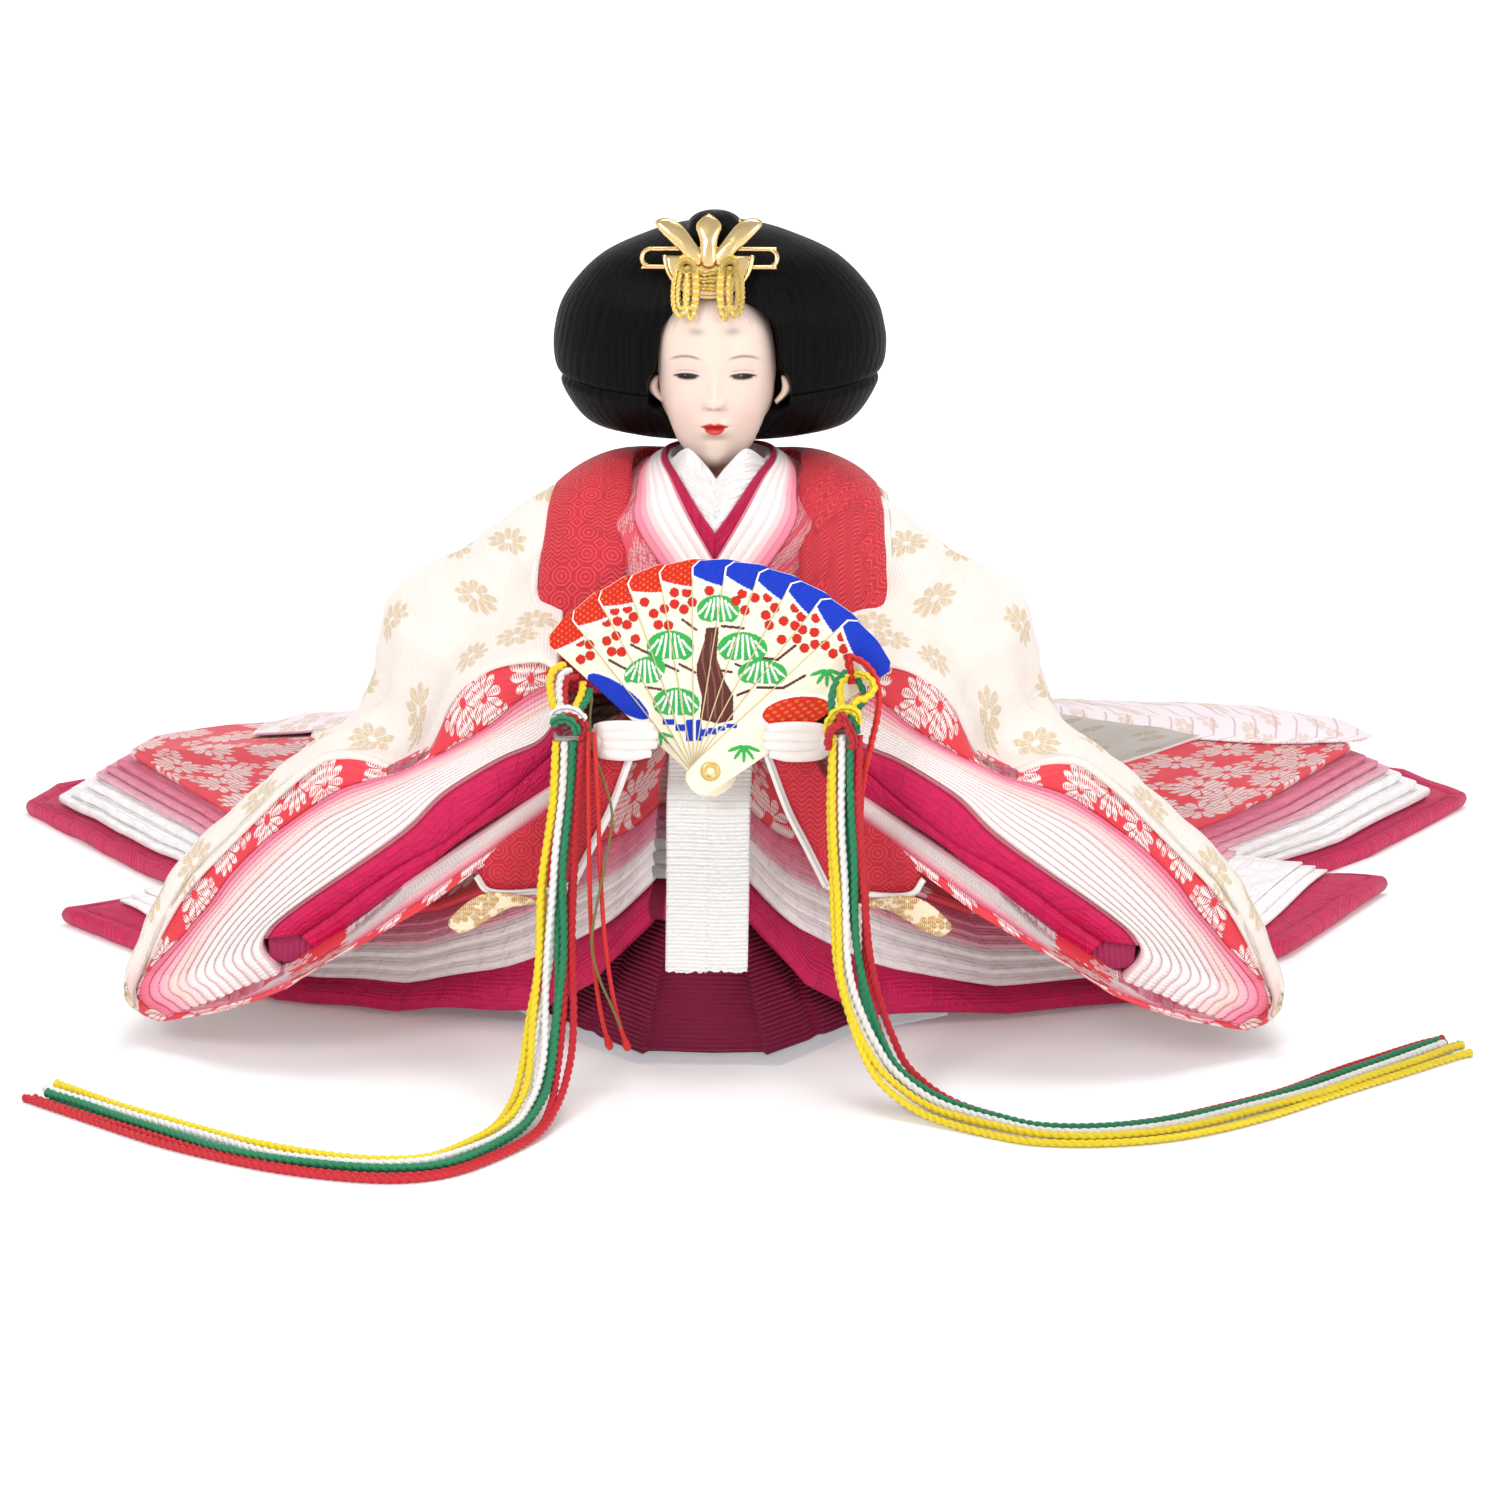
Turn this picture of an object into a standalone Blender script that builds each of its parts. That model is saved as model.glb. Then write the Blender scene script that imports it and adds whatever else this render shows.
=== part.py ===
"""A seated hina doll: a court lady in layered robes who holds an open slatted fan in both hands.

Metres, +Z up. The doll faces -Y, and the neck axis is the Z axis. The origin lies under it, on the floor.
"""
import math

import bmesh
import bpy
from mathutils import Matrix, Vector
from mathutils.bvhtree import BVHTree

# Clearances
SEAT_GAP = 0.0003
RUN_GAP = 0.0004
CLOTH_GAP = 0.0008
CUT_OVERRUN = 0.004

# Base, lap and torso
TRAIN_HALF = 0.2125
TRAIN_DEPTH = 0.197
SHEET_THICK = 0.0005
SHEET_SIZE = 0.100
BOARD_THICK = 0.003
BOARD_SHARE = 0.20
TORSO_R = 0.0215
TORSO_TOP = 0.1180
LAP_TOP = 0.056
ROBE_BORE_R = 0.025
LAP_REACH_SHARE = 0.24

# Robe hems over the lap: padded bottom robe, then the white, pink and coral groups
HEM_PAD = 0.0050
WHITE_PILE = 0.0087
PINK_PILE = 0.0060
CORAL_PILE = 0.0036
WHITE_REACH_SHARE = 0.94
PINK_REACH_SHARE = 0.88
CORAL_REACH_SHARE = 0.80
COAT_THICK = 0.0015
MO_THICK = 0.0010

# Hakama, the pleated trousers that show below the parted hems
HAKAMA_HALF = 0.040
HAKAMA_FRONT = 0.084
HAKAMA_TOP = 0.038

# Neck, head and hair
STICK_R = 0.0027
STICK_FOOT = 0.0705
STICK_TOP = 0.1330
NECK_R = 0.0075
NECK_FOOT = 0.1183
HEAD_SIZE = 0.0165
HEAD_BASE = 0.1310
HEAD_HEIGHT = 0.0540
HAIR_HALF = 0.0430
HAIR_BASE = 0.1410
HAIR_HEIGHT = 0.0545
HAIR_SPLIT_SHARE = 0.22
TOPKNOT_R = 0.0053
TAIL_TOP = 0.1500
TAIL_LENGTH = 0.0640
TAIL_HALF = 0.0090

# Crown
CROWN_PLACE = (-0.0022, -0.0118, 0.1870)
CROWN_LEAN = math.radians(-20.0)
CROWN_R = 0.0080
CROWN_THICK = 0.0008
CROWN_PIN_R = 0.0010
CROWN_PIN_LENGTH = 0.0022
HAIRPIN_HALF = 0.0180
HAIRPIN_HIGH = 0.0024
HAIRPIN_R = 0.0005
CROWN_CORD_R = 0.0009

# Fan
FAN_PIVOT = (0.0028, -0.0880, 0.0755)
FAN_LEAN = math.radians(-9.5)
SLAT_COUNT = 11
SLAT_FIRST = math.radians(-43.5)
SLAT_STEP = math.radians(9.45)
SLAT_LENGTH = 0.0516
SLAT_TAIL = 0.0065
SLAT_HALF = 0.0081
SLAT_THICK = 0.00045
SLAT_PITCH = 0.00065
RIVET_R = 0.0013
RIVET_HOLE_R = 0.0015
RIVET_HEAD_R = 0.0024
RIVET_HEAD_THICK = 0.0004

# Hands and the arm wire
HAND_REACH = 0.0290
HAND_TIP = 0.0130
PALM_EDGE = 0.0255
HAND_HIGH = 0.0044
HAND_LIFT = 0.0073
FINGER_THICK = 0.0034
WIRE_R = 0.0010
WIRE_SIDE = 0.0230
WIRE_HIGH = 0.0900
WIRE_FRONT = 0.0065

# Collars and jacket
COLLAR_SIZE = 0.100
COLLAR_THICK = 0.0022
JACKET_SIZE = 0.100
JACKET_THICK = 0.0050
COLLAR_SPLIT = 0.0004
BACK_HALF = 0.0380
BACK_TOP = 0.1150

# Sleeves
SLEEVE_SIZE = 0.100
SLEEVE_DEPTH = 0.024
SLEEVE_RISE = 0.004
SLEEVE_COAT_THICK = 0.0014
SLEEVE_CORAL_SHARE = 0.22
SLEEVE_PINK_SHARE = 0.48
MAGENTA_FILL_SHARE = 0.86

# Ribbon and cords
RIBBON_HALF = 0.0105
RIBBON_THICK = 0.0010
CORD_R = 0.0013
CORD_PITCH = 0.0030
CORD_STEP = 0.0076
THREAD_R = 0.0008
KNOT_SIZE = 0.0045

HEM_SHARES = (
    # across, along, lift of the hem, steepness, pile of the upper groups
    (-0.058, -0.411, 0.80, 1.0, 1.00),
    (-0.128, -0.381, 0.39, 0.6, 0.95),
    (-0.198, -0.325, 0.05, 0.6, 0.90),
    (-0.377, -0.274, 0.00, 1.1, 0.70),
    (-0.528, -0.223, 0.00, 1.3, 0.50),
    (-0.697, -0.041, 0.00, 1.5, 0.40),
    (-0.838, 0.122, 0.00, 1.6, 0.35),
    (-0.683, 0.234, 0.00, 1.6, 0.50),
    (-0.801, 0.406, 0.00, 1.7, 0.80),
    (-0.976, 0.675, 0.00, 1.9, 1.00),
    (-0.951, 0.766, 0.00, 2.0, 1.00),
    (-0.843, 0.853, 0.00, 2.0, 1.00),
    (-0.575, 0.944, 0.00, 2.1, 1.00),
    (-0.282, 0.985, 0.00, 2.2, 1.00),
    (0.000, 1.000, 0.00, 2.2, 1.00),
    (0.282, 1.000, 0.00, 2.2, 1.00),
    (0.565, 0.995, 0.00, 2.1, 1.00),
    (0.833, 0.965, 0.00, 2.0, 1.00),
    (0.960, 0.890, 0.00, 2.0, 1.00),
    (1.030, 0.770, 0.00, 1.9, 1.00),
    (0.875, 0.503, 0.00, 1.7, 0.80),
    (0.734, 0.325, 0.00, 1.6, 0.50),
    (0.875, 0.320, 0.00, 1.6, 0.35),
    (0.724, 0.015, 0.00, 1.5, 0.40),
    (0.555, -0.193, 0.00, 1.3, 0.50),
    (0.366, -0.269, 0.00, 1.1, 0.70),
    (0.192, -0.325, 0.05, 0.6, 0.90),
    (0.122, -0.381, 0.39, 0.6, 0.95),
    (0.056, -0.411, 0.80, 1.0, 1.00),
)
RING_SHARES = (0.0, 0.24, 0.50, 0.70, 0.80, 0.88, 0.94, 1.0)
COAT_RING_SHARES = (0.24, 0.50, 0.74)
COAT_HIP_SHARES = ((1.0, 0.96, 0.62), (0.86, 1.0, 0.88), (0.74, 1.14, 1.16))
COAT_FIRST_SPOKE = 7
COAT_LAST_SPOKE = 21
MO_RING_SHARES = (0.24, 0.50, 0.74, 0.88)
MO_FIRST_SPOKE = 9
MO_LAST_SPOKE = 19

SHEET_SHARES = (
    (-0.50, -0.44), (-0.33, -0.72), (-0.155, -0.89), (0.20, -0.89), (0.40, -0.62),
    (0.62, -0.48), (0.62, 0.45), (-0.60, 0.45),
)

HAKAMA_FOOT_SHARES = (
    (-1.05, -0.60), (-0.36, -1.00), (-0.28, -0.965), (0.32, -0.965), (0.41, -1.00),
    (1.08, -0.60), (0.90, -0.52), (-0.90, -0.52),
)
HAKAMA_RING_SHARES = ((0.0, 1.0, 1.0), (0.45, 0.76, 0.97), (1.0, 0.42, 0.92))

HEAD_SHARES = (
    # height, half width, half depth, centre forward
    (0.00, 0.46, 0.46, 0.00),
    (0.12, 0.44, 0.62, -0.36),
    (0.19, 0.68, 0.86, -0.24),
    (0.30, 0.86, 1.04, -0.14),
    (0.45, 0.97, 1.12, -0.06),
    (0.62, 1.00, 1.12, -0.05),
    (0.74, 0.97, 1.00, -0.04),
    (0.84, 0.84, 0.80, 0.02),
    (0.95, 0.52, 0.46, 0.10),
    (1.00, 0.18, 0.16, 0.12),
)
HAIR_UNDER_SHARES = (
    (0.000, 0.62, 0.42, 0.28),
    (0.090, 0.86, 0.56, 0.29),
    (0.215, 0.93, 0.60, 0.30),
)
HAIR_DOME_SHARES = (
    (0.225, 0.915, 0.59, 0.300),
    (0.290, 0.985, 0.64, 0.325),
    (0.460, 1.000, 0.65, 0.325),
    (0.640, 0.930, 0.62, 0.315),
    (0.825, 0.720, 0.49, 0.280),
    (0.935, 0.440, 0.33, 0.255),
    (1.000, 0.140, 0.12, 0.235),
)
TAIL_SHARES = (
    # down, half width, half depth, back
    (0.00, 1.00, 0.29, 0.960),
    (0.20, 0.90, 0.33, 0.965),
    (0.45, 0.78, 0.33, 0.970),
    (0.72, 0.66, 0.29, 1.080),
    (1.00, 0.30, 0.15, 1.270),
)
CROWN_SHARES = (
    (-0.36, 0.93), (-0.30, 1.35), (-0.34, 1.62), (0.0, 1.95), (0.34, 1.62), (0.30, 1.35), (0.36, 0.93),
    (0.62, 0.78), (1.05, 1.28), (1.55, 1.48), (1.30, 1.02), (0.80, 0.60),
    (1.00, 0.0), (0.71, -0.71), (0.0, -1.0), (-0.71, -0.71), (-1.00, 0.0),
    (-0.80, 0.60), (-1.30, 1.02), (-1.60, 1.48), (-1.05, 1.28), (-0.62, 0.78),
)
CROWN_CORD_SHARES = (
    (-1.20, -0.10), (-1.20, -0.80), (-1.10, -1.35), (-0.88, -1.62), (-0.68, -1.30), (-0.62, -0.70),
    (-0.50, -0.20), (0.0, -0.42), (0.50, -0.20), (0.62, -0.70), (0.68, -1.30), (0.88, -1.62),
    (1.10, -1.35), (1.20, -0.80), (1.20, -0.10),
)

SLAT_SHARES = (
    # half widths of the slat at stations from its tail to its tip
    (0.00, 0.00), (0.30, 0.008), (0.45, 0.03), (0.54, 0.11), (1.00, 0.955), (0.80, 0.985), (0.0, 1.0),
)

HAND_SHARES = (
    # along from wrist to finger tips, half height, half depth
    (0.00, 0.62, 0.50),
    (0.20, 0.80, 0.72),
    (0.45, 1.00, 1.00),
    (0.70, 0.92, 1.00),
    (0.92, 0.70, 0.96),
    (1.00, 0.36, 0.80),
)
WIRE_SHARES = ((-0.300, -0.20, 0.880), (-0.370, -0.38, 0.840), (-0.385, -0.62, 0.818), (-0.345, -0.88, 0.828))

COLLAR_SHARES = (
    # point on the V line, way outward, normal
    ((0.000, -0.390, 1.150), (0.0, -0.55, -1.60), (0.0, -0.78, 0.62)),
    ((-0.070, -0.325, 1.235), (-0.88, -0.30, -0.36), (-0.10, -0.73, 0.68)),
    ((-0.125, -0.215, 1.318), (-0.92, -0.18, -0.34), (-0.22, -0.60, 0.76)),
    ((-0.145, -0.070, 1.356), (-0.93, 0.05, -0.36), (-0.34, -0.10, 0.93)),
    ((-0.115, 0.070, 1.360), (-0.72, 0.55, -0.42), (-0.30, 0.30, 0.90)),
    ((0.000, 0.125, 1.356), (0.0, 0.85, -0.52), (0.0, 0.52, 0.85)),
)
WHITE_BAND_SHARES = ((-0.075, -0.003), (-0.055, -0.003), (-0.045, -0.003), (-0.046, -0.003), (-0.040, -0.003),
                     (-0.035, -0.003))
MAGENTA_BAND_SHARES = ((0.0, 0.045), (0.0, 0.034), (0.0, 0.020), (0.0, 0.014), (0.0, 0.012), (0.0, 0.012))
STACK_BAND_SHARES = ((0.048, 0.130), (0.037, 0.105), (0.023, 0.048), (0.017, 0.030), (0.015, 0.026),
                     (0.015, 0.026))
JACKET_SHARES = (
    # inner edge, outer edge, normal
    ((-0.185, -0.500, 0.860), (-0.405, -0.470, 0.860), (0.0, -1.0, 0.05)),
    ((-0.195, -0.495, 1.000), (-0.410, -0.450, 0.990), (0.0, -1.0, 0.15)),
    ((-0.190, -0.430, 1.150), (-0.412, -0.380, 1.130), (-0.05, -0.92, 0.38)),
    ((-0.185, -0.240, 1.300), (-0.412, -0.220, 1.260), (-0.12, -0.62, 0.78)),
    ((-0.185, -0.060, 1.345), (-0.415, -0.040, 1.300), (-0.20, -0.05, 0.98)),
    ((-0.160, 0.100, 1.340), (-0.340, 0.160, 1.250), (-0.30, 0.55, 0.80)),
    ((0.000, 0.170, 1.330), (0.000, 0.265, 1.150), (0.0, 0.90, 0.42)),
)

SLEEVE_OUTER_SHARES = (
    (-0.417, -0.78, 0.990), (-0.545, -0.75, 0.955), (-0.685, -0.70, 0.795), (-0.790, -0.66, 0.685),
    (-0.960, -0.66, 0.620), (-1.130, -0.66, 0.490), (-1.290, -0.65, 0.310), (-1.395, -0.66, 0.110),
    (-1.330, -0.80, 0.012), (-1.150, -0.98, 0.008), (-0.990, -0.95, 0.060), (-0.810, -0.90, 0.195),
    (-0.640, -0.86, 0.275), (-0.520, -0.83, 0.400),
)
SLEEVE_INNER_SHARES = (
    (-0.417, -0.81, 0.830), (-0.560, -0.82, 0.690), (-0.670, -0.84, 0.610), (-0.770, -0.84, 0.540),
    (-0.885, -0.84, 0.465), (-0.990, -0.84, 0.385), (-1.080, -0.84, 0.310), (-1.110, -0.84, 0.262),
    (-1.070, -0.85, 0.232), (-0.985, -0.86, 0.240), (-0.880, -0.85, 0.275), (-0.745, -0.84, 0.325),
    (-0.610, -0.84, 0.395), (-0.505, -0.83, 0.470),
)
SLEEVE_TENT_COUNT = 8
SLEEVE_RIDGE_SHARES = (
    (-0.433, -0.12, 1.215), (-0.590, -0.16, 1.165), (-0.730, -0.24, 1.105), (-0.840, -0.28, 1.030),
    (-0.915, -0.28, 0.830), (-1.030, -0.28, 0.640), (-1.230, -0.36, 0.480), (-1.410, -0.48, 0.220),
)
SLEEVE_BACK_SHARES = (
    (-0.450, 0.10, 1.140), (-0.600, 0.08, 1.060), (-0.740, 0.03, 0.960), (-0.850, -0.03, 0.860),
    (-0.940, -0.08, 0.690), (-1.060, -0.12, 0.500), (-1.240, -0.22, 0.340), (-1.400, -0.36, 0.130),
)
SLEEVE_FALL_SHARES = (
    (-0.450, 0.16), (-0.600, 0.15), (-0.760, 0.12), (-0.890, 0.07), (-1.000, 0.01), (-1.120, -0.06),
    (-1.270, -0.16), (-1.390, -0.32),
)
SLEEVE_FALL_LIMIT_SHARE = 0.78

RIBBON_SHARES = ((-0.34, 0.872), (-0.52, 0.792), (-0.68, 0.722), (-0.81, 0.672), (-0.865, 0.600), (-0.885, 0.480),
                 (-0.940, 0.380), (-1.000, 0.280))
RIBBON_SIZE = 0.100

LEFT_CORD_ROUTE = (
    (-0.0314, -0.0930, 0.0839), (-0.0322, -0.0950, 0.0695), (-0.0336, -0.0985, 0.0553),
    (-0.0347, -0.1020, 0.0413), (-0.0354, -0.1070, 0.0302), (-0.0364, -0.1130, 0.0194),
    (-0.0373, -0.1210, 0.0107), (-0.0388, -0.1315, 0.0050), (-0.0430, -0.1440, 0.0020),
    (-0.0551, -0.1620, 0.0016), (-0.0663, -0.1675, 0.0016), (-0.0828, -0.1660, 0.0016),
    (-0.1026, -0.1580, 0.0016), (-0.1290, -0.1391, 0.0016), (-0.1483, -0.1239, 0.0016),
    (-0.1590, -0.1154, 0.0016),
)
RIGHT_CORD_ROUTE = (
    (0.0357, -0.1008, 0.0879), (0.0355, -0.1040, 0.0726), (0.0359, -0.1070, 0.0585),
    (0.0367, -0.1095, 0.0442), (0.0377, -0.1115, 0.0322), (0.0397, -0.1135, 0.0228),
    (0.0429, -0.1160, 0.0147), (0.0478, -0.1200, 0.0083), (0.0582, -0.1265, 0.0030),
    (0.0728, -0.1360, 0.0016), (0.0844, -0.1415, 0.0016), (0.1010, -0.1405, 0.0016),
    (0.1205, -0.1320, 0.0016), (0.1459, -0.1125, 0.0016), (0.1674, -0.0919, 0.0016),
    (0.1840, -0.0765, 0.0016), (0.1900, -0.0721, 0.0016),
)
RED_THREAD_ROUTE = (
    (-0.0259, -0.0940, 0.0865), (-0.0259, -0.0965, 0.0800), (-0.0257, -0.0995, 0.0700), (-0.0255, -0.1025, 0.0550),
    (-0.0250, -0.1050, 0.0400), (-0.0240, -0.1065, 0.0280), (-0.0225, -0.1070, 0.0180), (-0.0205, -0.1070, 0.0100),
)
LEFT_KNOT_ROUTE = (
    (-0.0320, -0.0786, 0.1005), (-0.0365, -0.0805, 0.0980), (-0.0360, -0.0860, 0.0955),
    (-0.0335, -0.0905, 0.0925), (-0.0314, -0.0928, 0.0865),
)
RIGHT_KNOT_ROUTE = (
    (0.0368, -0.0877, 0.1045), (0.0372, -0.0930, 0.1030), (0.0368, -0.0965, 0.1000), (0.0362, -0.0992, 0.0955),
    (0.0357, -0.1002, 0.0910),
)
LYING_FROM = 7.0
HANGING_SHARE = 0.6
KNOT_SWELL_SHARES = (0.22, 0.24, 0.30, 0.62, 1.00)
LEFT_CORDS = ("yellow", "white", "green", "red")
CORD_COLOURS = {
    "yellow": (0.90, 0.65, 0.03),
    "white": (0.90, 0.88, 0.84),
    "green": (0.02, 0.27, 0.11),
    "red": (0.60, 0.02, 0.03),
}

MAGENTA = (0.48, 0.01, 0.09)
CORAL = (0.75, 0.08, 0.10)
PINK = (0.87, 0.30, 0.42)
WHITE = (0.88, 0.84, 0.80)


def start_scene():
    """Empties the scene and makes the collections for the doll and for its cutters."""
    for old in list(bpy.data.objects):
        bpy.data.objects.remove(old, do_unlink=True)
    doll = bpy.data.collections.new("hina_doll")
    cutters = bpy.data.collections.new("cutters")
    bpy.context.scene.collection.children.link(doll)
    bpy.context.scene.collection.children.link(cutters)
    return doll, cutters


DOLL, CUTTERS = start_scene()


def finish_piece(name, data, colour, roughness=0.7, metallic=0.0):
    """Links new mesh or curve data as a piece of the doll, with its own material."""
    piece = bpy.data.objects.new(name, data)
    DOLL.objects.link(piece)
    material = bpy.data.materials.new(name)
    material.use_nodes = True
    shader = material.node_tree.nodes["Principled BSDF"]
    shader.inputs["Base Color"].default_value = (*colour, 1.0)
    shader.inputs["Roughness"].default_value = roughness
    shader.inputs["Metallic"].default_value = metallic
    data.materials.append(material)
    return piece


def mesh_from(name, points, faces):
    """A closed mesh whose faces all point outward."""
    mesh = bpy.data.meshes.new(name)
    mesh.from_pydata([tuple(p) for p in points], [], faces)
    work = bmesh.new()
    work.from_mesh(mesh)
    bmesh.ops.recalc_face_normals(work, faces=work.faces)
    work.to_mesh(mesh)
    work.free()
    mesh.shade_smooth()
    mesh.set_sharp_from_angle(angle=math.radians(35.0))
    return mesh


def loft_mesh(name, loops):
    """A closed skin through loops of equal point counts, capped at both ends."""
    count = len(loops[0])
    points = [p for loop in loops for p in loop]
    faces = [tuple(range(count)), tuple(range(len(points) - count, len(points)))]
    for row in range(len(loops) - 1):
        for column in range(count):
            a = row * count + column
            b = row * count + (column + 1) % count
            faces.append((a, b, b + count, a + count))
    return mesh_from(name, points, faces)


def slab_mesh(name, top, bottom, looped):
    """A closed slab between two grids of points, whose rows close on themselves where looped."""
    rows, columns = len(top), len(top[0])
    points = [p for row in top for p in row] + [p for row in bottom for p in row]
    under = rows * columns
    faces = []
    for i in range(rows if looped else rows - 1):
        k = (i + 1) % rows
        for j in range(columns - 1):
            a, b = i * columns + j, k * columns + j
            faces.append((a, b, b + 1))
            faces.append((a, b + 1, a + 1))
            faces.append((a + under, b + 1 + under, b + under))
            faces.append((a + under, a + 1 + under, b + 1 + under))
        for j in (0, columns - 1):
            a, b = i * columns + j, k * columns + j
            faces.append((a, b, b + under, a + under))
    if not looped:
        for i in (0, rows - 1):
            for j in range(columns - 1):
                a = i * columns + j
                faces.append((a, a + 1, a + 1 + under, a + under))
    return mesh_from(name, points, faces)


def oval(centre, half_width, half_depth, count=16):
    """A level ring of points round a centre."""
    turns = [math.tau * k / count for k in range(count)]
    return [centre + Vector((half_width * math.sin(t), -half_depth * math.cos(t), 0.0)) for t in turns]


def cutter_from(name, mesh):
    """A hidden wire object for a Boolean modifier."""
    cutter = bpy.data.objects.new(name, mesh)
    CUTTERS.objects.link(cutter)
    cutter.hide_render = True
    cutter.display_type = "WIRE"
    return cutter


def cylinder_mesh(name, radius, length, sides=16):
    """A cylinder along Z with its foot at the origin."""
    mesh = bpy.data.meshes.new(name)
    work = bmesh.new()
    bmesh.ops.create_cone(work, cap_ends=True, segments=sides, radius1=radius, radius2=radius, depth=length,
                          matrix=Matrix.Translation((0.0, 0.0, length / 2)))
    work.to_mesh(mesh)
    work.free()
    mesh.shade_smooth()
    mesh.set_sharp_from_angle(angle=math.radians(35.0))
    return mesh


def cut(piece, cutter, operation="DIFFERENCE"):
    """Adds an exact Boolean to a piece."""
    modifier = piece.modifiers.new(operation.title(), "BOOLEAN")
    modifier.operation = operation
    modifier.object = cutter
    modifier.solver = "EXACT"


def flat_curve(name, outlines, thick):
    """A flat outline, with any further outlines as holes, extruded by half its thickness each way."""
    curve = bpy.data.curves.new(name, "CURVE")
    curve.dimensions = "2D"
    curve.fill_mode = "BOTH"
    curve.extrude = thick / 2
    for outline in outlines:
        spline = curve.splines.new("POLY")
        spline.points.add(len(outline) - 1)
        for point, place in zip(spline.points, outline):
            point.co = (place[0], place[1], 0.0, 1.0)
        spline.use_cyclic_u = True
    return curve


def tube_curve(name, route, radius, cyclic=False, resolution=2):
    """A round tube along a route of points."""
    curve = bpy.data.curves.new(name, "CURVE")
    curve.dimensions = "3D"
    curve.bevel_depth = radius
    curve.bevel_resolution = resolution
    curve.use_fill_caps = True
    spline = curve.splines.new("POLY")
    spline.points.add(len(route) - 1)
    for point, place in zip(spline.points, route):
        point.co = (*place, 1.0)
    spline.use_cyclic_u = cyclic
    return curve


def smooth_route(route, step):
    """Points at an even step along a smooth curve through the route's own points."""
    points = [Vector(p) for p in route]
    ends = [2 * points[0] - points[1]] + points + [2 * points[-1] - points[-2]]
    fine = []
    for a, b, c, d in zip(ends, ends[1:], ends[2:], ends[3:]):
        for k in range(12):
            t = k / 12
            fine.append(0.5 * (2 * b + (c - a) * t + (2 * a - 5 * b + 4 * c - d) * t**2
                               + (3 * b - a - 3 * c + d) * t**3))
    fine.append(points[-1])
    total = sum((q - p).length for p, q in zip(fine, fine[1:]))
    count = max(2, round(total / step))
    wanted = [total * k / count for k in range(count + 1)]
    even, gone = [fine[0]], 0.0
    for p, q in zip(fine, fine[1:]):
        span = (q - p).length
        while len(even) < count and gone + span >= wanted[len(even)]:
            even.append(p.lerp(q, (wanted[len(even)] - gone) / span))
        gone += span
    even.append(fine[-1])
    return even


def mirrored(points):
    """The same points on the other side of the doll."""
    return [Vector((-p[0], p[1], p[2])) for p in points]


def hem_point(spoke, share):
    """A point in plan, from the robes' bore out to the hem along one spoke."""
    across, along = HEM_SHARES[spoke][:2]
    hem = Vector((across * TRAIN_HALF, along * TRAIN_DEPTH, 0.0))
    return hem.normalized() * (ROBE_BORE_R + share * (hem.length - ROBE_BORE_R))


def lap_height(spoke, share):
    """Height of the lowest robe's underside: the lap, falling to the hem."""
    lift, steepness = HEM_SHARES[spoke][2:4]
    hem = lift * LAP_TOP
    return hem + (LAP_TOP - hem) * (1.0 - share) ** steepness


def pile_height(spoke, thick, groups):
    """Height of the stack over the lap after the bottom robe and some upper groups."""
    pile = HEM_SHARES[spoke][4]
    return thick + pile * sum(groups) + SEAT_GAP * (1 + len(groups)) if groups or thick else 0.0


def make_base():
    """The clear sheet and the wooden board that the doll stands on."""
    sheet = flat_curve("clear_sheet", [[(x * SHEET_SIZE, y * SHEET_SIZE) for x, y in SHEET_SHARES]], SHEET_THICK)
    finish_piece("clear_sheet", sheet, (0.85, 0.86, 0.90), 0.15).location.z = SHEET_THICK / 2
    outline = [hem_point(spoke, BOARD_SHARE).xy for spoke in range(len(HEM_SHARES))]
    board = flat_curve("base_board", [outline], BOARD_THICK)
    finish_piece("base_board", board, (0.55, 0.38, 0.20), 0.6).location.z = (
        SHEET_THICK + SEAT_GAP + BOARD_THICK / 2)


def board_top():
    """Height of the board's upper face."""
    return SHEET_THICK + SEAT_GAP + BOARD_THICK


def make_torso():
    """The straw torso with bores for the neck stick and for the arm wire."""
    foot = board_top() + SEAT_GAP
    torso = finish_piece("straw_torso", cylinder_mesh("straw_torso", TORSO_R, TORSO_TOP - foot),
                         (0.70, 0.55, 0.28), 0.9)
    torso.location.z = foot
    bore = cutter_from("neck_bore", cylinder_mesh("neck_bore", STICK_R + SEAT_GAP, TORSO_TOP - STICK_FOOT
                                                  + SEAT_GAP + CUT_OVERRUN, 12))
    bore.location.z = STICK_FOOT - SEAT_GAP
    cut(torso, bore)
    through = cutter_from("wire_bore", cylinder_mesh("wire_bore", WIRE_R + SEAT_GAP, 2 * WIRE_SIDE, 12))
    through.location = (-WIRE_SIDE, -WIRE_FRONT, WIRE_HIGH)
    through.rotation_euler.y = math.radians(90.0)
    cut(torso, through)


def make_neck_stick():
    """The stick that carries the head."""
    stick = finish_piece("neck_stick", cylinder_mesh("neck_stick", STICK_R, STICK_TOP - STICK_FOOT, 12),
                         (0.72, 0.55, 0.34), 0.6)
    stick.location.z = STICK_FOOT


def make_arm_wire():
    """One wire from hand to hand, through the torso."""
    side = [Vector(p) * SLEEVE_SIZE for p in WIRE_SHARES]
    entry = Vector((-WIRE_SIDE, -WIRE_FRONT, WIRE_HIGH))
    reach = HAND_REACH + SEAT_GAP
    wrist = Vector((0.0, FAN_PIVOT[1], FAN_PIVOT[2] + HAND_LIFT))
    left = wrist + Vector((FAN_PIVOT[0] - reach, 0.0, 0.0))
    right = wrist + Vector((FAN_PIVOT[0] + reach, 0.0, 0.0))
    route = [left] + list(reversed(side)) + [entry] + mirrored([entry]) + mirrored(side) + [right]
    finish_piece("arm_wire", tube_curve("arm_wire", route, WIRE_R), (0.55, 0.55, 0.56), 0.4, 0.9)


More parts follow.
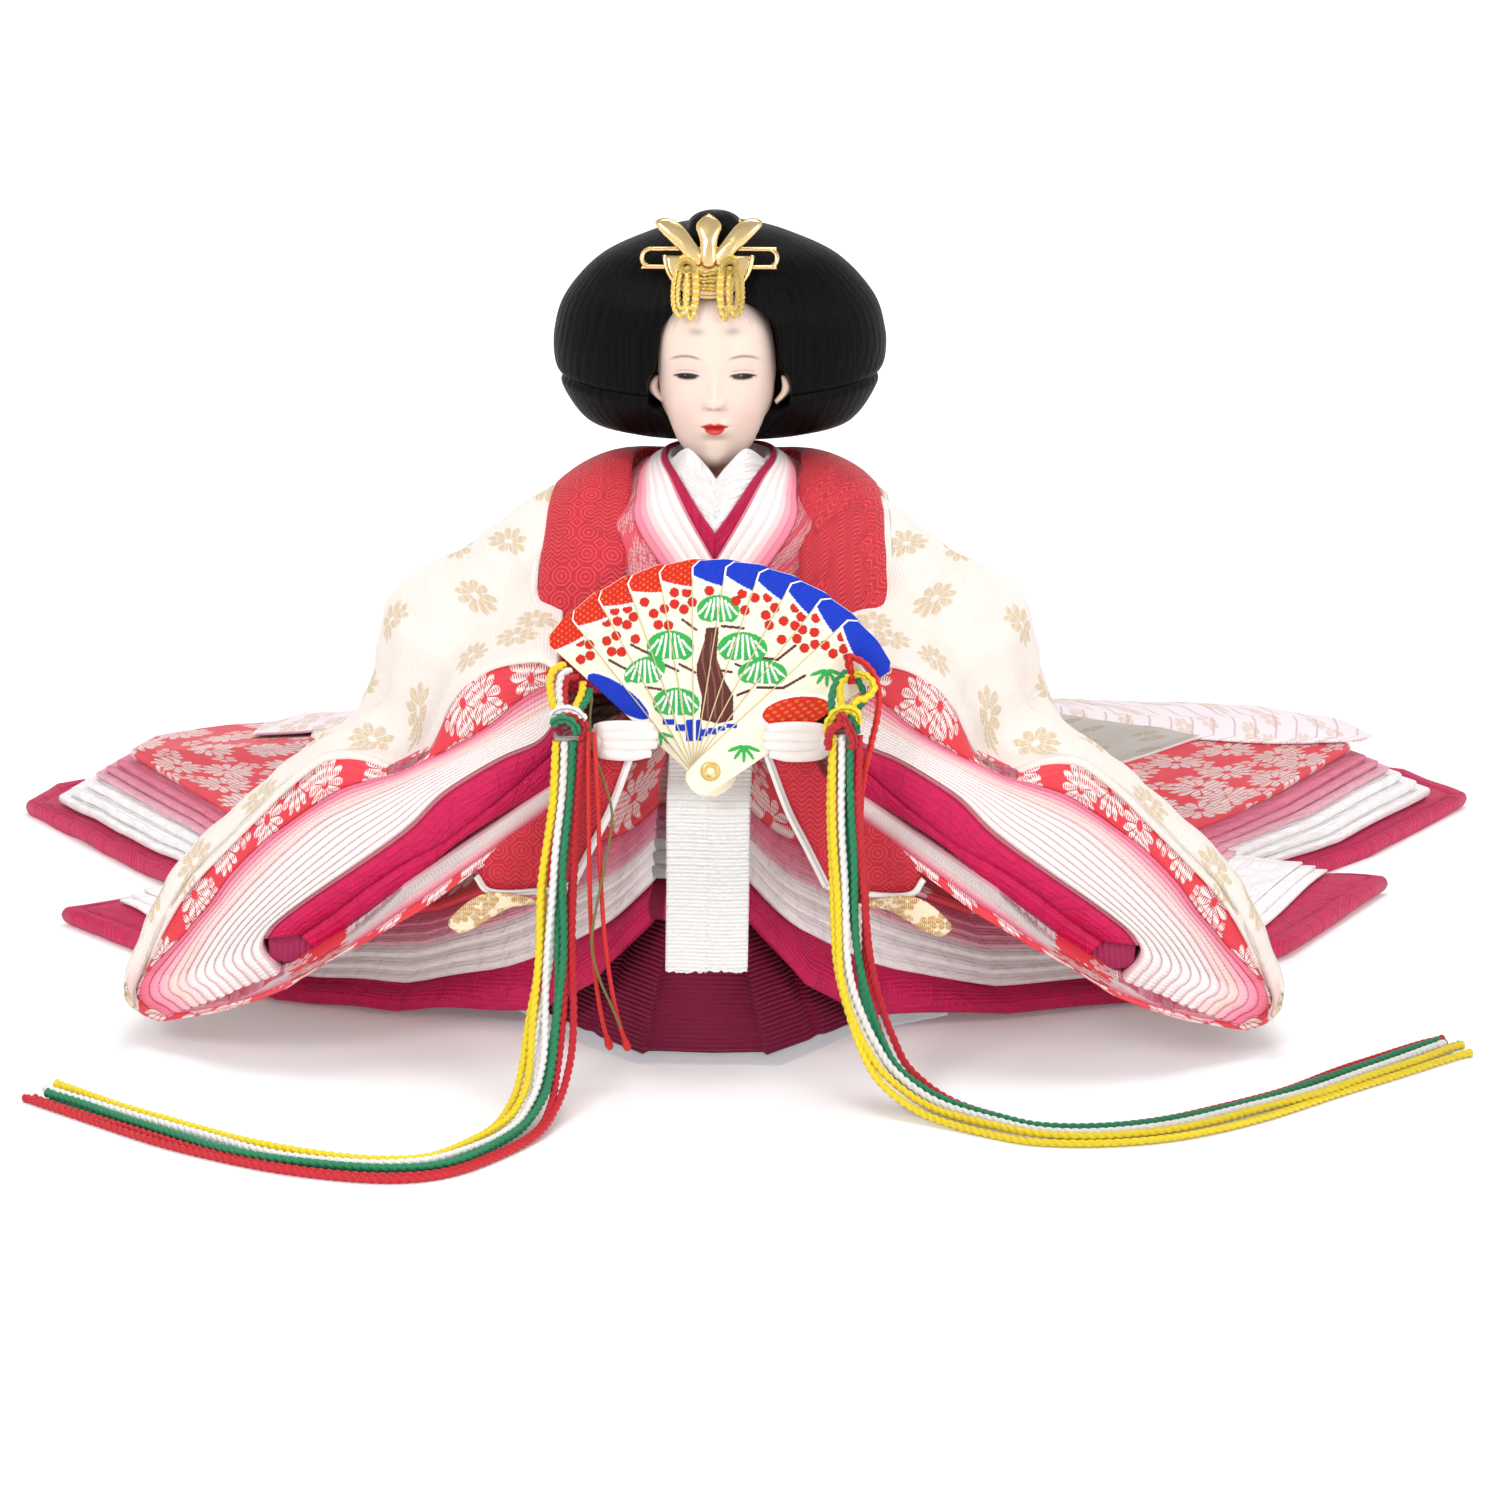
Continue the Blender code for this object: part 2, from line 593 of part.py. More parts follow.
def make_lap_form():
    """The padded lap under the robes."""
    shares = (0.0, 0.5 * LAP_REACH_SHARE, LAP_REACH_SHARE)
    top, bottom = [], []
    foot = board_top() + SEAT_GAP
    for spoke in range(len(HEM_SHARES)):
        top.append([hem_point(spoke, s) + Vector((0, 0, lap_height(spoke, s) - CLOTH_GAP)) for s in shares])
        bottom.append([hem_point(spoke, s * BOARD_SHARE / LAP_REACH_SHARE) + Vector((0, 0, foot)) for s in shares])
    finish_piece("lap_form", slab_mesh("lap_form", top, bottom, True), (0.80, 0.74, 0.62), 0.9)


def robe_group(name, base, thick, groups, reach, colour):
    """One group of robe hems: a closed slab that follows the lap and spreads to its own hem."""
    shares = [s for s in RING_SHARES if s <= reach]
    top, bottom = [], []
    for spoke in range(len(HEM_SHARES)):
        below = pile_height(spoke, base, groups)
        pile = thick if not base else thick * HEM_SHARES[spoke][4]
        places = [hem_point(spoke, s) + Vector((0, 0, lap_height(spoke, s) + below)) for s in shares]
        bottom.append(places)
        top.append([p + Vector((0, 0, pile)) for p in places])
    return finish_piece(name, slab_mesh(name, top, bottom, True), colour, 0.85)


def make_skirts():
    """The four groups of hems, from the padded bottom robe up to the coral one."""
    robe_group("skirt_magenta", 0.0, HEM_PAD, (), 1.0, MAGENTA)
    robe_group("skirt_white", HEM_PAD, WHITE_PILE, (), WHITE_REACH_SHARE, WHITE)
    robe_group("skirt_pink", HEM_PAD, PINK_PILE, (WHITE_PILE,), PINK_REACH_SHARE, PINK)
    return robe_group("skirt_coral", HEM_PAD, CORAL_PILE, (WHITE_PILE, PINK_PILE), CORAL_REACH_SHARE, CORAL)


def make_hakama():
    """The pleated front of the trousers, under the parted hems."""
    foot = SHEET_THICK + SEAT_GAP
    loops = []
    for rise, width, depth in HAKAMA_RING_SHARES:
        height = foot + rise * (HAKAMA_TOP - foot)
        loops.append([Vector((x * width * HAKAMA_HALF, y * depth * HAKAMA_FRONT, height))
                      for x, y in HAKAMA_FOOT_SHARES])
    finish_piece("hakama", loft_mesh("hakama", loops), (0.19, 0.01, 0.03), 0.8)


def head_loops(grow):
    """Level rings of the head, grown outward for the cutters."""
    loops = [oval(Vector((0, 0, NECK_FOOT - grow)), NECK_R + grow, NECK_R + grow)]
    for rise, width, depth, forward in HEAD_SHARES:
        centre = Vector((0, forward * HEAD_SIZE, HEAD_BASE + rise * (HEAD_HEIGHT + grow)))
        loops.append(oval(centre, width * HEAD_SIZE + grow, depth * HEAD_SIZE + grow))
    return loops


def make_head():
    """The head and neck, bored for the neck stick."""
    head = finish_piece("head", loft_mesh("head", head_loops(0.0)), (0.86, 0.80, 0.74), 0.35)
    length = STICK_TOP + SEAT_GAP - NECK_FOOT + CUT_OVERRUN
    bore = cutter_from("head_bore", cylinder_mesh("head_bore", STICK_R + SEAT_GAP, length, 12))
    bore.location.z = NECK_FOOT - CUT_OVERRUN
    cut(head, bore)


def hair_loops(shares, grow):
    """Level rings of the rolled hair."""
    loops = []
    for rise, width, depth, back in shares:
        centre = Vector((0, back * HAIR_HALF, HAIR_BASE + rise * HAIR_HEIGHT))
        loops.append(oval(centre, width * HAIR_HALF + grow, depth * HAIR_HALF + grow, 20))
    return loops


def make_hair():
    """The rolled dome with its topknot, the smaller roll under it and the long tail behind."""
    colour = (0.006, 0.006, 0.007)
    hollow = cutter_from("head_hollow", loft_mesh("head_hollow", head_loops(RUN_GAP)))
    dome = finish_piece("hair_dome", loft_mesh("hair_dome", hair_loops(HAIR_DOME_SHARES, 0.0)), colour, 0.35)
    mesh = bpy.data.meshes.new("topknot")
    work = bmesh.new()
    bmesh.ops.create_uvsphere(work, u_segments=10, v_segments=6, radius=TOPKNOT_R)
    work.to_mesh(mesh)
    work.free()
    topknot = cutter_from("topknot", mesh)
    topknot.location = (CROWN_PLACE[0], TOPKNOT_R * 0.2, HAIR_BASE + HAIR_HEIGHT - TOPKNOT_R * 0.2)
    cut(dome, topknot, "UNION")
    cut(dome, hollow)
    under = finish_piece("hair_under", loft_mesh("hair_under", hair_loops(HAIR_UNDER_SHARES, 0.0)), colour, 0.35)
    cut(under, hollow)
    loops = []
    for down, width, depth, back in TAIL_SHARES:
        centre = Vector((0, back * HAIR_HALF, TAIL_TOP - down * TAIL_LENGTH))
        loops.append(oval(centre, width * TAIL_HALF, depth * TAIL_HALF, 10))
    finish_piece("hair_tail", loft_mesh("hair_tail", loops), colour, 0.35)


def make_crown():
    """The gilt crown with its pin, the long hairpin behind it and the gold cord in front."""
    gold = (0.80, 0.50, 0.16)
    frame = bpy.data.objects.new("crown_frame", None)
    DOLL.objects.link(frame)
    frame.location = CROWN_PLACE
    frame.rotation_euler.x = CROWN_LEAN
    outline = [(x * CROWN_R, y * CROWN_R) for x, y in CROWN_SHARES]
    flat = bpy.data.objects.new("crown_flat", flat_curve("crown_flat", [outline], CROWN_THICK))
    DOLL.objects.link(flat)
    bpy.context.view_layer.update()
    mesh = bpy.data.meshes.new_from_object(flat.evaluated_get(bpy.context.evaluated_depsgraph_get()))
    bpy.data.objects.remove(flat, do_unlink=True)
    work = bmesh.new()
    work.from_mesh(mesh)
    bmesh.ops.remove_doubles(work, verts=work.verts, dist=0.1 * CROWN_THICK)
    bmesh.ops.recalc_face_normals(work, faces=work.faces)
    work.to_mesh(mesh)
    work.free()
    plate = finish_piece("crown_plate", mesh, gold, 0.25, 1.0)
    plate.parent = frame
    plate.rotation_euler.x = math.radians(90.0)
    pin = cutter_from("crown_pin", cylinder_mesh("crown_pin", CROWN_PIN_R, CROWN_PIN_LENGTH + CROWN_THICK / 2, 10))
    pin.parent = frame
    pin.rotation_euler.x = math.radians(-90.0)
    cut(plate, pin, "UNION")
    ends = 5
    route = []
    for side in (-1, 1):
        for k in range(ends + 1):
            turn = math.pi * (k / ends - 0.5) * side
            route.append((side * (HAIRPIN_HALF - HAIRPIN_HIGH + HAIRPIN_HIGH * math.cos(turn)),
                          CROWN_THICK / 2 + HAIRPIN_R + SEAT_GAP, HAIRPIN_HIGH * math.sin(turn) * side * side))
    hairpin = finish_piece("hairpin", tube_curve("hairpin", route, HAIRPIN_R, True), gold, 0.25, 1.0)
    hairpin.parent = frame
    front = -(CROWN_THICK / 2 + CROWN_CORD_R + SEAT_GAP)
    loops = smooth_route([(x * CROWN_R, front, z * CROWN_R) for x, z in CROWN_CORD_SHARES], 3 * CROWN_CORD_R)
    cord = finish_piece("crown_cord", tube_curve("crown_cord", loops, CROWN_CORD_R, resolution=1),
                        (0.85, 0.58, 0.05), 0.35, 0.8)
    cord.parent = frame


def fan_frame():
    """The empty at the fan's pivot, leaning back with the fan."""
    frame = bpy.data.objects.new("fan_frame", None)
    DOLL.objects.link(frame)
    frame.location = FAN_PIVOT
    frame.rotation_euler.x = FAN_LEAN
    return frame


def slat_outline():
    """Outline of one slat, pivot at zero, rounded at its tail and tip."""
    length = SLAT_LENGTH + SLAT_TAIL
    right = [(w * SLAT_HALF, s * length - SLAT_TAIL) for w, s in SLAT_SHARES]
    left = [(-x, y) for x, y in reversed(right[1:-1])]
    return right + left


def rivet_hole():
    """A round hole at the pivot."""
    sides = 12
    return [(RIVET_HOLE_R * math.cos(math.tau * k / sides), RIVET_HOLE_R * math.sin(math.tau * k / sides))
            for k in range(sides)]


def make_fan(frame):
    """Eleven slats on one rivet. The first is the rear guard on the doll's right, the last the front guard."""
    for k in range(SLAT_COUNT):
        name = f"fan_slat_{k + 1:02d}"
        slat = finish_piece(name, flat_curve(name, [slat_outline(), rivet_hole()], SLAT_THICK),
                            (0.90, 0.84, 0.66), 0.5)
        slat.parent = frame
        slat.location.y = ((SLAT_COUNT - 1) / 2 - k) * SLAT_PITCH
        slat.rotation_euler = (math.radians(90.0), SLAT_FIRST + k * SLAT_STEP, 0.0)


def stack_half():
    """Half the thickness of the stacked slats."""
    return (SLAT_COUNT - 1) / 2 * SLAT_PITCH + SLAT_THICK / 2


def make_rivet(frame):
    """The gilt rivet that the slats turn on."""
    inside = stack_half() + SEAT_GAP
    outside = inside + RIVET_HEAD_THICK
    profile = ((0.0, outside), (RIVET_HEAD_R, outside), (RIVET_HEAD_R, inside), (RIVET_R, inside),
               (RIVET_R, -inside), (RIVET_HEAD_R, -inside), (RIVET_HEAD_R, -outside), (0.0, -outside))
    mesh = bpy.data.meshes.new("fan_eyelet")
    mesh.from_pydata([(x, 0.0, z) for x, z in profile], [(k, k + 1) for k in range(len(profile) - 1)], [])
    rivet = finish_piece("fan_eyelet", mesh, (0.70, 0.50, 0.18), 0.3, 1.0)
    rivet.parent = frame
    rivet.rotation_euler.x = math.radians(90.0)
    turn = rivet.modifiers.new("Turn", "SCREW")
    turn.steps = 12
    turn.render_steps = 12
    turn.use_merge_vertices = True
    turn.merge_threshold = 0.00005


def make_hand(frame, name, side):
    """A closed hand: fingers in front of the stacked slats, thumb behind, open towards the fan."""
    depth = stack_half() + RUN_GAP + FINGER_THICK
    loops = []
    for along, high, deep in HAND_SHARES:
        x = -HAND_REACH + along * (HAND_REACH - HAND_TIP)
        ring = []
        for k in range(10):
            turn = math.tau * k / 10
            ring.append(Vector((side * x, depth * deep * math.sin(turn),
                                HAND_LIFT + HAND_HIGH * high * math.cos(turn))))
        loops.append(ring)
    hand = finish_piece(name, loft_mesh(name, loops), (0.88, 0.84, 0.80), 0.4)
    hand.parent = frame
    slot = stack_half() + RUN_GAP
    mesh = bpy.data.meshes.new(name + "_slot")
    work = bmesh.new()
    bmesh.ops.create_cube(work, size=1.0)
    length = PALM_EDGE - HAND_TIP + CUT_OVERRUN
    bmesh.ops.scale(work, vec=(length, 2 * slot, 2 * HAND_HIGH + 2 * CUT_OVERRUN), verts=work.verts)
    work.to_mesh(mesh)
    work.free()
    cutter = cutter_from(name + "_slot", mesh)
    cutter.parent = frame
    cutter.location = (side * (length / 2 - PALM_EDGE), 0.0, HAND_LIFT)
    cut(hand, cutter)


def band(name, stations, colour, thick, split):
    """A band of cloth round the neck: stations of inner edge, outer edge and normal, from the front to the back.

    The left half is given. The right half mirrors it, and the two ends stay a hair apart at the front.
    """
    half = [[Vector(p) for p in station] for station in stations]
    other = [[Vector((-p.x, p.y, p.z)) for p in station] for station in reversed(half[:-1])]
    for station in (half[0], other[-1]):
        side = -1 if station is half[0] else 1
        for k in (0, 1):
            if abs(station[k].x) < split:
                station[k].x = side * split
    loops = []
    for inner, outer, normal in half + other:
        up = normal.normalized() * thick
        loops.append([inner, outer, outer + up, inner + up])
    return finish_piece(name, loft_mesh(name, loops), colour, 0.8)


def collar_band(name, widths, colour):
    """One collar, between two offsets from the V line of the neck."""
    stations = []
    for (point, way, normal), (near, far) in zip(COLLAR_SHARES, widths):
        base, out = Vector(point) * COLLAR_SIZE, Vector(way) * COLLAR_SIZE
        stations.append((base + out * near, base + out * far, normal))
    return band(name, stations, colour, COLLAR_THICK, COLLAR_SPLIT)


def make_collars():
    """The white, magenta and layered collars, and the jacket with its wide lapels."""
    collar_band("collar_white", WHITE_BAND_SHARES, WHITE)
    collar_band("collar_magenta", MAGENTA_BAND_SHARES, MAGENTA)
    collar_band("collar_stack", STACK_BAND_SHARES, PINK)
    stations = [(Vector(a) * JACKET_SIZE, Vector(b) * JACKET_SIZE, n) for a, b, n in JACKET_SHARES]
    band("karaginu", stations, CORAL, JACKET_THICK, COLLAR_SPLIT)


def back_spokes(first, last):
    """Spokes of the hem table, as angles from the back centre."""
    for spoke in range(first, last + 1):
        hem = hem_point(spoke, 1.0)
        yield spoke, math.atan2(hem.x, hem.y)


def coat_column(spoke, turn, shares):
    """Points down the coat's back along one spoke, from the jacket over the hips and out over the train."""
    column = []
    for height, width, depth in COAT_HIP_SHARES:
        column.append(Vector((BACK_HALF * width * math.sin(turn), BACK_HALF * depth * math.cos(turn),
                              BACK_TOP * height)))
    for share in shares:
        rise = lap_height(spoke, share) + pile_height(spoke, HEM_PAD, (WHITE_PILE, PINK_PILE, CORAL_PILE))
        column.append(hem_point(spoke, share) + Vector((0, 0, rise + CLOTH_GAP)))
    return column


def make_coat_back():
    """The coat's back, laid over the robes."""
    bottom = [coat_column(spoke, turn, COAT_RING_SHARES)
              for spoke, turn in back_spokes(COAT_FIRST_SPOKE, COAT_LAST_SPOKE)]
    top = [[p + Vector((0, COAT_THICK, COAT_THICK)) for p in column] for column in bottom]
    return finish_piece("coat_back", slab_mesh("coat_back", top, bottom, False), (0.90, 0.87, 0.84), 0.8)


def make_mo():
    """The pleated apron train behind, over the coat."""
    shift = Vector((0, COAT_THICK + CLOTH_GAP, COAT_THICK + CLOTH_GAP))
    bottom = [[p + shift for p in coat_column(spoke, turn, MO_RING_SHARES)[1:]]
              for spoke, turn in back_spokes(MO_FIRST_SPOKE, MO_LAST_SPOKE)]
    top = [[p + Vector((0, MO_THICK, MO_THICK)) for p in column] for column in bottom]
    finish_piece("mo_train", slab_mesh("mo_train", top, bottom, False), (0.92, 0.90, 0.90), 0.7)


def sleeve_edge(station, share, shift):
    """A point on the sleeve's front face, from its outer turn towards its inner turn."""
    outer = Vector(SLEEVE_OUTER_SHARES[station]) * SLEEVE_SIZE
    inner = Vector(SLEEVE_INNER_SHARES[station]) * SLEEVE_SIZE
    return outer + (inner - outer) * share + (inner - outer).normalized() * shift


def make_sleeve_group(name, side, near, far, colour):
    """One colour group of the sleeve's layers, folded round the sleeve's outer corner like a hairpin."""
    loops = []
    deep = Vector((0.0, SLEEVE_DEPTH, SLEEVE_RISE))
    for station in range(len(SLEEVE_OUTER_SHARES)):
        a = sleeve_edge(station, near, SEAT_GAP if near else 0.0)
        b = sleeve_edge(station, far, 0.0)
        loops.append([a, b, b + deep, a + deep])
    if side > 0:
        loops = [mirrored(loop) for loop in loops]
    return finish_piece(name, loft_mesh(name, loops), colour, 0.85)


def make_sleeve_magenta(name, side):
    """The folded inner robe that fills the sleeve's mouth."""
    loops = []
    deep = Vector((0.0, SLEEVE_DEPTH, SLEEVE_RISE))
    last = len(SLEEVE_INNER_SHARES) - 1
    for station in range(last + 1):
        a = sleeve_edge(station, 1.0, SEAT_GAP)
        middle = (a + sleeve_edge(last - station, 1.0, SEAT_GAP)) / 2
        b = a.lerp(middle, MAGENTA_FILL_SHARE)
        loops.append([a, b, b + deep, a + deep])
    if side > 0:
        loops = [mirrored(loop) for loop in loops]
    return finish_piece(name, loft_mesh(name, loops), MAGENTA, 0.85)


def make_sleeve_coat(name, side, trees):
    """The outer sleeve: a tent from its lip over the elbow ridge to where it lies on the robes behind."""
    deep = Vector((0.0, SLEEVE_DEPTH, SLEEVE_RISE))
    up = Vector((0.0, 0.0, SLEEVE_COAT_THICK))
    lift = Vector((0.0, 0.0, CLOTH_GAP))
    bottom = []
    for station in range(SLEEVE_TENT_COUNT):
        lip = sleeve_edge(station, 0.0, -CLOTH_GAP) + lift / 2
        ridge = Vector(SLEEVE_RIDGE_SHARES[station]) * SLEEVE_SIZE
        back = Vector(SLEEVE_BACK_SHARES[station]) * SLEEVE_SIZE
        x, y = SLEEVE_FALL_SHARES[station]
        fall = Vector((x * SLEEVE_SIZE, y * SLEEVE_SIZE, back.z * SLEEVE_FALL_LIMIT_SHARE))
        column = [lip, lip + deep + lift, ridge, back, fall]
        if side > 0:
            column = mirrored(column)
        for k in (2, 3, 4):
            for tree in trees:
                hit = tree.ray_cast(Vector((column[k].x, column[k].y, SLEEVE_SIZE * 3)), Vector((0, 0, -1)))[0]
                if hit is not None and column[k].z < hit.z + 2 * CLOTH_GAP:
                    column[k].z = hit.z + 2 * CLOTH_GAP
        bottom.append(column)
    top = [[p + up for p in column] for column in bottom]
    return finish_piece(name, slab_mesh(name, top, bottom, False), (0.90, 0.86, 0.84), 0.8)


def make_sleeves(coral, coat):
    """Both sleeves, each with its coat and four groups of layers."""
    trees = [tree_of(coral), tree_of(coat)]
    for word, side in (("left", -1), ("right", 1)):
        make_sleeve_group("sleeve_coral_" + word, side, 0.0, SLEEVE_CORAL_SHARE, CORAL)
        make_sleeve_group("sleeve_pink_" + word, side, SLEEVE_CORAL_SHARE, SLEEVE_PINK_SHARE, PINK)
        make_sleeve_group("sleeve_white_" + word, side, SLEEVE_PINK_SHARE, 1.0, WHITE)
        make_sleeve_magenta("sleeve_magenta_" + word, side)
        make_sleeve_coat("sleeve_coat_" + word, side, trees)


def tree_of(piece):
    """The piece's surface, to lay cloth on."""
    return BVHTree.FromPolygons([v.co for v in piece.data.vertices], [p.vertices for p in piece.data.polygons])


def make_ribbon():
    """The white ribbon that hangs from the waist over the lap."""
    points = [Vector((0.0, y * RIBBON_SIZE, z * RIBBON_SIZE)) for y, z in RIBBON_SHARES]
    loops = []
    for k, point in enumerate(points):
        run = points[min(k + 1, len(points) - 1)] - points[max(k - 1, 0)]
        normal = Vector((0.0, run.z, -run.y)).normalized() * RIBBON_THICK
        side = Vector((RIBBON_HALF, 0.0, 0.0))
        loops.append([point - side, point + side, point + side + normal, point - side + normal])
    finish_piece("waist_ribbon", loft_mesh("waist_ribbon", loops), (0.88, 0.87, 0.84), 0.8)


def offset_route(route, place):
    """The same route, set aside by a place in the bundle: a close zigzag at the knot, side by side on the floor."""
    points = [Vector(p) for p in route]
    moved = []
    for k, point in enumerate(points):
        run = (points[min(k + 1, len(points) - 1)] - points[max(k - 1, 0)]).normalized()
        lying = min(1.0, k / LYING_FROM)
        level = Vector((-run.y, run.x, 0.0)).normalized()
        aside = Vector((1.0, 0.0, 0.0)).lerp(level, lying).normalized()
        near_share = HANGING_SHARE + (1.0 - HANGING_SHARE) * lying
        stagger = math.sqrt(1.0 - near_share**2) * (place % 2 - 0.5)
        front = aside.cross(run).normalized()
        moved.append(point + (aside * near_share * (place - 1.5) + front * stagger) * CORD_PITCH)
    return moved


def make_cords():
    """Four cords a side from their knot, the knots with their loops, and the red thread."""
    for word, route in (("left", LEFT_CORD_ROUTE), ("right", RIGHT_CORD_ROUTE)):
        for place, colour in enumerate(LEFT_CORDS):
            name = f"cord_{word}_{colour}"
            points = smooth_route(offset_route(route, place), CORD_STEP)
            finish_piece(name, tube_curve(name, points, CORD_R), CORD_COLOURS[colour], 0.7)
    for name, route in (("knot_left", LEFT_KNOT_ROUTE), ("knot_right", RIGHT_KNOT_ROUTE)):
        loops = []
        for place, swell in zip(route, KNOT_SWELL_SHARES):
            loops.append(oval(Vector(place), swell * KNOT_SIZE, swell * KNOT_SIZE * 0.8, 8))
        low = Vector(route[-1])
        loops.append(oval(low - Vector((0.0, 0.0, KNOT_SIZE * 0.5)), KNOT_SIZE, KNOT_SIZE * 0.8, 8))
        finish_piece(name, loft_mesh(name, loops), CORD_COLOURS["green"], 0.7)
    thread = smooth_route(RED_THREAD_ROUTE, 3 * THREAD_R)
    finish_piece("red_thread", tube_curve("red_thread", thread, THREAD_R, resolution=1), CORD_COLOURS["red"], 0.7)


def make_doll():
    """Builds every piece of the doll."""
    make_base()
    make_torso()
    make_neck_stick()
    make_arm_wire()
    make_lap_form()
    coral = make_skirts()
    make_hakama()
    make_head()
    make_hair()
    make_crown()
    frame = fan_frame()
    make_fan(frame)
    make_rivet(frame)
    make_hand(frame, "hand_left", 1)
    make_hand(frame, "hand_right", -1)
    make_collars()
    coat = make_coat_back()
    make_mo()
    make_sleeves(coral, coat)
    make_ribbon()
    make_cords()


make_doll()
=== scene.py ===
"""A seated hina doll in layered robes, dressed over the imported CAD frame.

Metres, +Z up. Places marked "picture" are pixels of a 1500 x 1500 view through this scene's own camera.
"""
import math

import bmesh
import bpy
import numpy as np
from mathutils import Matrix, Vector


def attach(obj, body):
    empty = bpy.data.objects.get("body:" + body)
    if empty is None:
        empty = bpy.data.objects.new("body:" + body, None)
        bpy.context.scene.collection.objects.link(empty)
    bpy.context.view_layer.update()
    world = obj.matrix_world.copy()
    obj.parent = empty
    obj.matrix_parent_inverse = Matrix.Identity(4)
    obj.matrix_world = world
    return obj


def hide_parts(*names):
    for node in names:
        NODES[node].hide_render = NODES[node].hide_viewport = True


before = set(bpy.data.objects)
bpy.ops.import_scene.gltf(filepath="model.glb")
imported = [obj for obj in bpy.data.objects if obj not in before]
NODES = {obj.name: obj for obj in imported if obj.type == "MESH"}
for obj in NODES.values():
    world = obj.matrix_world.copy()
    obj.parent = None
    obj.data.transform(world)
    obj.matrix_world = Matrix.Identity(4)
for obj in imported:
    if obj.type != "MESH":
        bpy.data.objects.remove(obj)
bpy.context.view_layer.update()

RANDOM = np.random.default_rng(7)
# A sheet's area is at least this share of its cut.
LEAST_AREA_SHARE = 0.301

# ---------------------------------------------------------------- camera
FOCAL_PX, PICTURE_PX, SENSOR_MM = 4580.0, 1500.0, 36.0
AZIMUTH = math.radians(1.5)
ELEVATION = math.radians(15.0)
TARGET = np.array((0.010, 0.0, 0.057))
DISTANCE = 1.205
BACK = np.array((math.sin(AZIMUTH) * math.cos(ELEVATION), -math.cos(AZIMUTH) * math.cos(ELEVATION),
                 math.sin(ELEVATION)))
EYE = TARGET + BACK * DISTANCE
RIGHT = np.cross(-BACK, (0.0, 0.0, 1.0))
RIGHT = RIGHT / np.linalg.norm(RIGHT)
UP = np.cross(RIGHT, -BACK)


def placed(name, data):
    """A new object in the scene with that data."""
    obj = bpy.data.objects.new(name, data)
    bpy.context.scene.collection.objects.link(obj)
    return obj


def make_camera():
    """The camera at the picture's viewing angle."""
    data = bpy.data.cameras.new("camera")
    data.sensor_width = SENSOR_MM
    data.lens = SENSOR_MM * FOCAL_PX / PICTURE_PX
    data.clip_start, data.clip_end = 0.05, 30.0
    camera = placed("camera", data)
    camera.location = EYE
    camera.rotation_euler = Vector(BACK).to_track_quat("Z", "Y").to_euler()
    bpy.context.scene.camera = camera


def seen(px, py, y):
    """The point at depth y behind a pixel of the picture."""
    ray = -BACK + RIGHT * (px - PICTURE_PX / 2) / FOCAL_PX - UP * (py - PICTURE_PX / 2) / FOCAL_PX
    return EYE + ray * ((y - EYE[1]) / ray[1])


def seen_each(pixels, depths):
    """The points behind pixels, each at a depth of its own."""
    return np.array([seen(px, py, y) for (px, py), y in zip(pixels, depths)])


def seen_line(pixels, depths):
    """The points behind a line of pixels, with depths spread evenly along it."""
    gone = lengths(np.asarray(pixels, float))
    return seen_each(pixels, np.interp(gone / gone[-1], np.linspace(0, 1, len(depths)), depths))


make_camera()


# ---------------------------------------------------------------- curves and surfaces
def cr(points, count, closed=False):
    """count points on a smooth curve through the rows of an array."""
    p = np.asarray(points, float)
    if closed:
        ext = np.concatenate((p[-1:], p, p[:2]))
        spans = len(p)
    else:
        ext = np.concatenate((2 * p[:1] - p[1:2], p, 2 * p[-1:] - p[-2:-1]))
        spans = len(p) - 1
    t = np.linspace(0, spans, count, endpoint=not closed)
    i = np.minimum(t.astype(int), spans - 1)
    f = (t - i).reshape((-1,) + (1,) * (p.ndim - 1))
    a, b, c, d = ext[i], ext[i + 1], ext[i + 2], ext[i + 3]
    return 0.5 * (2 * b + (c - a) * f + (2 * a - 5 * b + 4 * c - d) * f**2 + (3 * b - a - 3 * c + d) * f**3)


def lengths(points):
    """Distance gone at each point of a line."""
    return np.cumsum(np.linalg.norm(np.diff(points, axis=0, prepend=points[:1]), axis=1))


def even(points, count):
    """The same line with evenly spaced points."""
    gone = lengths(points)
    want = np.linspace(0, gone[-1], count)
    return np.stack([np.interp(want, gone, column) for column in points.T], axis=1)


def smooth_even(points, count, closed=False):
    """An evenly spaced smooth line through a few points."""
    fine = cr(points, max(400, 12 * len(points)), closed)
    if closed:
        fine = np.concatenate((fine, fine[:1]))
    return even(fine, count)


def surf(ctrl, rows, cols):
    """A smooth surface through a grid of points."""
    return cr(cr(ctrl, rows).swapaxes(0, 1), cols).swapaxes(0, 1)


def unit(v):
    return v / np.maximum(np.linalg.norm(v, axis=-1, keepdims=True), 1e-9)


def mirror(points):
    return np.asarray(points) * np.array((-1.0, 1.0, 1.0))


def bell(far, width):
    """1 at zero, falling off smoothly over the width."""
    return np.exp(-((far / width) ** 2))


def boxed(wave, power):
    """A sine or cosine flattened by a power, which draws a circle towards a rounded square."""
    return np.sign(wave) * np.abs(wave) ** power


def turns(count):
    """Angles spread evenly round a circle."""
    return np.linspace(0, math.tau, count, endpoint=False)


def spots(x, y, z):
    """Points from their coordinates, spread to one shape."""
    return np.stack(np.broadcast_arrays(x, y, z), axis=-1)


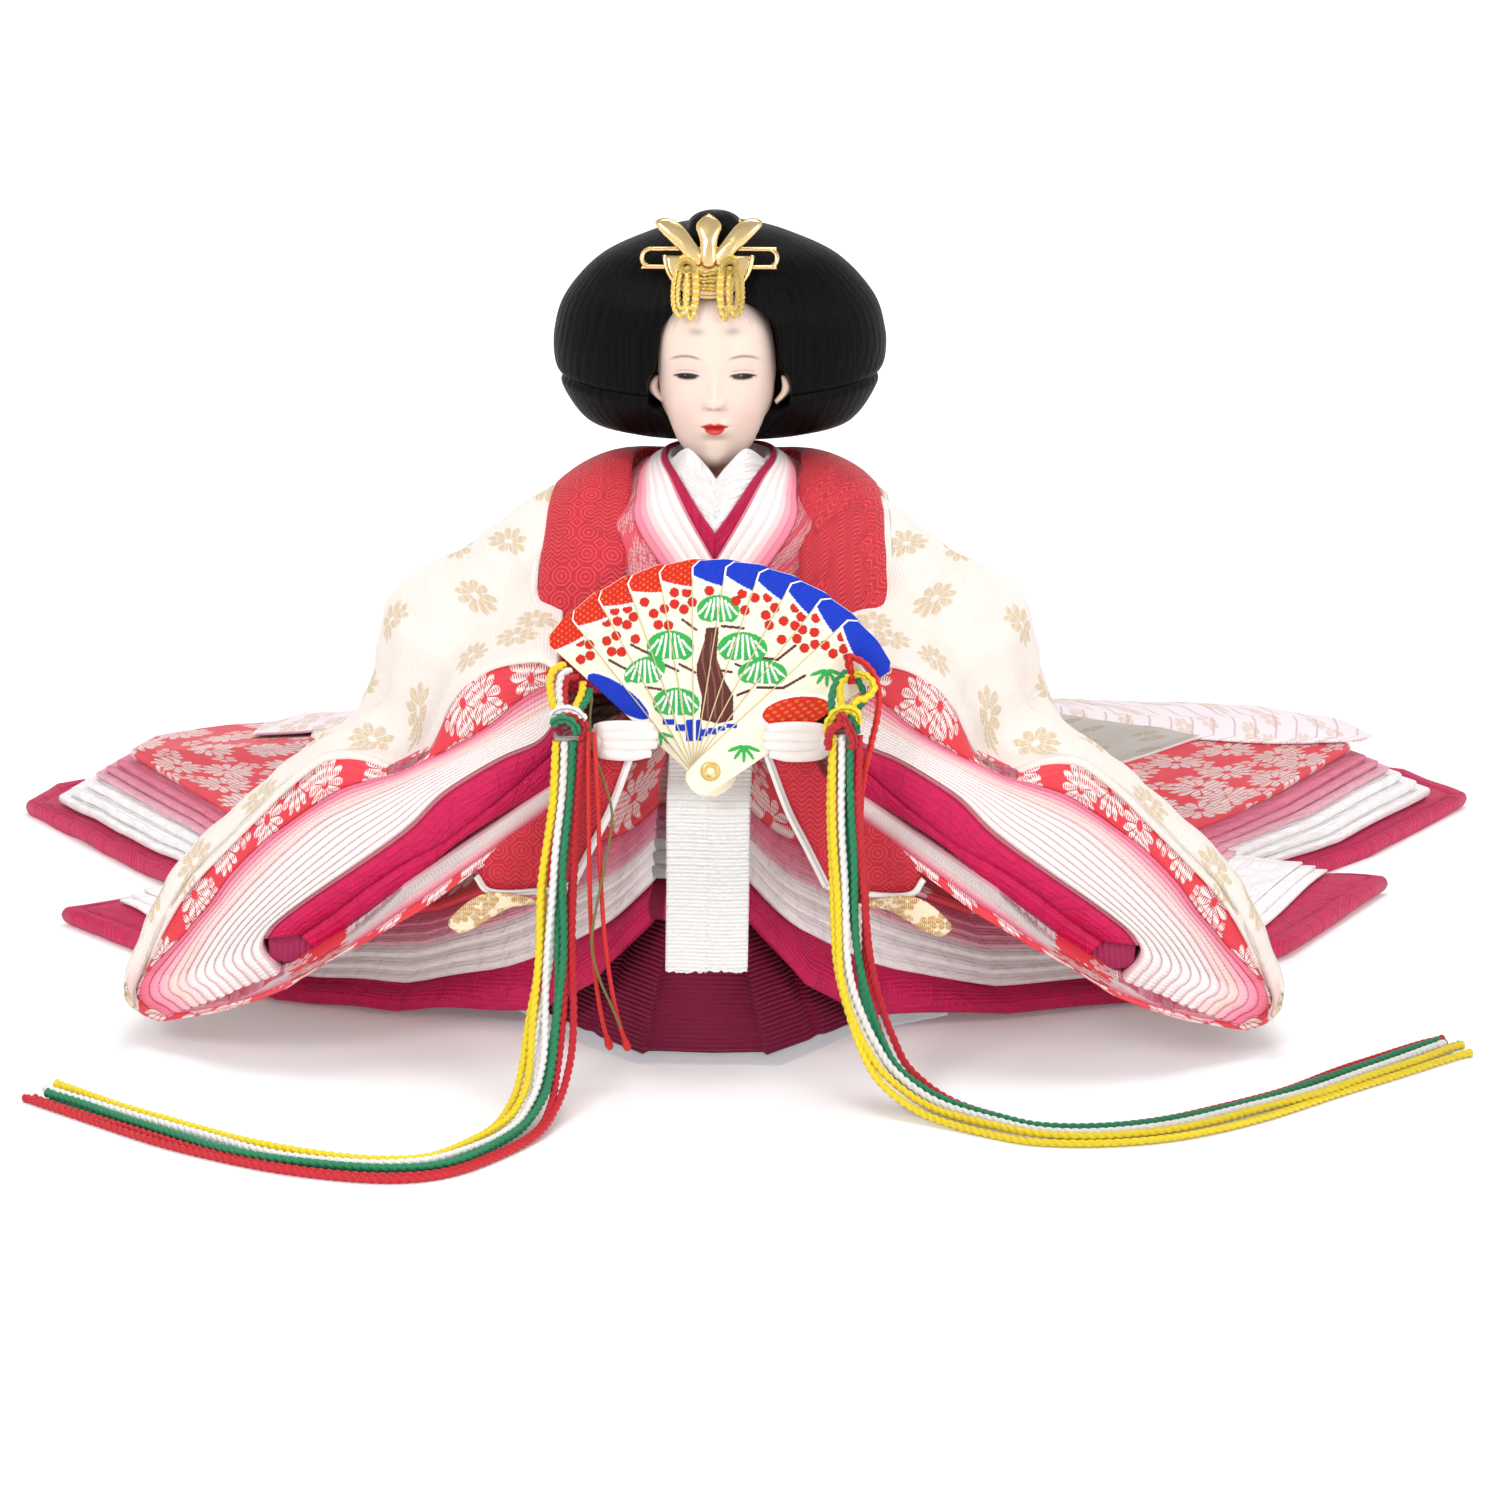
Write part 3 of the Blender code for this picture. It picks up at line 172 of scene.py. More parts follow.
def outward_mesh(name, verts, faces):
    """A mesh whose faces all look outwards."""
    mesh = bpy.data.meshes.new(name)
    mesh.from_pydata(np.asarray(verts, float).tolist(), [], faces)
    work = bmesh.new()
    work.from_mesh(mesh)
    bmesh.ops.recalc_face_normals(work, faces=work.faces)
    work.to_mesh(mesh)
    work.free()
    return mesh


def piece(name, verts, faces, mat, body, repl, uv, paint=None):
    """A smooth mesh piece that rides on a body."""
    mesh = outward_mesh(name, verts, faces)
    index = np.empty(len(mesh.loops), np.int32)
    mesh.loops.foreach_get("vertex_index", index)
    mesh.uv_layers.new(name="UVMap").data.foreach_set("uv", np.asarray(uv, np.float32)[index].ravel())
    if paint is not None:
        rgba = np.concatenate((np.asarray(paint, np.float32), np.ones((len(paint), 1), np.float32)), axis=1)
        mesh.color_attributes.new("Paint", "FLOAT_COLOR", "POINT").data.foreach_set("color", rgba.ravel())
    mesh.shade_smooth()
    mesh.materials.append(mat)
    obj = placed(name, mesh)
    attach(obj, body)
    if repl:
        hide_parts(*repl)
    return obj


def quads(rows, cols, start=0, closed_rows=False, closed_cols=False, flip=False):
    """Faces of a grid of vertices."""
    out = []
    for i in range(rows if closed_rows else rows - 1):
        for j in range(cols if closed_cols else cols - 1):
            a = start + i * cols + j
            b = start + i * cols + (j + 1) % cols
            c = start + ((i + 1) % rows) * cols + (j + 1) % cols
            d = start + ((i + 1) % rows) * cols + j
            out.append((a, d, c, b) if flip else (a, b, c, d))
    return out


def capped(rows, cols, start):
    """Faces of a row of rings, with both ends closed."""
    last = start + (rows - 1) * cols
    ends = [list(range(start, start + cols)), list(range(last + cols - 1, last - 1, -1))]
    return quads(rows, cols, start, closed_cols=True) + ends


def border(rows, cols):
    """The places round the edge of a grid, in order."""
    return ([(0, j) for j in range(cols)] + [(i, cols - 1) for i in range(1, rows)]
            + [(rows - 1, j) for j in range(cols - 2, -1, -1)] + [(i, 0) for i in range(rows - 2, 0, -1)])


def grid_uv(grid):
    """Arc lengths across and along a grid, in metres."""
    across = np.cumsum(np.linalg.norm(np.diff(grid, axis=1, prepend=grid[:, :1]), axis=2), axis=1)
    along = np.cumsum(np.linalg.norm(np.diff(grid, axis=0, prepend=grid[:1]), axis=2), axis=0)
    return np.stack((across, along), axis=2)


def slab(name, grid, thick, mat, repl=(), closed=False, edge=0.5, uv=None):
    """A closed sheet of some thickness with rounded edges. Its rows may close on themselves."""
    rows, cols = grid.shape[:2]
    count = rows * cols
    if closed:
        along = np.gradient(np.concatenate((grid[-1:], grid, grid[:1])), axis=0)[1:-1]
        loops = [[(i, j) for i in range(rows)] for j in (0, cols - 1)]
    else:
        along = np.gradient(grid, axis=0)
        loops = [border(rows, cols)]
    normal = unit(np.cross(along, np.gradient(grid, axis=1)))
    thick = np.broadcast_to(np.asarray(thick, float), (rows, cols))[..., None]
    if uv is None:
        uv = grid_uv(grid)
    verts = [(grid + normal * thick / 2).reshape(-1, 3), (grid - normal * thick / 2).reshape(-1, 3)]
    uvs = [uv.reshape(-1, 2), uv.reshape(-1, 2)]
    faces = quads(rows, cols, 0, closed) + quads(rows, cols, count, closed, flip=True)
    start = 2 * count
    for loop in loops:
        mids = []
        for i, j in loop:
            out = np.zeros(3)
            if not closed and i in (0, rows - 1):
                out += unit(grid[i, j] - grid[1 if i == 0 else rows - 2, j])
            if j in (0, cols - 1):
                out += unit(grid[i, j] - grid[i, 1 if j == 0 else cols - 2])
            mids.append(grid[i, j] + unit(out) * thick[i, j] * edge)
        verts.append(np.array(mids))
        uvs.append(np.array([uv[i, j] for i, j in loop]))
        n = len(loop)
        for k, (i, j) in enumerate(loop):
            after = (k + 1) % n
            a, b = i * cols + j, loop[after][0] * cols + loop[after][1]
            faces.append((a, b, start + after, start + k))
            faces.append((start + k, start + after, b + count, a + count))
        start += n
    return piece(name, np.concatenate(verts), faces, mat, "doll", repl, np.concatenate(uvs))


def joined(name, parts, mat, body="doll", repl=(), uv=None, paint=None):
    """Closed skins over rows of rings, as one piece."""
    faces, start = [], 0
    for loops in parts:
        rows, cols = loops.shape[:2]
        faces += capped(rows, cols, start)
        start += rows * cols
    if uv is None:
        uv = np.concatenate([grid_uv(loops).reshape(-1, 2) for loops in parts])
    verts = np.concatenate([loops.reshape(-1, 3) for loops in parts])
    return piece(name, verts, faces, mat, body, repl, uv.reshape(-1, 2), paint)


def rings(name, loops, mat, body="doll", repl=(), uv=None, paint=None):
    """A closed skin over one row of rings."""
    return joined(name, [np.asarray(loops, float)], mat, body, repl, uv, paint)


def frames(path):
    """Tangents and two steady normals along a path."""
    tangent = unit(np.gradient(path, axis=0))
    side = np.cross(tangent[0], (0.0, 0.0, 1.0))
    if np.linalg.norm(side) < 0.1:
        side = np.cross(tangent[0], (0.0, 1.0, 0.0))
    side = unit(side)
    sides = []
    for t in tangent:
        side = unit(side - t * (side @ t))
        sides.append(side)
    sides = np.array(sides)
    return tangent, sides, np.cross(tangent, sides)


def tube_rings(path, radius, count=10, ply=0, turn=0.0, depth=0.24, phase=0.0):
    """Rings of a round or plied cord along a path."""
    tangent, side, up = frames(path)
    gone = lengths(path)
    angle = np.linspace(0, math.tau, count, endpoint=False)
    radius = np.broadcast_to(np.asarray(radius, float), (len(path),))
    out = []
    for k, p in enumerate(path):
        r = radius[k]
        if ply:
            lobe = np.abs(np.cos(0.5 * ply * (angle - phase - turn * gone[k])))
            r = r * (1.0 - depth + depth * lobe**0.7)
        out.append(p + np.outer(r * np.cos(angle), side[k]) + np.outer(r * np.sin(angle), up[k]))
    return np.array(out)


def tube(name, path, radius, mat, body="doll", repl=(), slot=None, **shape):
    return rings(name, tube_rings(path, radius, **shape), mat, body, repl)


def cloth(obj, width, length):
    """Works out the area of a sheet in a cut of that width and length: half of its closed surface, kept between the
    least share of the cut and the whole cut. Nothing uses the result.
    """
    area = sum(face.area for face in obj.data.polygons) / 2
    area = min(max(area, LEAST_AREA_SHARE * width * length), width * length)


# ---------------------------------------------------------------- materials
def srgb(r, g, b):
    """A colour given in 0..255 as the linear values that a shader takes."""
    out = []
    for v in (r, g, b):
        v = v / 255.0
        out.append(v / 12.92 if v <= 0.04045 else ((v + 0.055) / 1.055) ** 2.4)
    return tuple(out)


class Mat:
    """A node material with short calls for the nodes that it needs."""

    def __init__(self, name, rough=0.6, sheen=0.0, metal=0.0, coat=0.0, spec=0.5):
        self.mat = bpy.data.materials.new(name)
        self.mat.use_nodes = True
        self.tree = self.mat.node_tree
        self.bsdf = self.tree.nodes["Principled BSDF"]
        for socket, value in (("Roughness", rough), ("Sheen Weight", sheen), ("Sheen Roughness", 0.5),
                              ("Metallic", metal), ("Coat Weight", coat), ("Specular IOR Level", spec)):
            self.give(socket, value)

    def put(self, socket, value):
        """A value or another node's output, put into a socket."""
        if hasattr(value, "is_linked"):
            self.tree.links.new(value, socket)
        elif isinstance(value, tuple) and len(value) == 3 and socket.type == "RGBA":
            socket.default_value = (*value, 1.0)
        else:
            socket.default_value = value

    def give(self, socket, value):
        """A value or another node's output, put into the shader."""
        self.put(self.bsdf.inputs[socket], value)

    def node(self, kind, out=0, **inputs):
        """A new node's output. Inputs are given by name, or by number as in i0."""
        settings = inputs.pop("set", {})
        n = self.tree.nodes.new(kind)
        for key, value in settings.items():
            setattr(n, key, value)
        for key, value in inputs.items():
            self.put(n.inputs[int(key[1:])] if key[0] == "i" and key[1:].isdigit() else n.inputs[key], value)
        return n.outputs[out]

    def math(self, op, a, b=0.0):
        return self.node("ShaderNodeMath", set={"operation": op}, i0=a, i1=b)

    def mul(self, a, b):
        return self.math("MULTIPLY", a, b)

    def add(self, a, b):
        return self.math("ADD", a, b)

    def uv(self):
        return self.node("ShaderNodeUVMap", set={"uv_map": "UVMap"})

    def place(self):
        return self.node("ShaderNodeTexCoord", out=3)

    def xyz(self, vector):
        n = self.tree.nodes.new("ShaderNodeSeparateXYZ")
        self.put(n.inputs[0], vector)
        return n.outputs

    def vector_math(self, op, a, b):
        return self.node("ShaderNodeVectorMath", set={"operation": op}, i0=a, i1=b)

    def noise(self, vector, size, detail=2.0, rough=0.5):
        return self.node("ShaderNodeTexNoise", Vector=vector, Scale=1.0 / size, Detail=detail, Roughness=rough)

    def stretched_noise(self, vector, by, size, detail=2.0, rough=0.5):
        """Noise drawn out along the axes where the factor is small."""
        return self.noise(self.vector_math("MULTIPLY", vector, by), size, detail, rough)

    def cells(self, vector, jitter, size=1.0, feature="F1"):
        """The outputs of a flat pattern of cells."""
        n = self.tree.nodes.new("ShaderNodeTexVoronoi")
        n.voronoi_dimensions = "2D"
        n.feature = feature
        self.put(n.inputs["Vector"], vector)
        self.put(n.inputs["Scale"], 1.0 / size)
        self.put(n.inputs["Randomness"], jitter)
        return n.outputs

    def mix(self, share, a, b):
        return self.node("ShaderNodeMix", 2, set={"data_type": "RGBA"}, i0=share, i6=a, i7=b)

    def ramp(self, value, lo, hi, a=0.0, b=1.0):
        return self.node("ShaderNodeMapRange", Value=value, i1=lo, i2=hi, i3=a, i4=b)

    def wave(self, coord, pitch):
        """A sine of that pitch, from -1 to 1."""
        return self.math("SINE", self.mul(coord, math.tau / pitch))

    def bump(self, height, distance):
        self.give("Normal", self.node("ShaderNodeBump", Height=height, Distance=distance, Strength=1.0))

    def colour(self, value):
        self.give("Base Color", value)
        return self.mat

    def flower(self, vector, cell, petals, reach, jitter=0.6):
        """The mask of scattered round flowers, with lines between their petals."""
        p = self.node("ShaderNodeVectorMath", set={"operation": "SCALE"}, i0=vector, Scale=1.0 / cell)
        near = self.cells(p, jitter)
        x, y, _ = self.xyz(self.vector_math("SUBTRACT", p, near["Position"]))
        petal = self.math("ABSOLUTE", self.math("COSINE", self.mul(self.math("ARCTAN2", y, x), petals / 2)))
        far = near["Distance"]
        edge = self.mul(self.add(self.mul(petal, 0.35), 0.65), reach)
        inside = self.ramp(self.math("SUBTRACT", edge, far), -0.01, 0.02)
        line = self.ramp(petal, 0.16, 0.34)
        heart = self.ramp(far, reach * 0.16, reach * 0.22)
        return self.mul(inside, self.mul(line, heart))


def shaded(rgb, share):
    """A darker tone of a colour."""
    return tuple(c * share for c in rgb)


def silk(name, rgb, pitch=0.0010, axis=1, depth=0.00010, vary=0.12, rough=0.62, sheen=0.25, emboss=0.0,
         cell=0.004):
    """Ribbed silk, with an embossed figure if asked."""
    m = Mat(name, rough, sheen * 0.12, spec=0.32)
    uv = m.uv()
    height = m.add(m.mul(m.wave(m.xyz(uv)[axis], pitch), 0.5), m.mul(m.noise(uv, 0.0005), 0.6))
    tone = m.mul(m.noise(uv, 0.012, 3.0), vary)
    if emboss:
        far = m.cells(uv, 0.75, cell, "DISTANCE_TO_EDGE")["Distance"]
        ridge = m.ramp(far, 0.02, 0.14)
        height = m.add(height, m.mul(m.add(ridge, m.mul(m.wave(far, 0.11), 0.25)), 1.4))
        # The figure's lines are darker, and they lie in the bump's grooves: partly the woven figure, partly painted
        # shade.
        tone = m.add(tone, m.mul(m.math("SUBTRACT", 1.0, ridge), emboss))
    m.bump(height, depth)
    return m.colour(m.mix(m.math("MINIMUM", tone, 1.0), rgb, shaded(rgb, 0.55)))


def brocade(name, ground, thread, cell, petals, dashes, depth, amount, rough=0.5, second=None, reach=0.42,
            pitch=0.0011, leaves=0.8):
    """Figured silk: scattered flowers woven in dashes over a ribbed ground."""
    m = Mat(name, rough, 0.03, spec=0.3)
    uv = m.uv()
    x, y, _ = m.xyz(uv)
    dash = m.ramp(m.add(m.wave(x, dashes * 0.5), m.mul(m.wave(y, dashes * 1.3), 0.6)), -1.1, -0.3)
    leaf = m.flower(m.vector_math("ADD", uv, (0.31, 0.17, 0.0)), cell * 0.62, 5, reach * 0.8, 0.9)
    figure = m.math("MAXIMUM", m.flower(uv, cell, petals, reach), m.mul(leaf, leaves))
    shown = m.mul(m.mul(figure, dash), amount)
    m.bump(m.add(m.mul(m.wave(y, pitch), 0.35), m.add(m.mul(m.noise(uv, 0.0006), 0.7), m.mul(shown, 1.2))), depth)
    base = m.mix(m.ramp(m.noise(uv, 0.010, 3.0), 0.3, 0.7, 0.0, 0.22), ground, second or shaded(ground, 0.6))
    return m.colour(m.mix(shown, base, thread))


def tortoise(name, ground, line, cell, depth):
    """Tone-on-tone silk with nested octagons and fine waves."""
    m = Mat(name, 0.55, 0.03, spec=0.35)
    uv = m.uv()
    x, y, _ = m.xyz(uv)
    ax, ay = (m.math("ABSOLUTE", m.math("SUBTRACT", m.math("FRACT", m.mul(at, 1 / cell)), 0.5)) for at in (x, y))
    far = m.math("MAXIMUM", m.math("MAXIMUM", ax, ay), m.mul(m.add(ax, ay), 0.707))
    ring = m.ramp(m.wave(far, 0.165), -0.3, 0.5)
    wave = m.ramp(m.wave(m.add(y, m.mul(m.wave(x, 0.004), 0.0007)), 0.0013), -0.5, 0.6)
    patch = m.ramp(m.noise(uv, 0.016, 1.0), 0.47, 0.53)
    figure = m.node("ShaderNodeMix", i0=patch, i2=ring, i3=wave)
    grain = m.noise(uv, 0.0006)
    m.bump(m.add(m.mul(figure, 1.2), m.mul(grain, 0.6)), depth)
    return m.colour(m.mix(m.mul(m.add(figure, m.mul(grain, 0.4)), 0.72), line, ground))


def painted(name, rough, grain, coat=0.0, depth=0.00004):
    """A surface painted through the mesh's own colours, with some grain showing."""
    m = Mat(name, rough, coat=coat, spec=0.22)
    paint = m.node("ShaderNodeVertexColor", set={"layer_name": "Paint"})
    fibre = m.stretched_noise(m.uv(), (6.0, 1.0, 1.0), 0.004, 3.0)
    m.bump(fibre, depth)
    return m.colour(m.mix(m.mul(m.ramp(fibre, 0.35, 0.75), grain), paint, (0.25, 0.17, 0.10)))


def twisted(name, rgb, rough=0.5, sheen=0.05, metal=0.0, speck=0.0):
    """Plied thread: fine slanting fibres on a tube, with light specks if asked."""
    m = Mat(name, rough, sheen, metal)
    uv = m.uv()
    x, y, _ = m.xyz(uv)
    fibre = m.wave(m.add(y, m.mul(x, 1.4)), 0.0007)
    grain = m.noise(uv, 0.0006)
    m.bump(m.add(fibre, grain), 0.00006)
    base = m.mix(m.ramp(m.add(m.mul(fibre, 0.2), grain), 0.3, 0.9, 0.0, 0.22), rgb, shaded(rgb, 0.45))
    if speck:
        bead = m.ramp(m.wave(m.add(y, m.mul(x, 0.5)), 0.0021), 0.2, 0.9, 0.0, speck)
        base = m.mix(bead, base, (0.98, 0.93, 0.78))
    return m.colour(base)


def gilt(name, rgb, rough):
    """Gilt metal with slight wear."""
    m = Mat(name, rough, metal=1.0)
    wear = m.noise(m.place(), 0.003, 3.0)
    m.bump(wear, 0.00006)
    m.give("Roughness", m.ramp(wear, 0.3, 0.7, rough * 0.7, rough * 1.5))
    return m.colour(m.mix(m.ramp(wear, 0.35, 0.75, 0.0, 0.3), rgb, shaded(rgb, 0.5)))


MAGENTA = srgb(202, 10, 82)
CORAL = srgb(228, 74, 86)

MATS = {
    "yellow": twisted("cord-yellow", srgb(253, 224, 28)),
    "white": twisted("cord-white", srgb(250, 249, 246)),
    "green": twisted("cord-green", srgb(20, 135, 88)),
    "red": twisted("cord-red", srgb(205, 14, 36)),
    "thread": twisted("thread-red", srgb(226, 30, 24)),
    "olive": twisted("thread-olive", srgb(120, 118, 60)),
    "gold_cord": twisted("cord-gold", (0.94, 0.62, 0.06), 0.30, 0.0, 0.25, 0.6),
    "gilt": gilt("gilt", (0.95, 0.70, 0.34), 0.16),
    "rivet": gilt("rivet-gilt", (0.80, 0.56, 0.20), 0.3),
}

# ---------------------------------------------------------------- cords
LEFT_CORD_ROUTE = (
    (-0.0314, -0.0930, 0.0839), (-0.0322, -0.0950, 0.0695), (-0.0336, -0.0985, 0.0553),
    (-0.0347, -0.1020, 0.0413), (-0.0354, -0.1070, 0.0302), (-0.0364, -0.1130, 0.0194),
    (-0.0373, -0.1210, 0.0107), (-0.0388, -0.1315, 0.0050), (-0.0430, -0.1440, 0.0020),
    (-0.0551, -0.1620, 0.0016), (-0.0663, -0.1675, 0.0016), (-0.0828, -0.1660, 0.0016),
    (-0.1026, -0.1580, 0.0016), (-0.1290, -0.1391, 0.0016), (-0.1483, -0.1239, 0.0016),
    (-0.1590, -0.1154, 0.0016),
)
RIGHT_CORD_ROUTE = (
    (0.0357, -0.1008, 0.0879), (0.0355, -0.1040, 0.0726), (0.0359, -0.1070, 0.0585),
    (0.0367, -0.1095, 0.0442), (0.0377, -0.1115, 0.0322), (0.0397, -0.1135, 0.0228),
    (0.0429, -0.1160, 0.0147), (0.0478, -0.1200, 0.0083), (0.0582, -0.1265, 0.0030),
    (0.0728, -0.1360, 0.0016), (0.0844, -0.1415, 0.0016), (0.1010, -0.1405, 0.0016),
    (0.1205, -0.1320, 0.0016), (0.1459, -0.1125, 0.0016), (0.1674, -0.0919, 0.0016),
    (0.1840, -0.0765, 0.0016), (0.1900, -0.0721, 0.0016),
)
RED_THREAD_ROUTE = (
    (-0.0259, -0.0940, 0.0865), (-0.0259, -0.0965, 0.0800), (-0.0257, -0.0995, 0.0700), (-0.0255, -0.1025, 0.0550),
    (-0.0250, -0.1050, 0.0400), (-0.0240, -0.1065, 0.0280), (-0.0225, -0.1070, 0.0180), (-0.0205, -0.1070, 0.0100),
)
CORD_COLOURS = ("yellow", "white", "green", "red")
CORD_D = 0.0020
ROUTE_POINTS, CORD_POINTS = 480, 760
PLIED = {"count": 14, "ply": 2, "turn": math.tau / 0.0042, "depth": 0.42}
# Metres between strands, and how far they stand off their route, where they hang and where they lie.
HANG_PITCH, HANG_RISE = 0.0021, 0.00105
LIE_PITCH, LIE_RISE, LIE_SINK = 0.0030, 0.0006, -0.00075
LAST_ASIDE = 0.0006
LYING_FROM = 7.0


def eased(share):
    """A share from 0 to 1 that starts and ends softly."""
    return share * share * (3 - 2 * share)


def strand_path(route, place, upper):
    """One strand of a bundle: two rows of four where it hangs, two layers where it lies."""
    p = np.asarray(route, float)
    last = upper and place == 3
    hang = (place - 1.5) * HANG_PITCH
    lie = (place - (1.0 if upper else 1.5)) * LIE_PITCH + (LAST_ASIDE if last else 0.0)
    hang_rise = -HANG_RISE if upper else HANG_RISE
    lie_rise = LIE_SINK if upper and not last else LIE_RISE
    out = []
    for k in range(len(p)):
        run = unit(p[min(k + 1, len(p) - 1)] - p[max(k - 1, 0)])
        lying = eased(min(1.0, k / LYING_FROM))
        level = unit(np.array((-run[1], run[0], 0.0)))
        aside = unit(np.array((1.0, 0.0, 0.0)) * (1 - lying) + level * lying)
        front = unit(np.cross(aside, run))
        out.append(p[k] + aside * (hang * (1 - lying) + lie * lying)
                   + front * (hang_rise * (1 - lying) + lie_rise * lying))
    return smooth_even(out, ROUTE_POINTS)


def meander(upper):
    """A small loose drift of one strand, nil at the knot."""
    s = np.linspace(0, 1, ROUTE_POINTS)
    a, b, c = RANDOM.uniform(0, math.tau, 3)
    out = spots(0.0006 * np.sin(s * 17 + a) + 0.0003 * np.sin(s * 41 + b),
                0.0004 * np.sin(s * 21 + c) - (0.0 if upper else 0.0003), 0.0)
    return out * np.clip(s / 0.15, 0, 1)[:, None]


def make_cords(word, route, knot):
    """Eight plied strands of one side, two to a CAD solid, with frayed ends."""
    for place, colour in enumerate(CORD_COLOURS):
        for upper in (False, True):
            path = strand_path(route, place, upper) + meander(upper)
            shorter = int(RANDOM.integers(0, 10))
            path = even(path[: len(path) - shorter], CORD_POINTS)
            radius = np.full(len(path), CORD_D / 2)
            radius[-10:] = CORD_D / 2 * np.linspace(1.0, 1.3, 10)
            radius[-3:] = CORD_D / 2 * np.array((1.25, 1.1, 0.7))
            obj = tube(f"cord-{word}-{colour}-{'b' if upper else 'a'}", path, radius, MATS[colour], "fan",
                       [f"cord_{word}_{colour}"], colour + "_cord", phase=place, **PLIED)
            round(float(lengths(path)[-1]), 4)


KNOTS = (
    # side, colour, radius, depth at the two ends, line in the picture
    ("left", "yellow", 0.0010, -0.0810, -0.0925, ((564, 664), (553, 671), (550, 684), (552, 700), (557, 713))),
    ("left", "white", 0.0010, -0.0812, -0.0925, ((570, 670), (562, 675), (559, 688), (560, 702), (563, 714))),
    ("left", "red", 0.0009, -0.0815, -0.0920, ((577, 677), (567, 679), (565, 690), (565, 703), (568, 714))),
    ("left", "yellow", 0.0010, -0.0825, -0.0925, ((583, 683), (582, 692), (578, 702), (572, 714))),
    ("left", "green", 0.0010, -0.0835, -0.0925, ((590, 690), (588, 698), (582, 707), (577, 716))),
    ("left", "white", 0.0011, -0.0945, -0.0945, ((551, 718), (557, 711), (567, 709), (577, 712), (585, 720))),
    ("left", "green", 0.0012, -0.0960, -0.0960, ((552, 725), (558, 720), (568, 720), (575, 726), (577, 734))),
    ("left", "red", 0.0011, -0.0950, -0.0940, ((566, 716), (577, 717), (585, 726), (582, 739))),
    ("right", "thread", 0.0011, -0.0895, -0.0905, ((847, 654), (849, 664), (851, 675), (852, 684))),
    ("right", "green", 0.0010, -0.0900, -0.0990, ((846, 672), (837, 682), (832, 696), (832, 712))),
    ("right", "yellow", 0.0010, -0.0900, -0.0995, ((848, 675), (841, 683), (840, 694), (843, 710))),
    ("right", "green", 0.0009, -0.0900, -0.0940, ((857, 679), (862, 688), (865, 698), (859, 708))),
    ("right", "yellow", 0.0010, -0.0905, -0.0990, ((856, 673), (868, 677), (874, 688), (866, 698), (856, 701),
                                                    (852, 711))),
    ("right", "thread", 0.0009, -0.0890, -0.1000, ((849, 656), (864, 663), (875, 677), (879, 695), (877, 718), (872, 740),
                                                    (866, 766))),
    ("right", "yellow", 0.0012, -0.1025, -0.1025, ((827, 734), (829, 722), (836, 712), (846, 709), (856, 713),
                                                    (858, 724))),
    ("right", "red", 0.0012, -0.1045, -0.1030, ((838, 715), (844, 719), (849, 728), (853, 738), (853, 748))),
    ("right", "green", 0.0010, -0.1035, -0.1020, ((848, 717), (855, 723), (857, 733))),
    ("right", "red", 0.0011, -0.1045, -0.1030, ((843, 722), (832, 729), (828, 739), (829, 749))),
)


def make_knot(word):
    """The loops at one of the fan's guards and the turns that hold the cords below them."""
    shown = []
    for side, colour, radius, start, end, line in KNOTS:
        if side == word:
            path = smooth_even(seen_line(line, (start, end)), 90)
            shown.append(tube(f"knot-{word}-{len(shown) + 1}", path, radius, MATS[colour], "fan",
                              () if shown else [f"knot_{word}"], "green_cord", **PLIED))
    return shown


OLIVE_LINE = ((592, 697), (590, 722), (594, 752), (607, 790), (612, 820), (604, 870), (594, 920), (592, 950),
              (600, 980), (611, 1005), (621, 1028))
OLIVE_DEPTHS = (-0.0860, -0.0960, -0.1040, -0.1075, -0.1095)
RIGHT_THREAD_LINE = ((868, 752), (862, 790), (860, 830), (858, 870), (861, 903))


def free_thread(name, path, radius, colour, nodes=(), tassel=0.0):
    """A thin thread that hangs free, with a frayed end if asked."""
    width = np.full(len(path), radius)
    width[-8:] = radius * (1 + tassel * np.array((0.1, 0.3, 0.5, 0.7, 0.8, 0.8, 0.6, 0.0)))
    obj = tube(name, path, width, MATS[colour], "fan", nodes, "red_cord", count=8, ply=3, turn=math.tau / 0.004)
    round(float(lengths(path)[-1]), 4)


def make_threads():
    """The pair of red threads, the olive one beside it, and the red one at the other guard."""
    base = np.asarray(RED_THREAD_ROUTE)
    beside = base + np.linspace(0, 1, len(base))[:, None] * (0.0030, -0.0004, 0.0) + (0.0007, -0.0003, 0)
    free_thread("thread-left-a", smooth_even(base + (-0.0007, 0, 0), 160), 0.0006, "thread", ["red_thread"], 1.0)
    free_thread("thread-left-b", smooth_even(beside, 160), 0.0006, "thread", (), 1.0)
    free_thread("thread-olive", smooth_even(seen_line(OLIVE_LINE, OLIVE_DEPTHS), 160), 0.00035, "olive")
    free_thread("thread-right", smooth_even(seen_line(RIGHT_THREAD_LINE, (-0.1000, -0.1060)), 120), 0.0008, "thread")


for side_word, side_route in (("left", LEFT_CORD_ROUTE), ("right", RIGHT_CORD_ROUTE)):
    make_cords(side_word, side_route, make_knot(side_word))
make_threads()

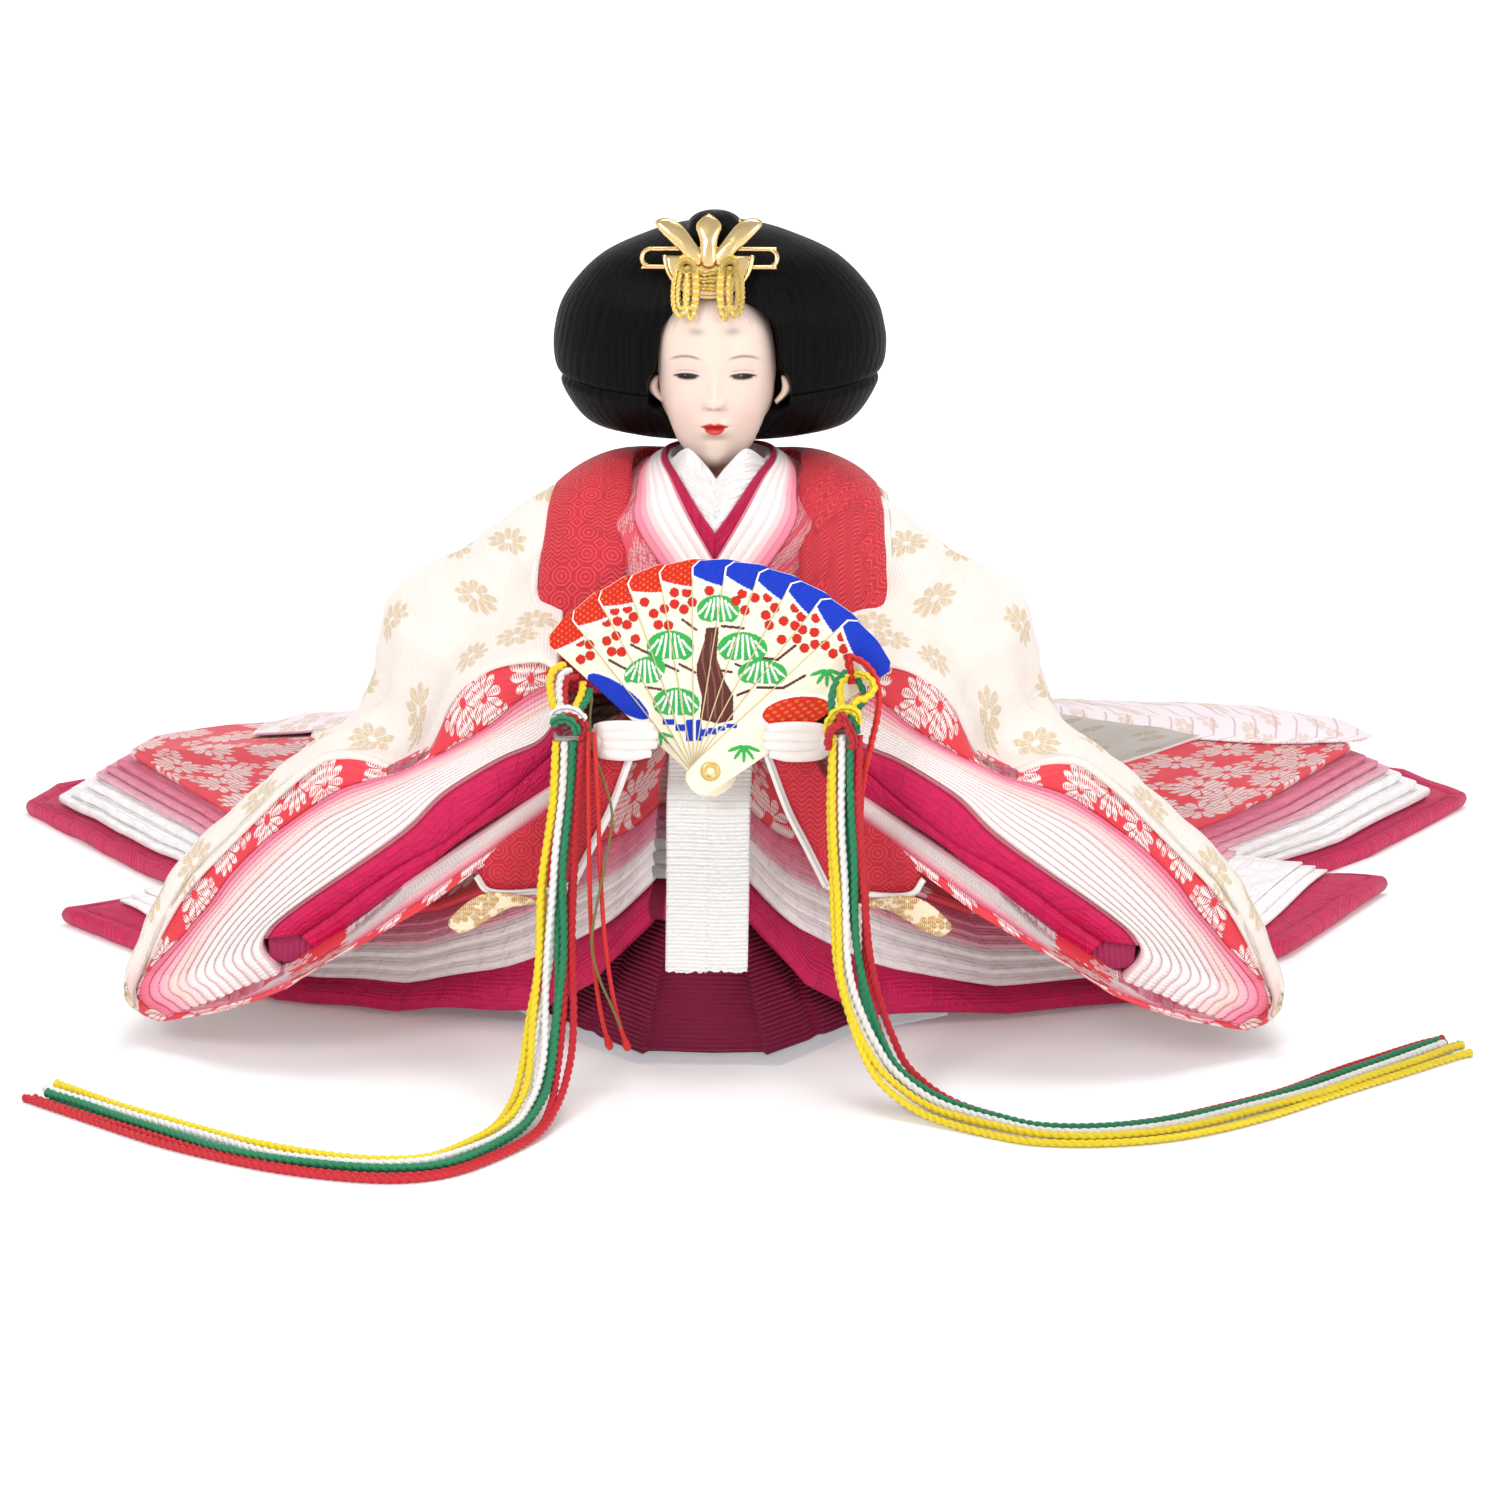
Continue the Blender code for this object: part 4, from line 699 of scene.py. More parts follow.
# ---------------------------------------------------------------- fan
FAN_PIVOT = np.array((0.0028, -0.0880, 0.0755))
LEAN = math.radians(9.5)
FAN_UP = np.array((0.0, math.sin(LEAN), math.cos(LEAN)))
FAN_REAR = np.array((0.0, math.cos(LEAN), -math.sin(LEAN)))
FAN_X = np.array((1.0, 0.0, 0.0))
SLATS = 11
SLAT_FIRST = math.radians(-43.5)
SLAT_STEP = math.radians(9.45)
SLAT_LONG, SLAT_TAIL, SLAT_HALF = 51.6, 6.5, 8.1
SLAT_SHARES = ((0.00, 0.00), (0.30, 0.008), (0.45, 0.03), (0.54, 0.11), (1.00, 0.955), (0.80, 0.985), (0.0, 1.0))
SLAT_THICK, SLAT_PITCH = 0.45, 0.65
SLAT_ROUND = 0.35
# The rivet's heads: radius, and how far out of the stack.
RIVET_FRONT = ((1.0, -0.1), (1.0, 0.25), (1.15, 0.42), (1.6, 0.5), (2.1, 0.42), (2.4, 0.2), (2.42, 0.0), (1.3, 0.0))
RIVET_BACK = ((1.3, 0.0), (2.42, 0.0), (2.4, 0.2), (1.9, 0.42), (1.0, 0.42), (1.0, -0.1))

CREAM = srgb(250, 242, 216)
FAN_RED = srgb(212, 34, 20)
FAN_BLUE = srgb(0, 52, 190)
FAN_GREEN = srgb(52, 172, 80)
FAN_BROWN = srgb(92, 44, 38)
FAN_WHITE = srgb(253, 252, 248)
BARK, PLUM_RIM = srgb(140, 84, 70), srgb(120, 34, 24)
CLOUD_FLECK, RIM_FLECK, SLAT_EDGE_SHADE = srgb(216, 110, 48), srgb(226, 140, 60), srgb(206, 190, 150)
# The painting is laid out in pixels: how many there are to a millimetre, and where the pivot is.
ART_SCALE, ART_X, ART_Y = 20.7, 687, 1068
RIM_AT, RIM_WHITE = 46.2, 0.75


def fan_at(x, u, rear):
    """A point, or an array of them, given in millimetres on the fan's plane."""
    x, u, rear = (np.asarray(v, float)[..., None] for v in (x, u, rear))
    return FAN_PIVOT + (FAN_X * x + FAN_UP * u + FAN_REAR * rear) / 1000.0


def oval_mask(x, y, cx, cy, a, b, tilt=0.0):
    """Inside an oval with half axes a and b, tilted by degrees."""
    c, s = math.cos(math.radians(tilt)), math.sin(math.radians(tilt))
    dx, dy = x - cx, y - cy
    return ((dx * c + dy * s) / a) ** 2 + ((dy * c - dx * s) / b) ** 2 < 1.0


def line_mask(x, y, points, half):
    """Within half a width of a broken line."""
    out = np.zeros(x.shape, bool)
    for (ax, ay), (bx, by) in zip(points, points[1:]):
        dx, dy = bx - ax, by - ay
        t = np.clip(((x - ax) * dx + (y - ay) * dy) / (dx * dx + dy * dy), 0, 1)
        out |= (x - ax - t * dx) ** 2 + (y - ay - t * dy) ** 2 < half**2
    return out


def inside_mask(x, y, points):
    """Inside a closed outline."""
    out = np.zeros(x.shape, bool)
    for (ax, ay), (bx, by) in zip(points, points[1:] + points[:1]):
        cross = (ay > y) != (by > y)
        at = ax + (y - ay) * (bx - ax) / np.where(by == ay, 1e-9, by - ay)
        out ^= cross & (x < at)
    return out


PLUM = ((500, 174), (560, 174), (590, 222), (548, 258), (500, 232), (349, 224), (395, 282), (449, 257), (418, 338),
        (470, 340), (198, 269), (262, 258), (292, 300), (212, 322), (260, 340), (157, 329), (303, 411), (205, 397),
        (157, 423), (182, 477), (232, 478), (676, 163), (842, 176), (810, 213), (905, 195), (855, 260), (970, 193),
        (1005, 245), (960, 283), (978, 332), (1108, 244), (1138, 289), (1050, 311), (1107, 333), (1145, 353),
        (1040, 404), (1212, 294), (1205, 366), (1118, 398), (1207, 426), (1155, 445), (1343, 387), (1352, 446),
        (1260, 430), (1299, 471), (20, 430), (70, 443), (25, 518), (73, 499))
CROWNS = ((720, 262, 108, 78, 0), (480, 450, 120, 85, 0), (845, 450, 125, 82, 0), (350, 580, 110, 75, -25),
          (945, 575, 125, 70, 0), (510, 735, 120, 80, 0))
TRUNK = [(660, 350), (725, 345), (720, 420), (715, 500), (760, 620), (800, 690), (800, 810), (720, 830), (630, 810),
         (640, 700), (615, 600), (612, 540), (650, 420)]
BRANCHES = (((540, 310), (610, 360)), ((740, 340), (850, 350)), ((280, 440), (380, 490)), ((430, 530), (520, 570)),
            ((525, 535), (605, 575)), ((745, 565), (790, 570)), ((810, 530), (870, 560)), ((170, 520), (310, 595)),
            ((355, 655), (430, 665)), ((920, 495), (1020, 505), (1110, 432)), ((920, 645), (1050, 645), (1160, 582)),
            ((820, 685), (880, 660)))
BARS = ((560, 600, 815, 925), (608, 640, 815, 920), (440, 500, 815, 845), (505, 555, 840, 875), (640, 670, 860, 895),
        (672, 715, 852, 885), (722, 760, 842, 865), (765, 820, 828, 850))
LEAVES = ((855, 960, 60), (1270, 575, 62), (430, 905, 48))
LEAF_TURNS = (-160, -125, -90, -55, -20)


def fan_art(x, u, local_w, local_l, rim, k):
    """Colours of points on a slat: x, u on the open fan's plane, and the slat's own across and along, in mm."""
    px, py = x * ART_SCALE + ART_X, ART_Y - u * ART_SCALE
    out = np.tile(np.array(CREAM), (len(x), 1))

    def put(mask, colour):
        out[mask] = colour

    def oval(cx, cy, a, b, tilt=0.0):
        return oval_mask(px, py, cx, cy, a, b, tilt)

    for shape in BRANCHES:
        put(line_mask(px, py, shape, 7), FAN_BROWN)
    put(inside_mask(px, py, TRUNK), FAN_BROWN)
    for shift in (-30, 8, 44):
        grain = ((680 + shift, 380), (672 + shift, 520), (700 + shift, 650), (700 + shift, 800))
        put(inside_mask(px, py, TRUNK) & line_mask(px, py, grain, 4), BARK)
    for cx, cy, a, b, tilt in CROWNS:
        wave = 1 + 0.05 * np.sin((px - cx) / 9.0)
        put(oval(cx, cy, a, b, tilt) & (py - cy < b * 0.72 * wave), FAN_GREEN)
        for n in range(7):
            s = (n - 3) / 3.3
            top = (cx + s * a * 0.55, cy - b * (0.80 - 0.45 * s * s))
            low = (cx + s * a * 0.98, cy + b * (0.66 - 0.55 * s * s))
            mid = ((top[0] + low[0]) / 2 - s * 3, (top[1] + low[1]) / 2)
            put(line_mask(px, py, (top, mid, low), 5.5), FAN_WHITE)
    for cx, cy in PLUM:
        put(oval(cx, cy, 25, 25), PLUM_RIM)
        put(oval(cx, cy, 22, 22), FAN_RED)
    for x0, x1, y0, y1 in BARS:
        put((px > x0) & (px < x1) & (py > y0) & (py < y1), FAN_BLUE)
    for cx, cy, size in LEAVES:
        for turn in LEAF_TURNS:
            c, s = math.cos(math.radians(turn)), math.sin(math.radians(turn))
            put(oval(cx + c * size * 0.75, cy - s * size * 0.75 - size * 0.4, size * 0.72, size * 0.17, -turn),
                FAN_GREEN)
    if k <= 2:
        put(oval(215, 705, 200, 72, 35), FAN_WHITE)
        put(oval(215, 705, 186, 58, 35), FAN_BLUE)
    if k >= 9:
        put(oval(1120, 765, 192, 92, -8), FAN_WHITE)
        put(oval(1120, 765, 175, 75, -8), FAN_RED)
        put(oval(1120, 765, 165, 66, -8) & (np.sin(px * 0.11 + py * 0.05) * np.sin(py * 0.17) > 0.35), CLOUD_FLECK)
    cap = RIM_AT - 1.3 * (1 - (local_w / SLAT_HALF) ** 2) - 0.14 * local_w
    put(local_l > cap - RIM_WHITE, FAN_WHITE)
    put(local_l > cap, FAN_RED if k <= 4 else FAN_BLUE)
    if k <= 4:
        put((local_l > cap + 0.3) & (np.sin(px * 0.16 + k) * np.sin(py * 0.21 + px * 0.03) > 0.72), RIM_FLECK)
    if k:
        # Each slat's exposed left edge, over the slat behind it, is painted darker: painted shade between the slats.
        put((rim < 0.30) & (local_l <= cap - RIM_WHITE), SLAT_EDGE_SHADE)
        put((rim < 0.42) & (local_l > cap - RIM_WHITE), FAN_WHITE)
    return out


def make_fan():
    """Eleven painted slats, each on its own body, and the rivet."""
    wood = painted("slat-paint", 0.45, 0.05)
    along = np.concatenate((np.linspace(0, 0.03, 8), np.linspace(0.035, 0.95, 250), np.linspace(0.955, 1.0, 16)))
    shares = np.array(SLAT_SHARES)
    half = np.maximum(np.interp(along, shares[:, 1], shares[:, 0]) * SLAT_HALF, 0.05)[:, None]
    across = np.concatenate((np.linspace(-1, -0.92, 6), np.linspace(-0.9, 1, 69)))
    w = across[None, :] * half
    l = np.broadcast_to((along * (SLAT_LONG + SLAT_TAIL) - SLAT_TAIL)[:, None], w.shape)
    soft = np.clip(np.minimum((half - np.abs(w)) / SLAT_ROUND, (SLAT_LONG - l) / SLAT_ROUND), 0, 1)
    rows, cols = w.shape
    count = rows * cols
    loop = [i * cols + j for i, j in border(rows, cols)]
    sides = [(at, count + q, count + (q + 1) % len(loop), loop[(q + 1) % len(loop)]) for q, at in enumerate(loop)]
    faces = quads(rows, cols) + sides + [list(range(count + len(loop) - 1, count - 1, -1))]
    for k in range(SLATS):
        turn = SLAT_FIRST + k * SLAT_STEP
        c, s = math.cos(turn), math.sin(turn)
        x, u = l * s + w * c, l * c - w * s
        xs, us = x.ravel()[loop], u.ravel()[loop]
        rear = ((SLATS - 1) / 2 - k) * SLAT_PITCH
        front = fan_at(x, u, rear - SLAT_THICK / 2 + 0.12 * (1 - soft) ** 2).reshape(-1, 3)
        back = fan_at(xs, us, rear + SLAT_THICK / 2)
        paint = fan_art(x.ravel(), u.ravel(), w.ravel(), l.ravel(), (w + half).ravel(), k)
        paint = np.concatenate((paint, np.tile(np.array(CREAM) * 0.92, (len(loop), 1))))
        uv = np.concatenate((np.stack((w.ravel(), l.ravel()), axis=1), np.stack((xs, us), axis=1))) / 1000.0
        body = "fan" if k == 0 else "front_guard" if k == SLATS - 1 else f"slat_{k + 1:02d}"
        piece(f"slat-{k + 1:02d}", np.concatenate((front, back)), faces, wood, body, [f"fan_slat_{k + 1:02d}"],
              uv, paint)
    a = turns(40)[:, None]
    out = (SLATS - 1) / 2 * SLAT_PITCH + SLAT_THICK / 2 + 0.05
    r, rear = np.array([(r, -(out + d)) for r, d in RIVET_FRONT] + [(r, out + d) for r, d in RIVET_BACK]).T
    rings("rivet", fan_at(r * np.cos(a), r * np.sin(a), rear).swapaxes(0, 1), MATS["rivet"], "fan", ["fan_eyelet"])


make_fan()

# ---------------------------------------------------------------- head and face
HEAD_PROFILE = (
    # height, half width, front, back
    (0.1290, 0.0068, -0.0068, 0.0068), (0.1338, 0.0066, -0.0074, 0.0070), (0.1350, 0.0058, -0.0108, 0.0072),
    (0.1355, 0.0048, -0.0148, 0.0075), (0.1365, 0.0060, -0.0168, 0.0080), (0.1384, 0.0078, -0.0176, 0.0088),
    (0.1412, 0.0100, -0.0180, 0.0100), (0.1444, 0.0119, -0.0183, 0.0114), (0.1482, 0.0135, -0.0187, 0.0135),
    (0.1517, 0.0146, -0.0191, 0.0152), (0.1560, 0.0151, -0.0194, 0.0168), (0.1610, 0.0157, -0.0194, 0.0176),
    (0.1660, 0.0157, -0.0190, 0.0175), (0.1720, 0.0150, -0.0178, 0.0164), (0.1770, 0.0134, -0.0155, 0.0142),
    (0.1815, 0.0100, -0.0112, 0.0105), (0.1842, 0.0060, -0.0066, 0.0066), (0.1850, 0.0025, -0.0028, 0.0028),
)
FACE_X = 0.0015
EYE_Z, EYE_OUT = 0.1598, 0.0071
NOSE_Z, MOUTH_Z, BROW_Z = 0.1532, 0.1470, 0.1650
SKIN = srgb(241, 219, 205)
BLUSH = srgb(244, 205, 196)
INK = srgb(24, 17, 17)
FACE_SWELLS = (
    # out to each side, height, spread across, spread up and down, how far it stands out
    (0.0021, NOSE_Z + 0.0004, 0.0009, 0.0011, 0.0008), (EYE_OUT, EYE_Z + 0.0004, 0.0046, 0.0026, -0.0008),
    (EYE_OUT, EYE_Z - 0.0004, 0.0032, 0.0017, 0.0007), (0.0085, 0.1520, 0.0050, 0.0055, 0.0012),
    (0.0, MOUTH_Z + 0.0009, 0.0026, 0.0010, 0.0010), (0.0, MOUTH_Z - 0.0013, 0.0022, 0.0011, 0.0013),
    (0.0, MOUTH_Z - 0.0001, 0.0030, 0.00035, -0.0006), (0.0, MOUTH_Z - 0.0035, 0.0030, 0.0011, -0.0007),
    (0.0, 0.1384, 0.0040, 0.0026, 0.0016), (0.0, MOUTH_Z, 0.0058, 0.0042, 0.0012),
)
EAR_TOP, EAR_TALL = 0.1580, 0.0072
EAR_SHARES = ((0.4, 0.6), (0.8, 1.0), (1.0, 1.2), (1.05, 1.25), (1.0, 1.2), (0.9, 1.1), (0.85, 1.0), (0.7, 0.8),
              (0.2, 0.3))


def head_skin():
    """The head as a fine grid of rings, with the features pushed out of it."""
    prof = cr(HEAD_PROFILE, 1200)
    gone = np.cumsum(np.where((prof[:, 0] > 0.141) & (prof[:, 0] < 0.179), 2.4, 1.0))
    want = np.linspace(gone[0], gone[-1], 380)
    high, half, fore, rear = (np.interp(want, gone, column)[:, None] for column in prof.T)
    t = turns(420)
    t = t + 0.21 * np.sin(2 * t) - 0.30 * np.cos(t)
    x, y, z = np.broadcast_arrays(half * boxed(np.cos(t), 0.92),
                                  (fore + rear) / 2 + (rear - fore) / 2 * boxed(np.sin(t), 0.94), high)
    ridge = np.clip((z - NOSE_Z + 0.0008) / (EYE_Z - NOSE_Z + 0.002), 0, 1)
    tall = np.clip((0.1640 - z) / (0.1640 - NOSE_Z), 0, 1) ** 1.25
    fall = eased(np.clip((z - (NOSE_Z - 0.0022)) / 0.0017, 0, 1))
    push = 0.0036 * bell(x, 0.0013 + 0.0009 * (1 - ridge)) * tall * fall
    for out, up, wide, deep, stand in FACE_SWELLS:
        for middle in ((-out, out) if out else (0.0,)):
            push = push + stand * bell(x - middle, wide) * bell(z - up, deep)
    y = y - push * np.clip(-np.sin(t), 0, 1)[None, :] ** 0.7
    x = x + FACE_X * np.clip((0.1900 - z) / 0.030, 0, 1) * np.clip((z - 0.1310) / 0.006, 0, 1)
    return spots(x, y, z)


def soft_step(d, w):
    """1 inside, 0 outside, over a width w round zero."""
    return 1 / (1 + np.exp(np.clip(d / w, -40, 40)))


def face_paint(grid):
    """The painted features, from places on the face."""
    x, y, z = grid[..., 0] - FACE_X, grid[..., 1], grid[..., 2]
    out = np.tile(np.array(SKIN), (*x.shape, 1))
    front = np.clip((-y - 0.002) / 0.004, 0, 1)

    def lay(mask, colour, amount=1.0):
        m = (np.clip(mask, 0, 1) * amount * front)[..., None]
        out[:] = out * (1 - m) + np.array(colour) * m

    for side in (-1, 1):
        ex = (x - side * EYE_OUT) * side
        lay(bell(ex - 0.001, 0.0060) * bell(z - 0.1525, 0.0050), BLUSH, 0.30)
        lay(bell(ex, 0.0050) * bell(z - EYE_Z - 0.0012, 0.0022), srgb(232, 196, 188), 0.40)
        curve = EYE_Z + 0.00052 - 55.0 * ex * ex - 0.06 * ex
        low = EYE_Z - 0.00078 + 50.0 * ex * ex - 0.05 * ex
        inside = soft_step(z - curve, 0.00006) * soft_step(low - z, 0.00006) * soft_step(np.abs(ex) - 0.0033, 0.0001)
        lay(inside, srgb(225, 216, 212))
        iris = soft_step(np.sqrt((ex * 0.62) ** 2 + (z - EYE_Z) ** 2) - 0.00165, 0.00008)
        lay(inside * iris, INK)
        shine = soft_step(np.sqrt((x - side * EYE_OUT + 0.0004) ** 2 + (z - EYE_Z - 0.0003) ** 2) - 0.00018, 0.00005)
        lay(inside * shine, (0.9, 0.9, 0.9), 0.35)
        lid = np.exp(-((z - curve - 0.00005) / 0.00026) ** 4) * soft_step(np.abs(ex - 0.0001) - 0.0033, 0.00015)
        lay(lid, INK)
        crease = bell(z - curve - 0.00105 + 3.0 * ex * ex, 0.00013) * soft_step(np.abs(ex) - 0.0029, 0.0003)
        lay(crease, srgb(150, 105, 98), 0.55)
        under = bell(z - low + 0.0001, 0.00016) * soft_step(np.abs(ex) - 0.0026, 0.0003)
        lay(under, srgb(150, 112, 106), 0.5)
        for n in range(7):
            s = (n - 3) / 3.0
            lash = np.abs(ex - 0.0001 - s * 0.0029 - (z - curve) * (0.3 + 0.6 * s)) - 0.00005
            lay(soft_step(lash, 0.00003) * soft_step(np.abs(z - curve - 0.00035) - 0.00035, 0.0001), INK, 0.35)
        bz = BROW_Z - 0.00010 - 62.0 * ex * ex - 0.03 * ex
        brow = bell(z - bz, 0.00036) * soft_step(np.abs(ex - 0.0003) - 0.0034, 0.0005)
        lay(brow, srgb(104, 80, 72), 0.72)
        smudge = bell(x - side * 0.0046, 0.0021) * bell(z - 0.1712, 0.0011)
        lay(smudge, srgb(112, 104, 104), 0.50)
        nostril = bell(x - side * 0.0011, 0.00050) * bell(z - NOSE_Z + 0.0013, 0.00030)
        lay(nostril, srgb(190, 120, 108), 0.8)
    half = 0.0034
    u = np.clip(x / half, -1, 1)
    top = MOUTH_Z + 0.00010 + 0.00125 * (1 - np.abs(u) ** 1.6) - 0.00045 * bell(x, 0.0006)
    mid = MOUTH_Z - 0.00012 + 0.00016 * np.cos(u * math.pi * 2)
    low = MOUTH_Z - 0.00022 - 0.00165 * np.sqrt(np.clip(1 - (x / 0.0026) ** 2, 0, 1))
    lips = soft_step(z - top, 0.00009) * soft_step(low - z, 0.00009) * soft_step(np.abs(x) - half, 0.0001)
    lay(lips, srgb(214, 46, 44))
    lay(lips * bell(z - MOUTH_Z + 0.0011, 0.0004) * bell(x, 0.0012), srgb(240, 120, 112), 0.6)
    lay(lips * bell(z - mid, 0.00018), srgb(120, 12, 20), 0.85)
    arch = 0.1765 - 42.0 * x * x
    for n in range(64):
        s = (n - 31.5) / 31.5
        root = s * 0.0150
        lean = -0.55 * s
        line = np.abs(x - root - (z - 0.1750) * lean) - 0.00007
        tip = arch + 0.0006 * math.sin(n * 2.4) + 0.0004 * math.sin(n * 5.1)
        lay(soft_step(line, 0.00005) * soft_step(tip - z, 0.00025), srgb(70, 60, 58), 0.45)
    lay(soft_step(arch + 0.0022 - z, 0.0008), srgb(42, 36, 36), 0.8)
    return out


def make_head():
    """The white head with ears, and the fine hair painted at its edge."""
    grid = head_skin()
    skin = painted("face-shell", 0.34, 0.0, coat=0.15, depth=0.00001)
    shader = skin.node_tree.nodes["Principled BSDF"]
    shader.inputs["Subsurface Weight"].default_value = 0.12
    shader.inputs["Subsurface Radius"].default_value = (0.004, 0.002, 0.001)
    rings("head-skin", grid, skin, "head", ["head"], paint=face_paint(grid).reshape(-1, 3))
    a = turns(16)
    for side, word in ((-1, "left"), (1, "right")):
        loops = []
        for s, (w, d) in zip(np.linspace(0, 1, len(EAR_SHARES)), EAR_SHARES):
            out = 0.0162 + 0.0013 * math.sin(math.pi * min(1, s * 1.15)) * 1.3 - 0.0016 * s
            loops.append(spots(0.0025 + side * (out + 0.0013 * w * np.cos(a)),
                               -0.0062 + 0.0022 * d * np.sin(a) - 0.0008 * s, EAR_TOP - s * EAR_TALL))
        rings(f"ear-{word}", loops, skin, "head",
              paint=np.tile(np.array(SKIN) * 0.97, (len(loops) * len(a), 1)))


make_head()

# ---------------------------------------------------------------- hair
HAIR_HALF, HAIR_BASE, HAIR_HEIGHT = 0.0430, 0.1410, 0.0545
HAIR_SHIFT = 0.0018
HAIR_UNDER = ((0.000, 0.62, 0.42, 0.28), (0.030, 0.78, 0.52, 0.285), (0.090, 0.88, 0.57, 0.29),
              (0.170, 0.955, 0.615, 0.30), (0.215, 0.945, 0.61, 0.30))
HAIR_DOME = ((0.212, 0.93, 0.60, 0.300), (0.228, 0.972, 0.628, 0.305), (0.290, 0.998, 0.648, 0.325),
             (0.460, 1.000, 0.65, 0.325), (0.640, 0.930, 0.62, 0.315), (0.825, 0.720, 0.49, 0.280),
             (0.935, 0.440, 0.33, 0.255), (0.985, 0.230, 0.19, 0.240), (1.000, 0.060, 0.05, 0.235))
# Height and half width of the opening for the face, and how far back it reaches at some heights.
OPENING_PROFILE = ((0.1330, 0.0180), (0.1400, 0.0172), (0.1450, 0.0168), (0.1495, 0.0172), (0.1520, 0.0186),
                   (0.1575, 0.0186), (0.1605, 0.0172), (0.1650, 0.0163), (0.1700, 0.0152), (0.1735, 0.0132),
                   (0.1762, 0.0100), (0.1780, 0.0058), (0.1786, 0.0020))
OPENING_BACK = ((0.1400, 0.1480, 0.1512, 0.1620), (-0.0100, -0.0085, -0.0010, -0.0030))
OPENING_FRONT = -0.047
# The tail by shares of its length: width, depth, and how far back its middle is.
TAIL_TOP, TAIL_LONG, TAIL_HALF = 0.150, 0.064, 0.009
TAIL_AT = (0, 0.2, 0.45, 0.72, 1.0)
TAIL_WIDE, TAIL_DEEP = (1.0, 0.9, 0.78, 0.66, 0.30), (0.29, 0.33, 0.33, 0.29, 0.15)
TAIL_BACK = (0.960, 0.965, 0.970, 1.080, 1.270)


def hair_mat():
    """Black silk fibre with combed streaks."""
    m = Mat("hair-silk", 0.30, spec=0.07)
    uv = m.uv()
    streak = m.stretched_noise(uv, (1.0, 0.035, 1.0), 0.00055, 3.0, 0.7)
    m.bump(m.add(streak, m.stretched_noise(uv, (1.0, 0.05, 1.0), 0.006)), 0.00030)
    m.give("Roughness", m.ramp(streak, 0.3, 0.7, 0.22, 0.42))
    m.give("Anisotropic", 0.6)
    return m.colour(m.mix(m.ramp(streak, 0.35, 0.8), (0.0003, 0.0003, 0.0003), (0.008, 0.007, 0.007)))


def hair_roll(shares):
    """One roll of hair: combed from the crown down and under, open at the face."""
    h, w, d, b = (column[:, None] for column in cr(shares, 90).T)
    t = turns(400)
    groove = 0.00006 * np.sin(t * 61 + 3 * np.sin(h * 9)) + 0.00005 * np.sin(t * 137 + 1.3)
    r = 1 + groove / HAIR_HALF
    x = HAIR_SHIFT + w * HAIR_HALF * boxed(np.cos(t), 0.93) * r
    y = b * HAIR_HALF + d * HAIR_HALF * boxed(np.sin(t), 0.93) * r
    fold = 0.0034 * (x / HAIR_HALF) ** 2 * bell(h - 0.21, 0.16)
    loops = spots(x, y, HAIR_BASE + h * HAIR_HEIGHT + fold)
    uv = np.stack(np.broadcast_arrays((t * HAIR_HALF)[None, :], lengths(loops[:, 0])[:, None]), axis=2)
    return loops, uv


def carve(obj, cutter):
    """Cuts one mesh by another and keeps the result."""
    mod = obj.modifiers.new("cut", "BOOLEAN")
    mod.object = cutter
    mod.solver = "EXACT"
    bpy.context.view_layer.update()
    mesh = bpy.data.meshes.new_from_object(obj.evaluated_get(bpy.context.evaluated_depsgraph_get()))
    obj.modifiers.clear()
    old = obj.data
    obj.data = mesh
    bpy.data.meshes.remove(old)


def opening():
    """The arched opening that the face looks out of, as a cutter."""
    z, half = (column[:, None] for column in cr(OPENING_PROFILE, 60).T)
    back = np.interp(z, *OPENING_BACK)
    a = turns(48)
    loops = spots(FACE_X + 0.0009 + half * boxed(np.cos(a), 0.45),
                  (back + OPENING_FRONT) / 2 + (back - OPENING_FRONT) / 2 * boxed(np.sin(a), 0.45), z)
    loops[0, :, 2] -= 0.004
    return placed("opening", outward_mesh("opening", loops.reshape(-1, 3), capped(60, 48, 0)))


def make_hair():
    """The broad rolled hair, its lower roll, the topknot and the long tail behind."""
    mat = hair_mat()
    hole = opening()
    for name, shares, nodes in (("hair-under", HAIR_UNDER, ["hair_under"]), ("hair-dome", HAIR_DOME, ["hair_dome"])):
        loops, uv = hair_roll(shares)
        carve(rings(name, loops, mat, "head", nodes, uv=uv), hole)
    bpy.data.objects.remove(hole)
    a = turns(40)
    t = math.pi * np.linspace(0.02, 0.98, 24)[:, None]
    r = 0.0074 * np.sin(t) ** 0.8
    rings("hair-topknot", spots(0.0010 + r * np.cos(a) * (1 + 0.03 * np.sin(9 * a)), 0.0012 + r * np.sin(a),
                                0.1938 - 0.0056 * np.cos(t)), mat, "head")
    s = np.linspace(0, 1, 60)[:, None]
    w, d, b = (np.interp(s, TAIL_AT, values) for values in (TAIL_WIDE, TAIL_DEEP, TAIL_BACK))
    t = turns(80)
    r = TAIL_HALF * (1 + 0.035 * np.sin(t * 19 + 2 * s))
    loops = spots(w * np.cos(t) * r, b * HAIR_HALF + d * np.sin(t) * r, TAIL_TOP - s * TAIL_LONG)
    uv = np.stack(np.broadcast_arrays((np.linspace(0, math.tau, 80) * TAIL_HALF)[None, :], s * TAIL_LONG), axis=2)
    rings("hair-tail", loops, mat, "head", ["hair_tail"], uv=uv)
    t = np.linspace(0, math.tau, 49)
    for k, down in enumerate((0.012, 0.034)):
        b = np.interp(down / TAIL_LONG, TAIL_AT, TAIL_BACK) * HAIR_HALF
        w = np.interp(down / TAIL_LONG, (0, 0.45, 1), (1.0, 0.78, 0.3)) * 0.0096
        tube(f"hair-tie-{k + 1}", spots(w * np.cos(t), b + 0.0037 * np.sin(t), TAIL_TOP - down), 0.0008,
             MATS["white"], "head", slot="gold_cord", count=8, ply=2, turn=1500.0)


make_hair()

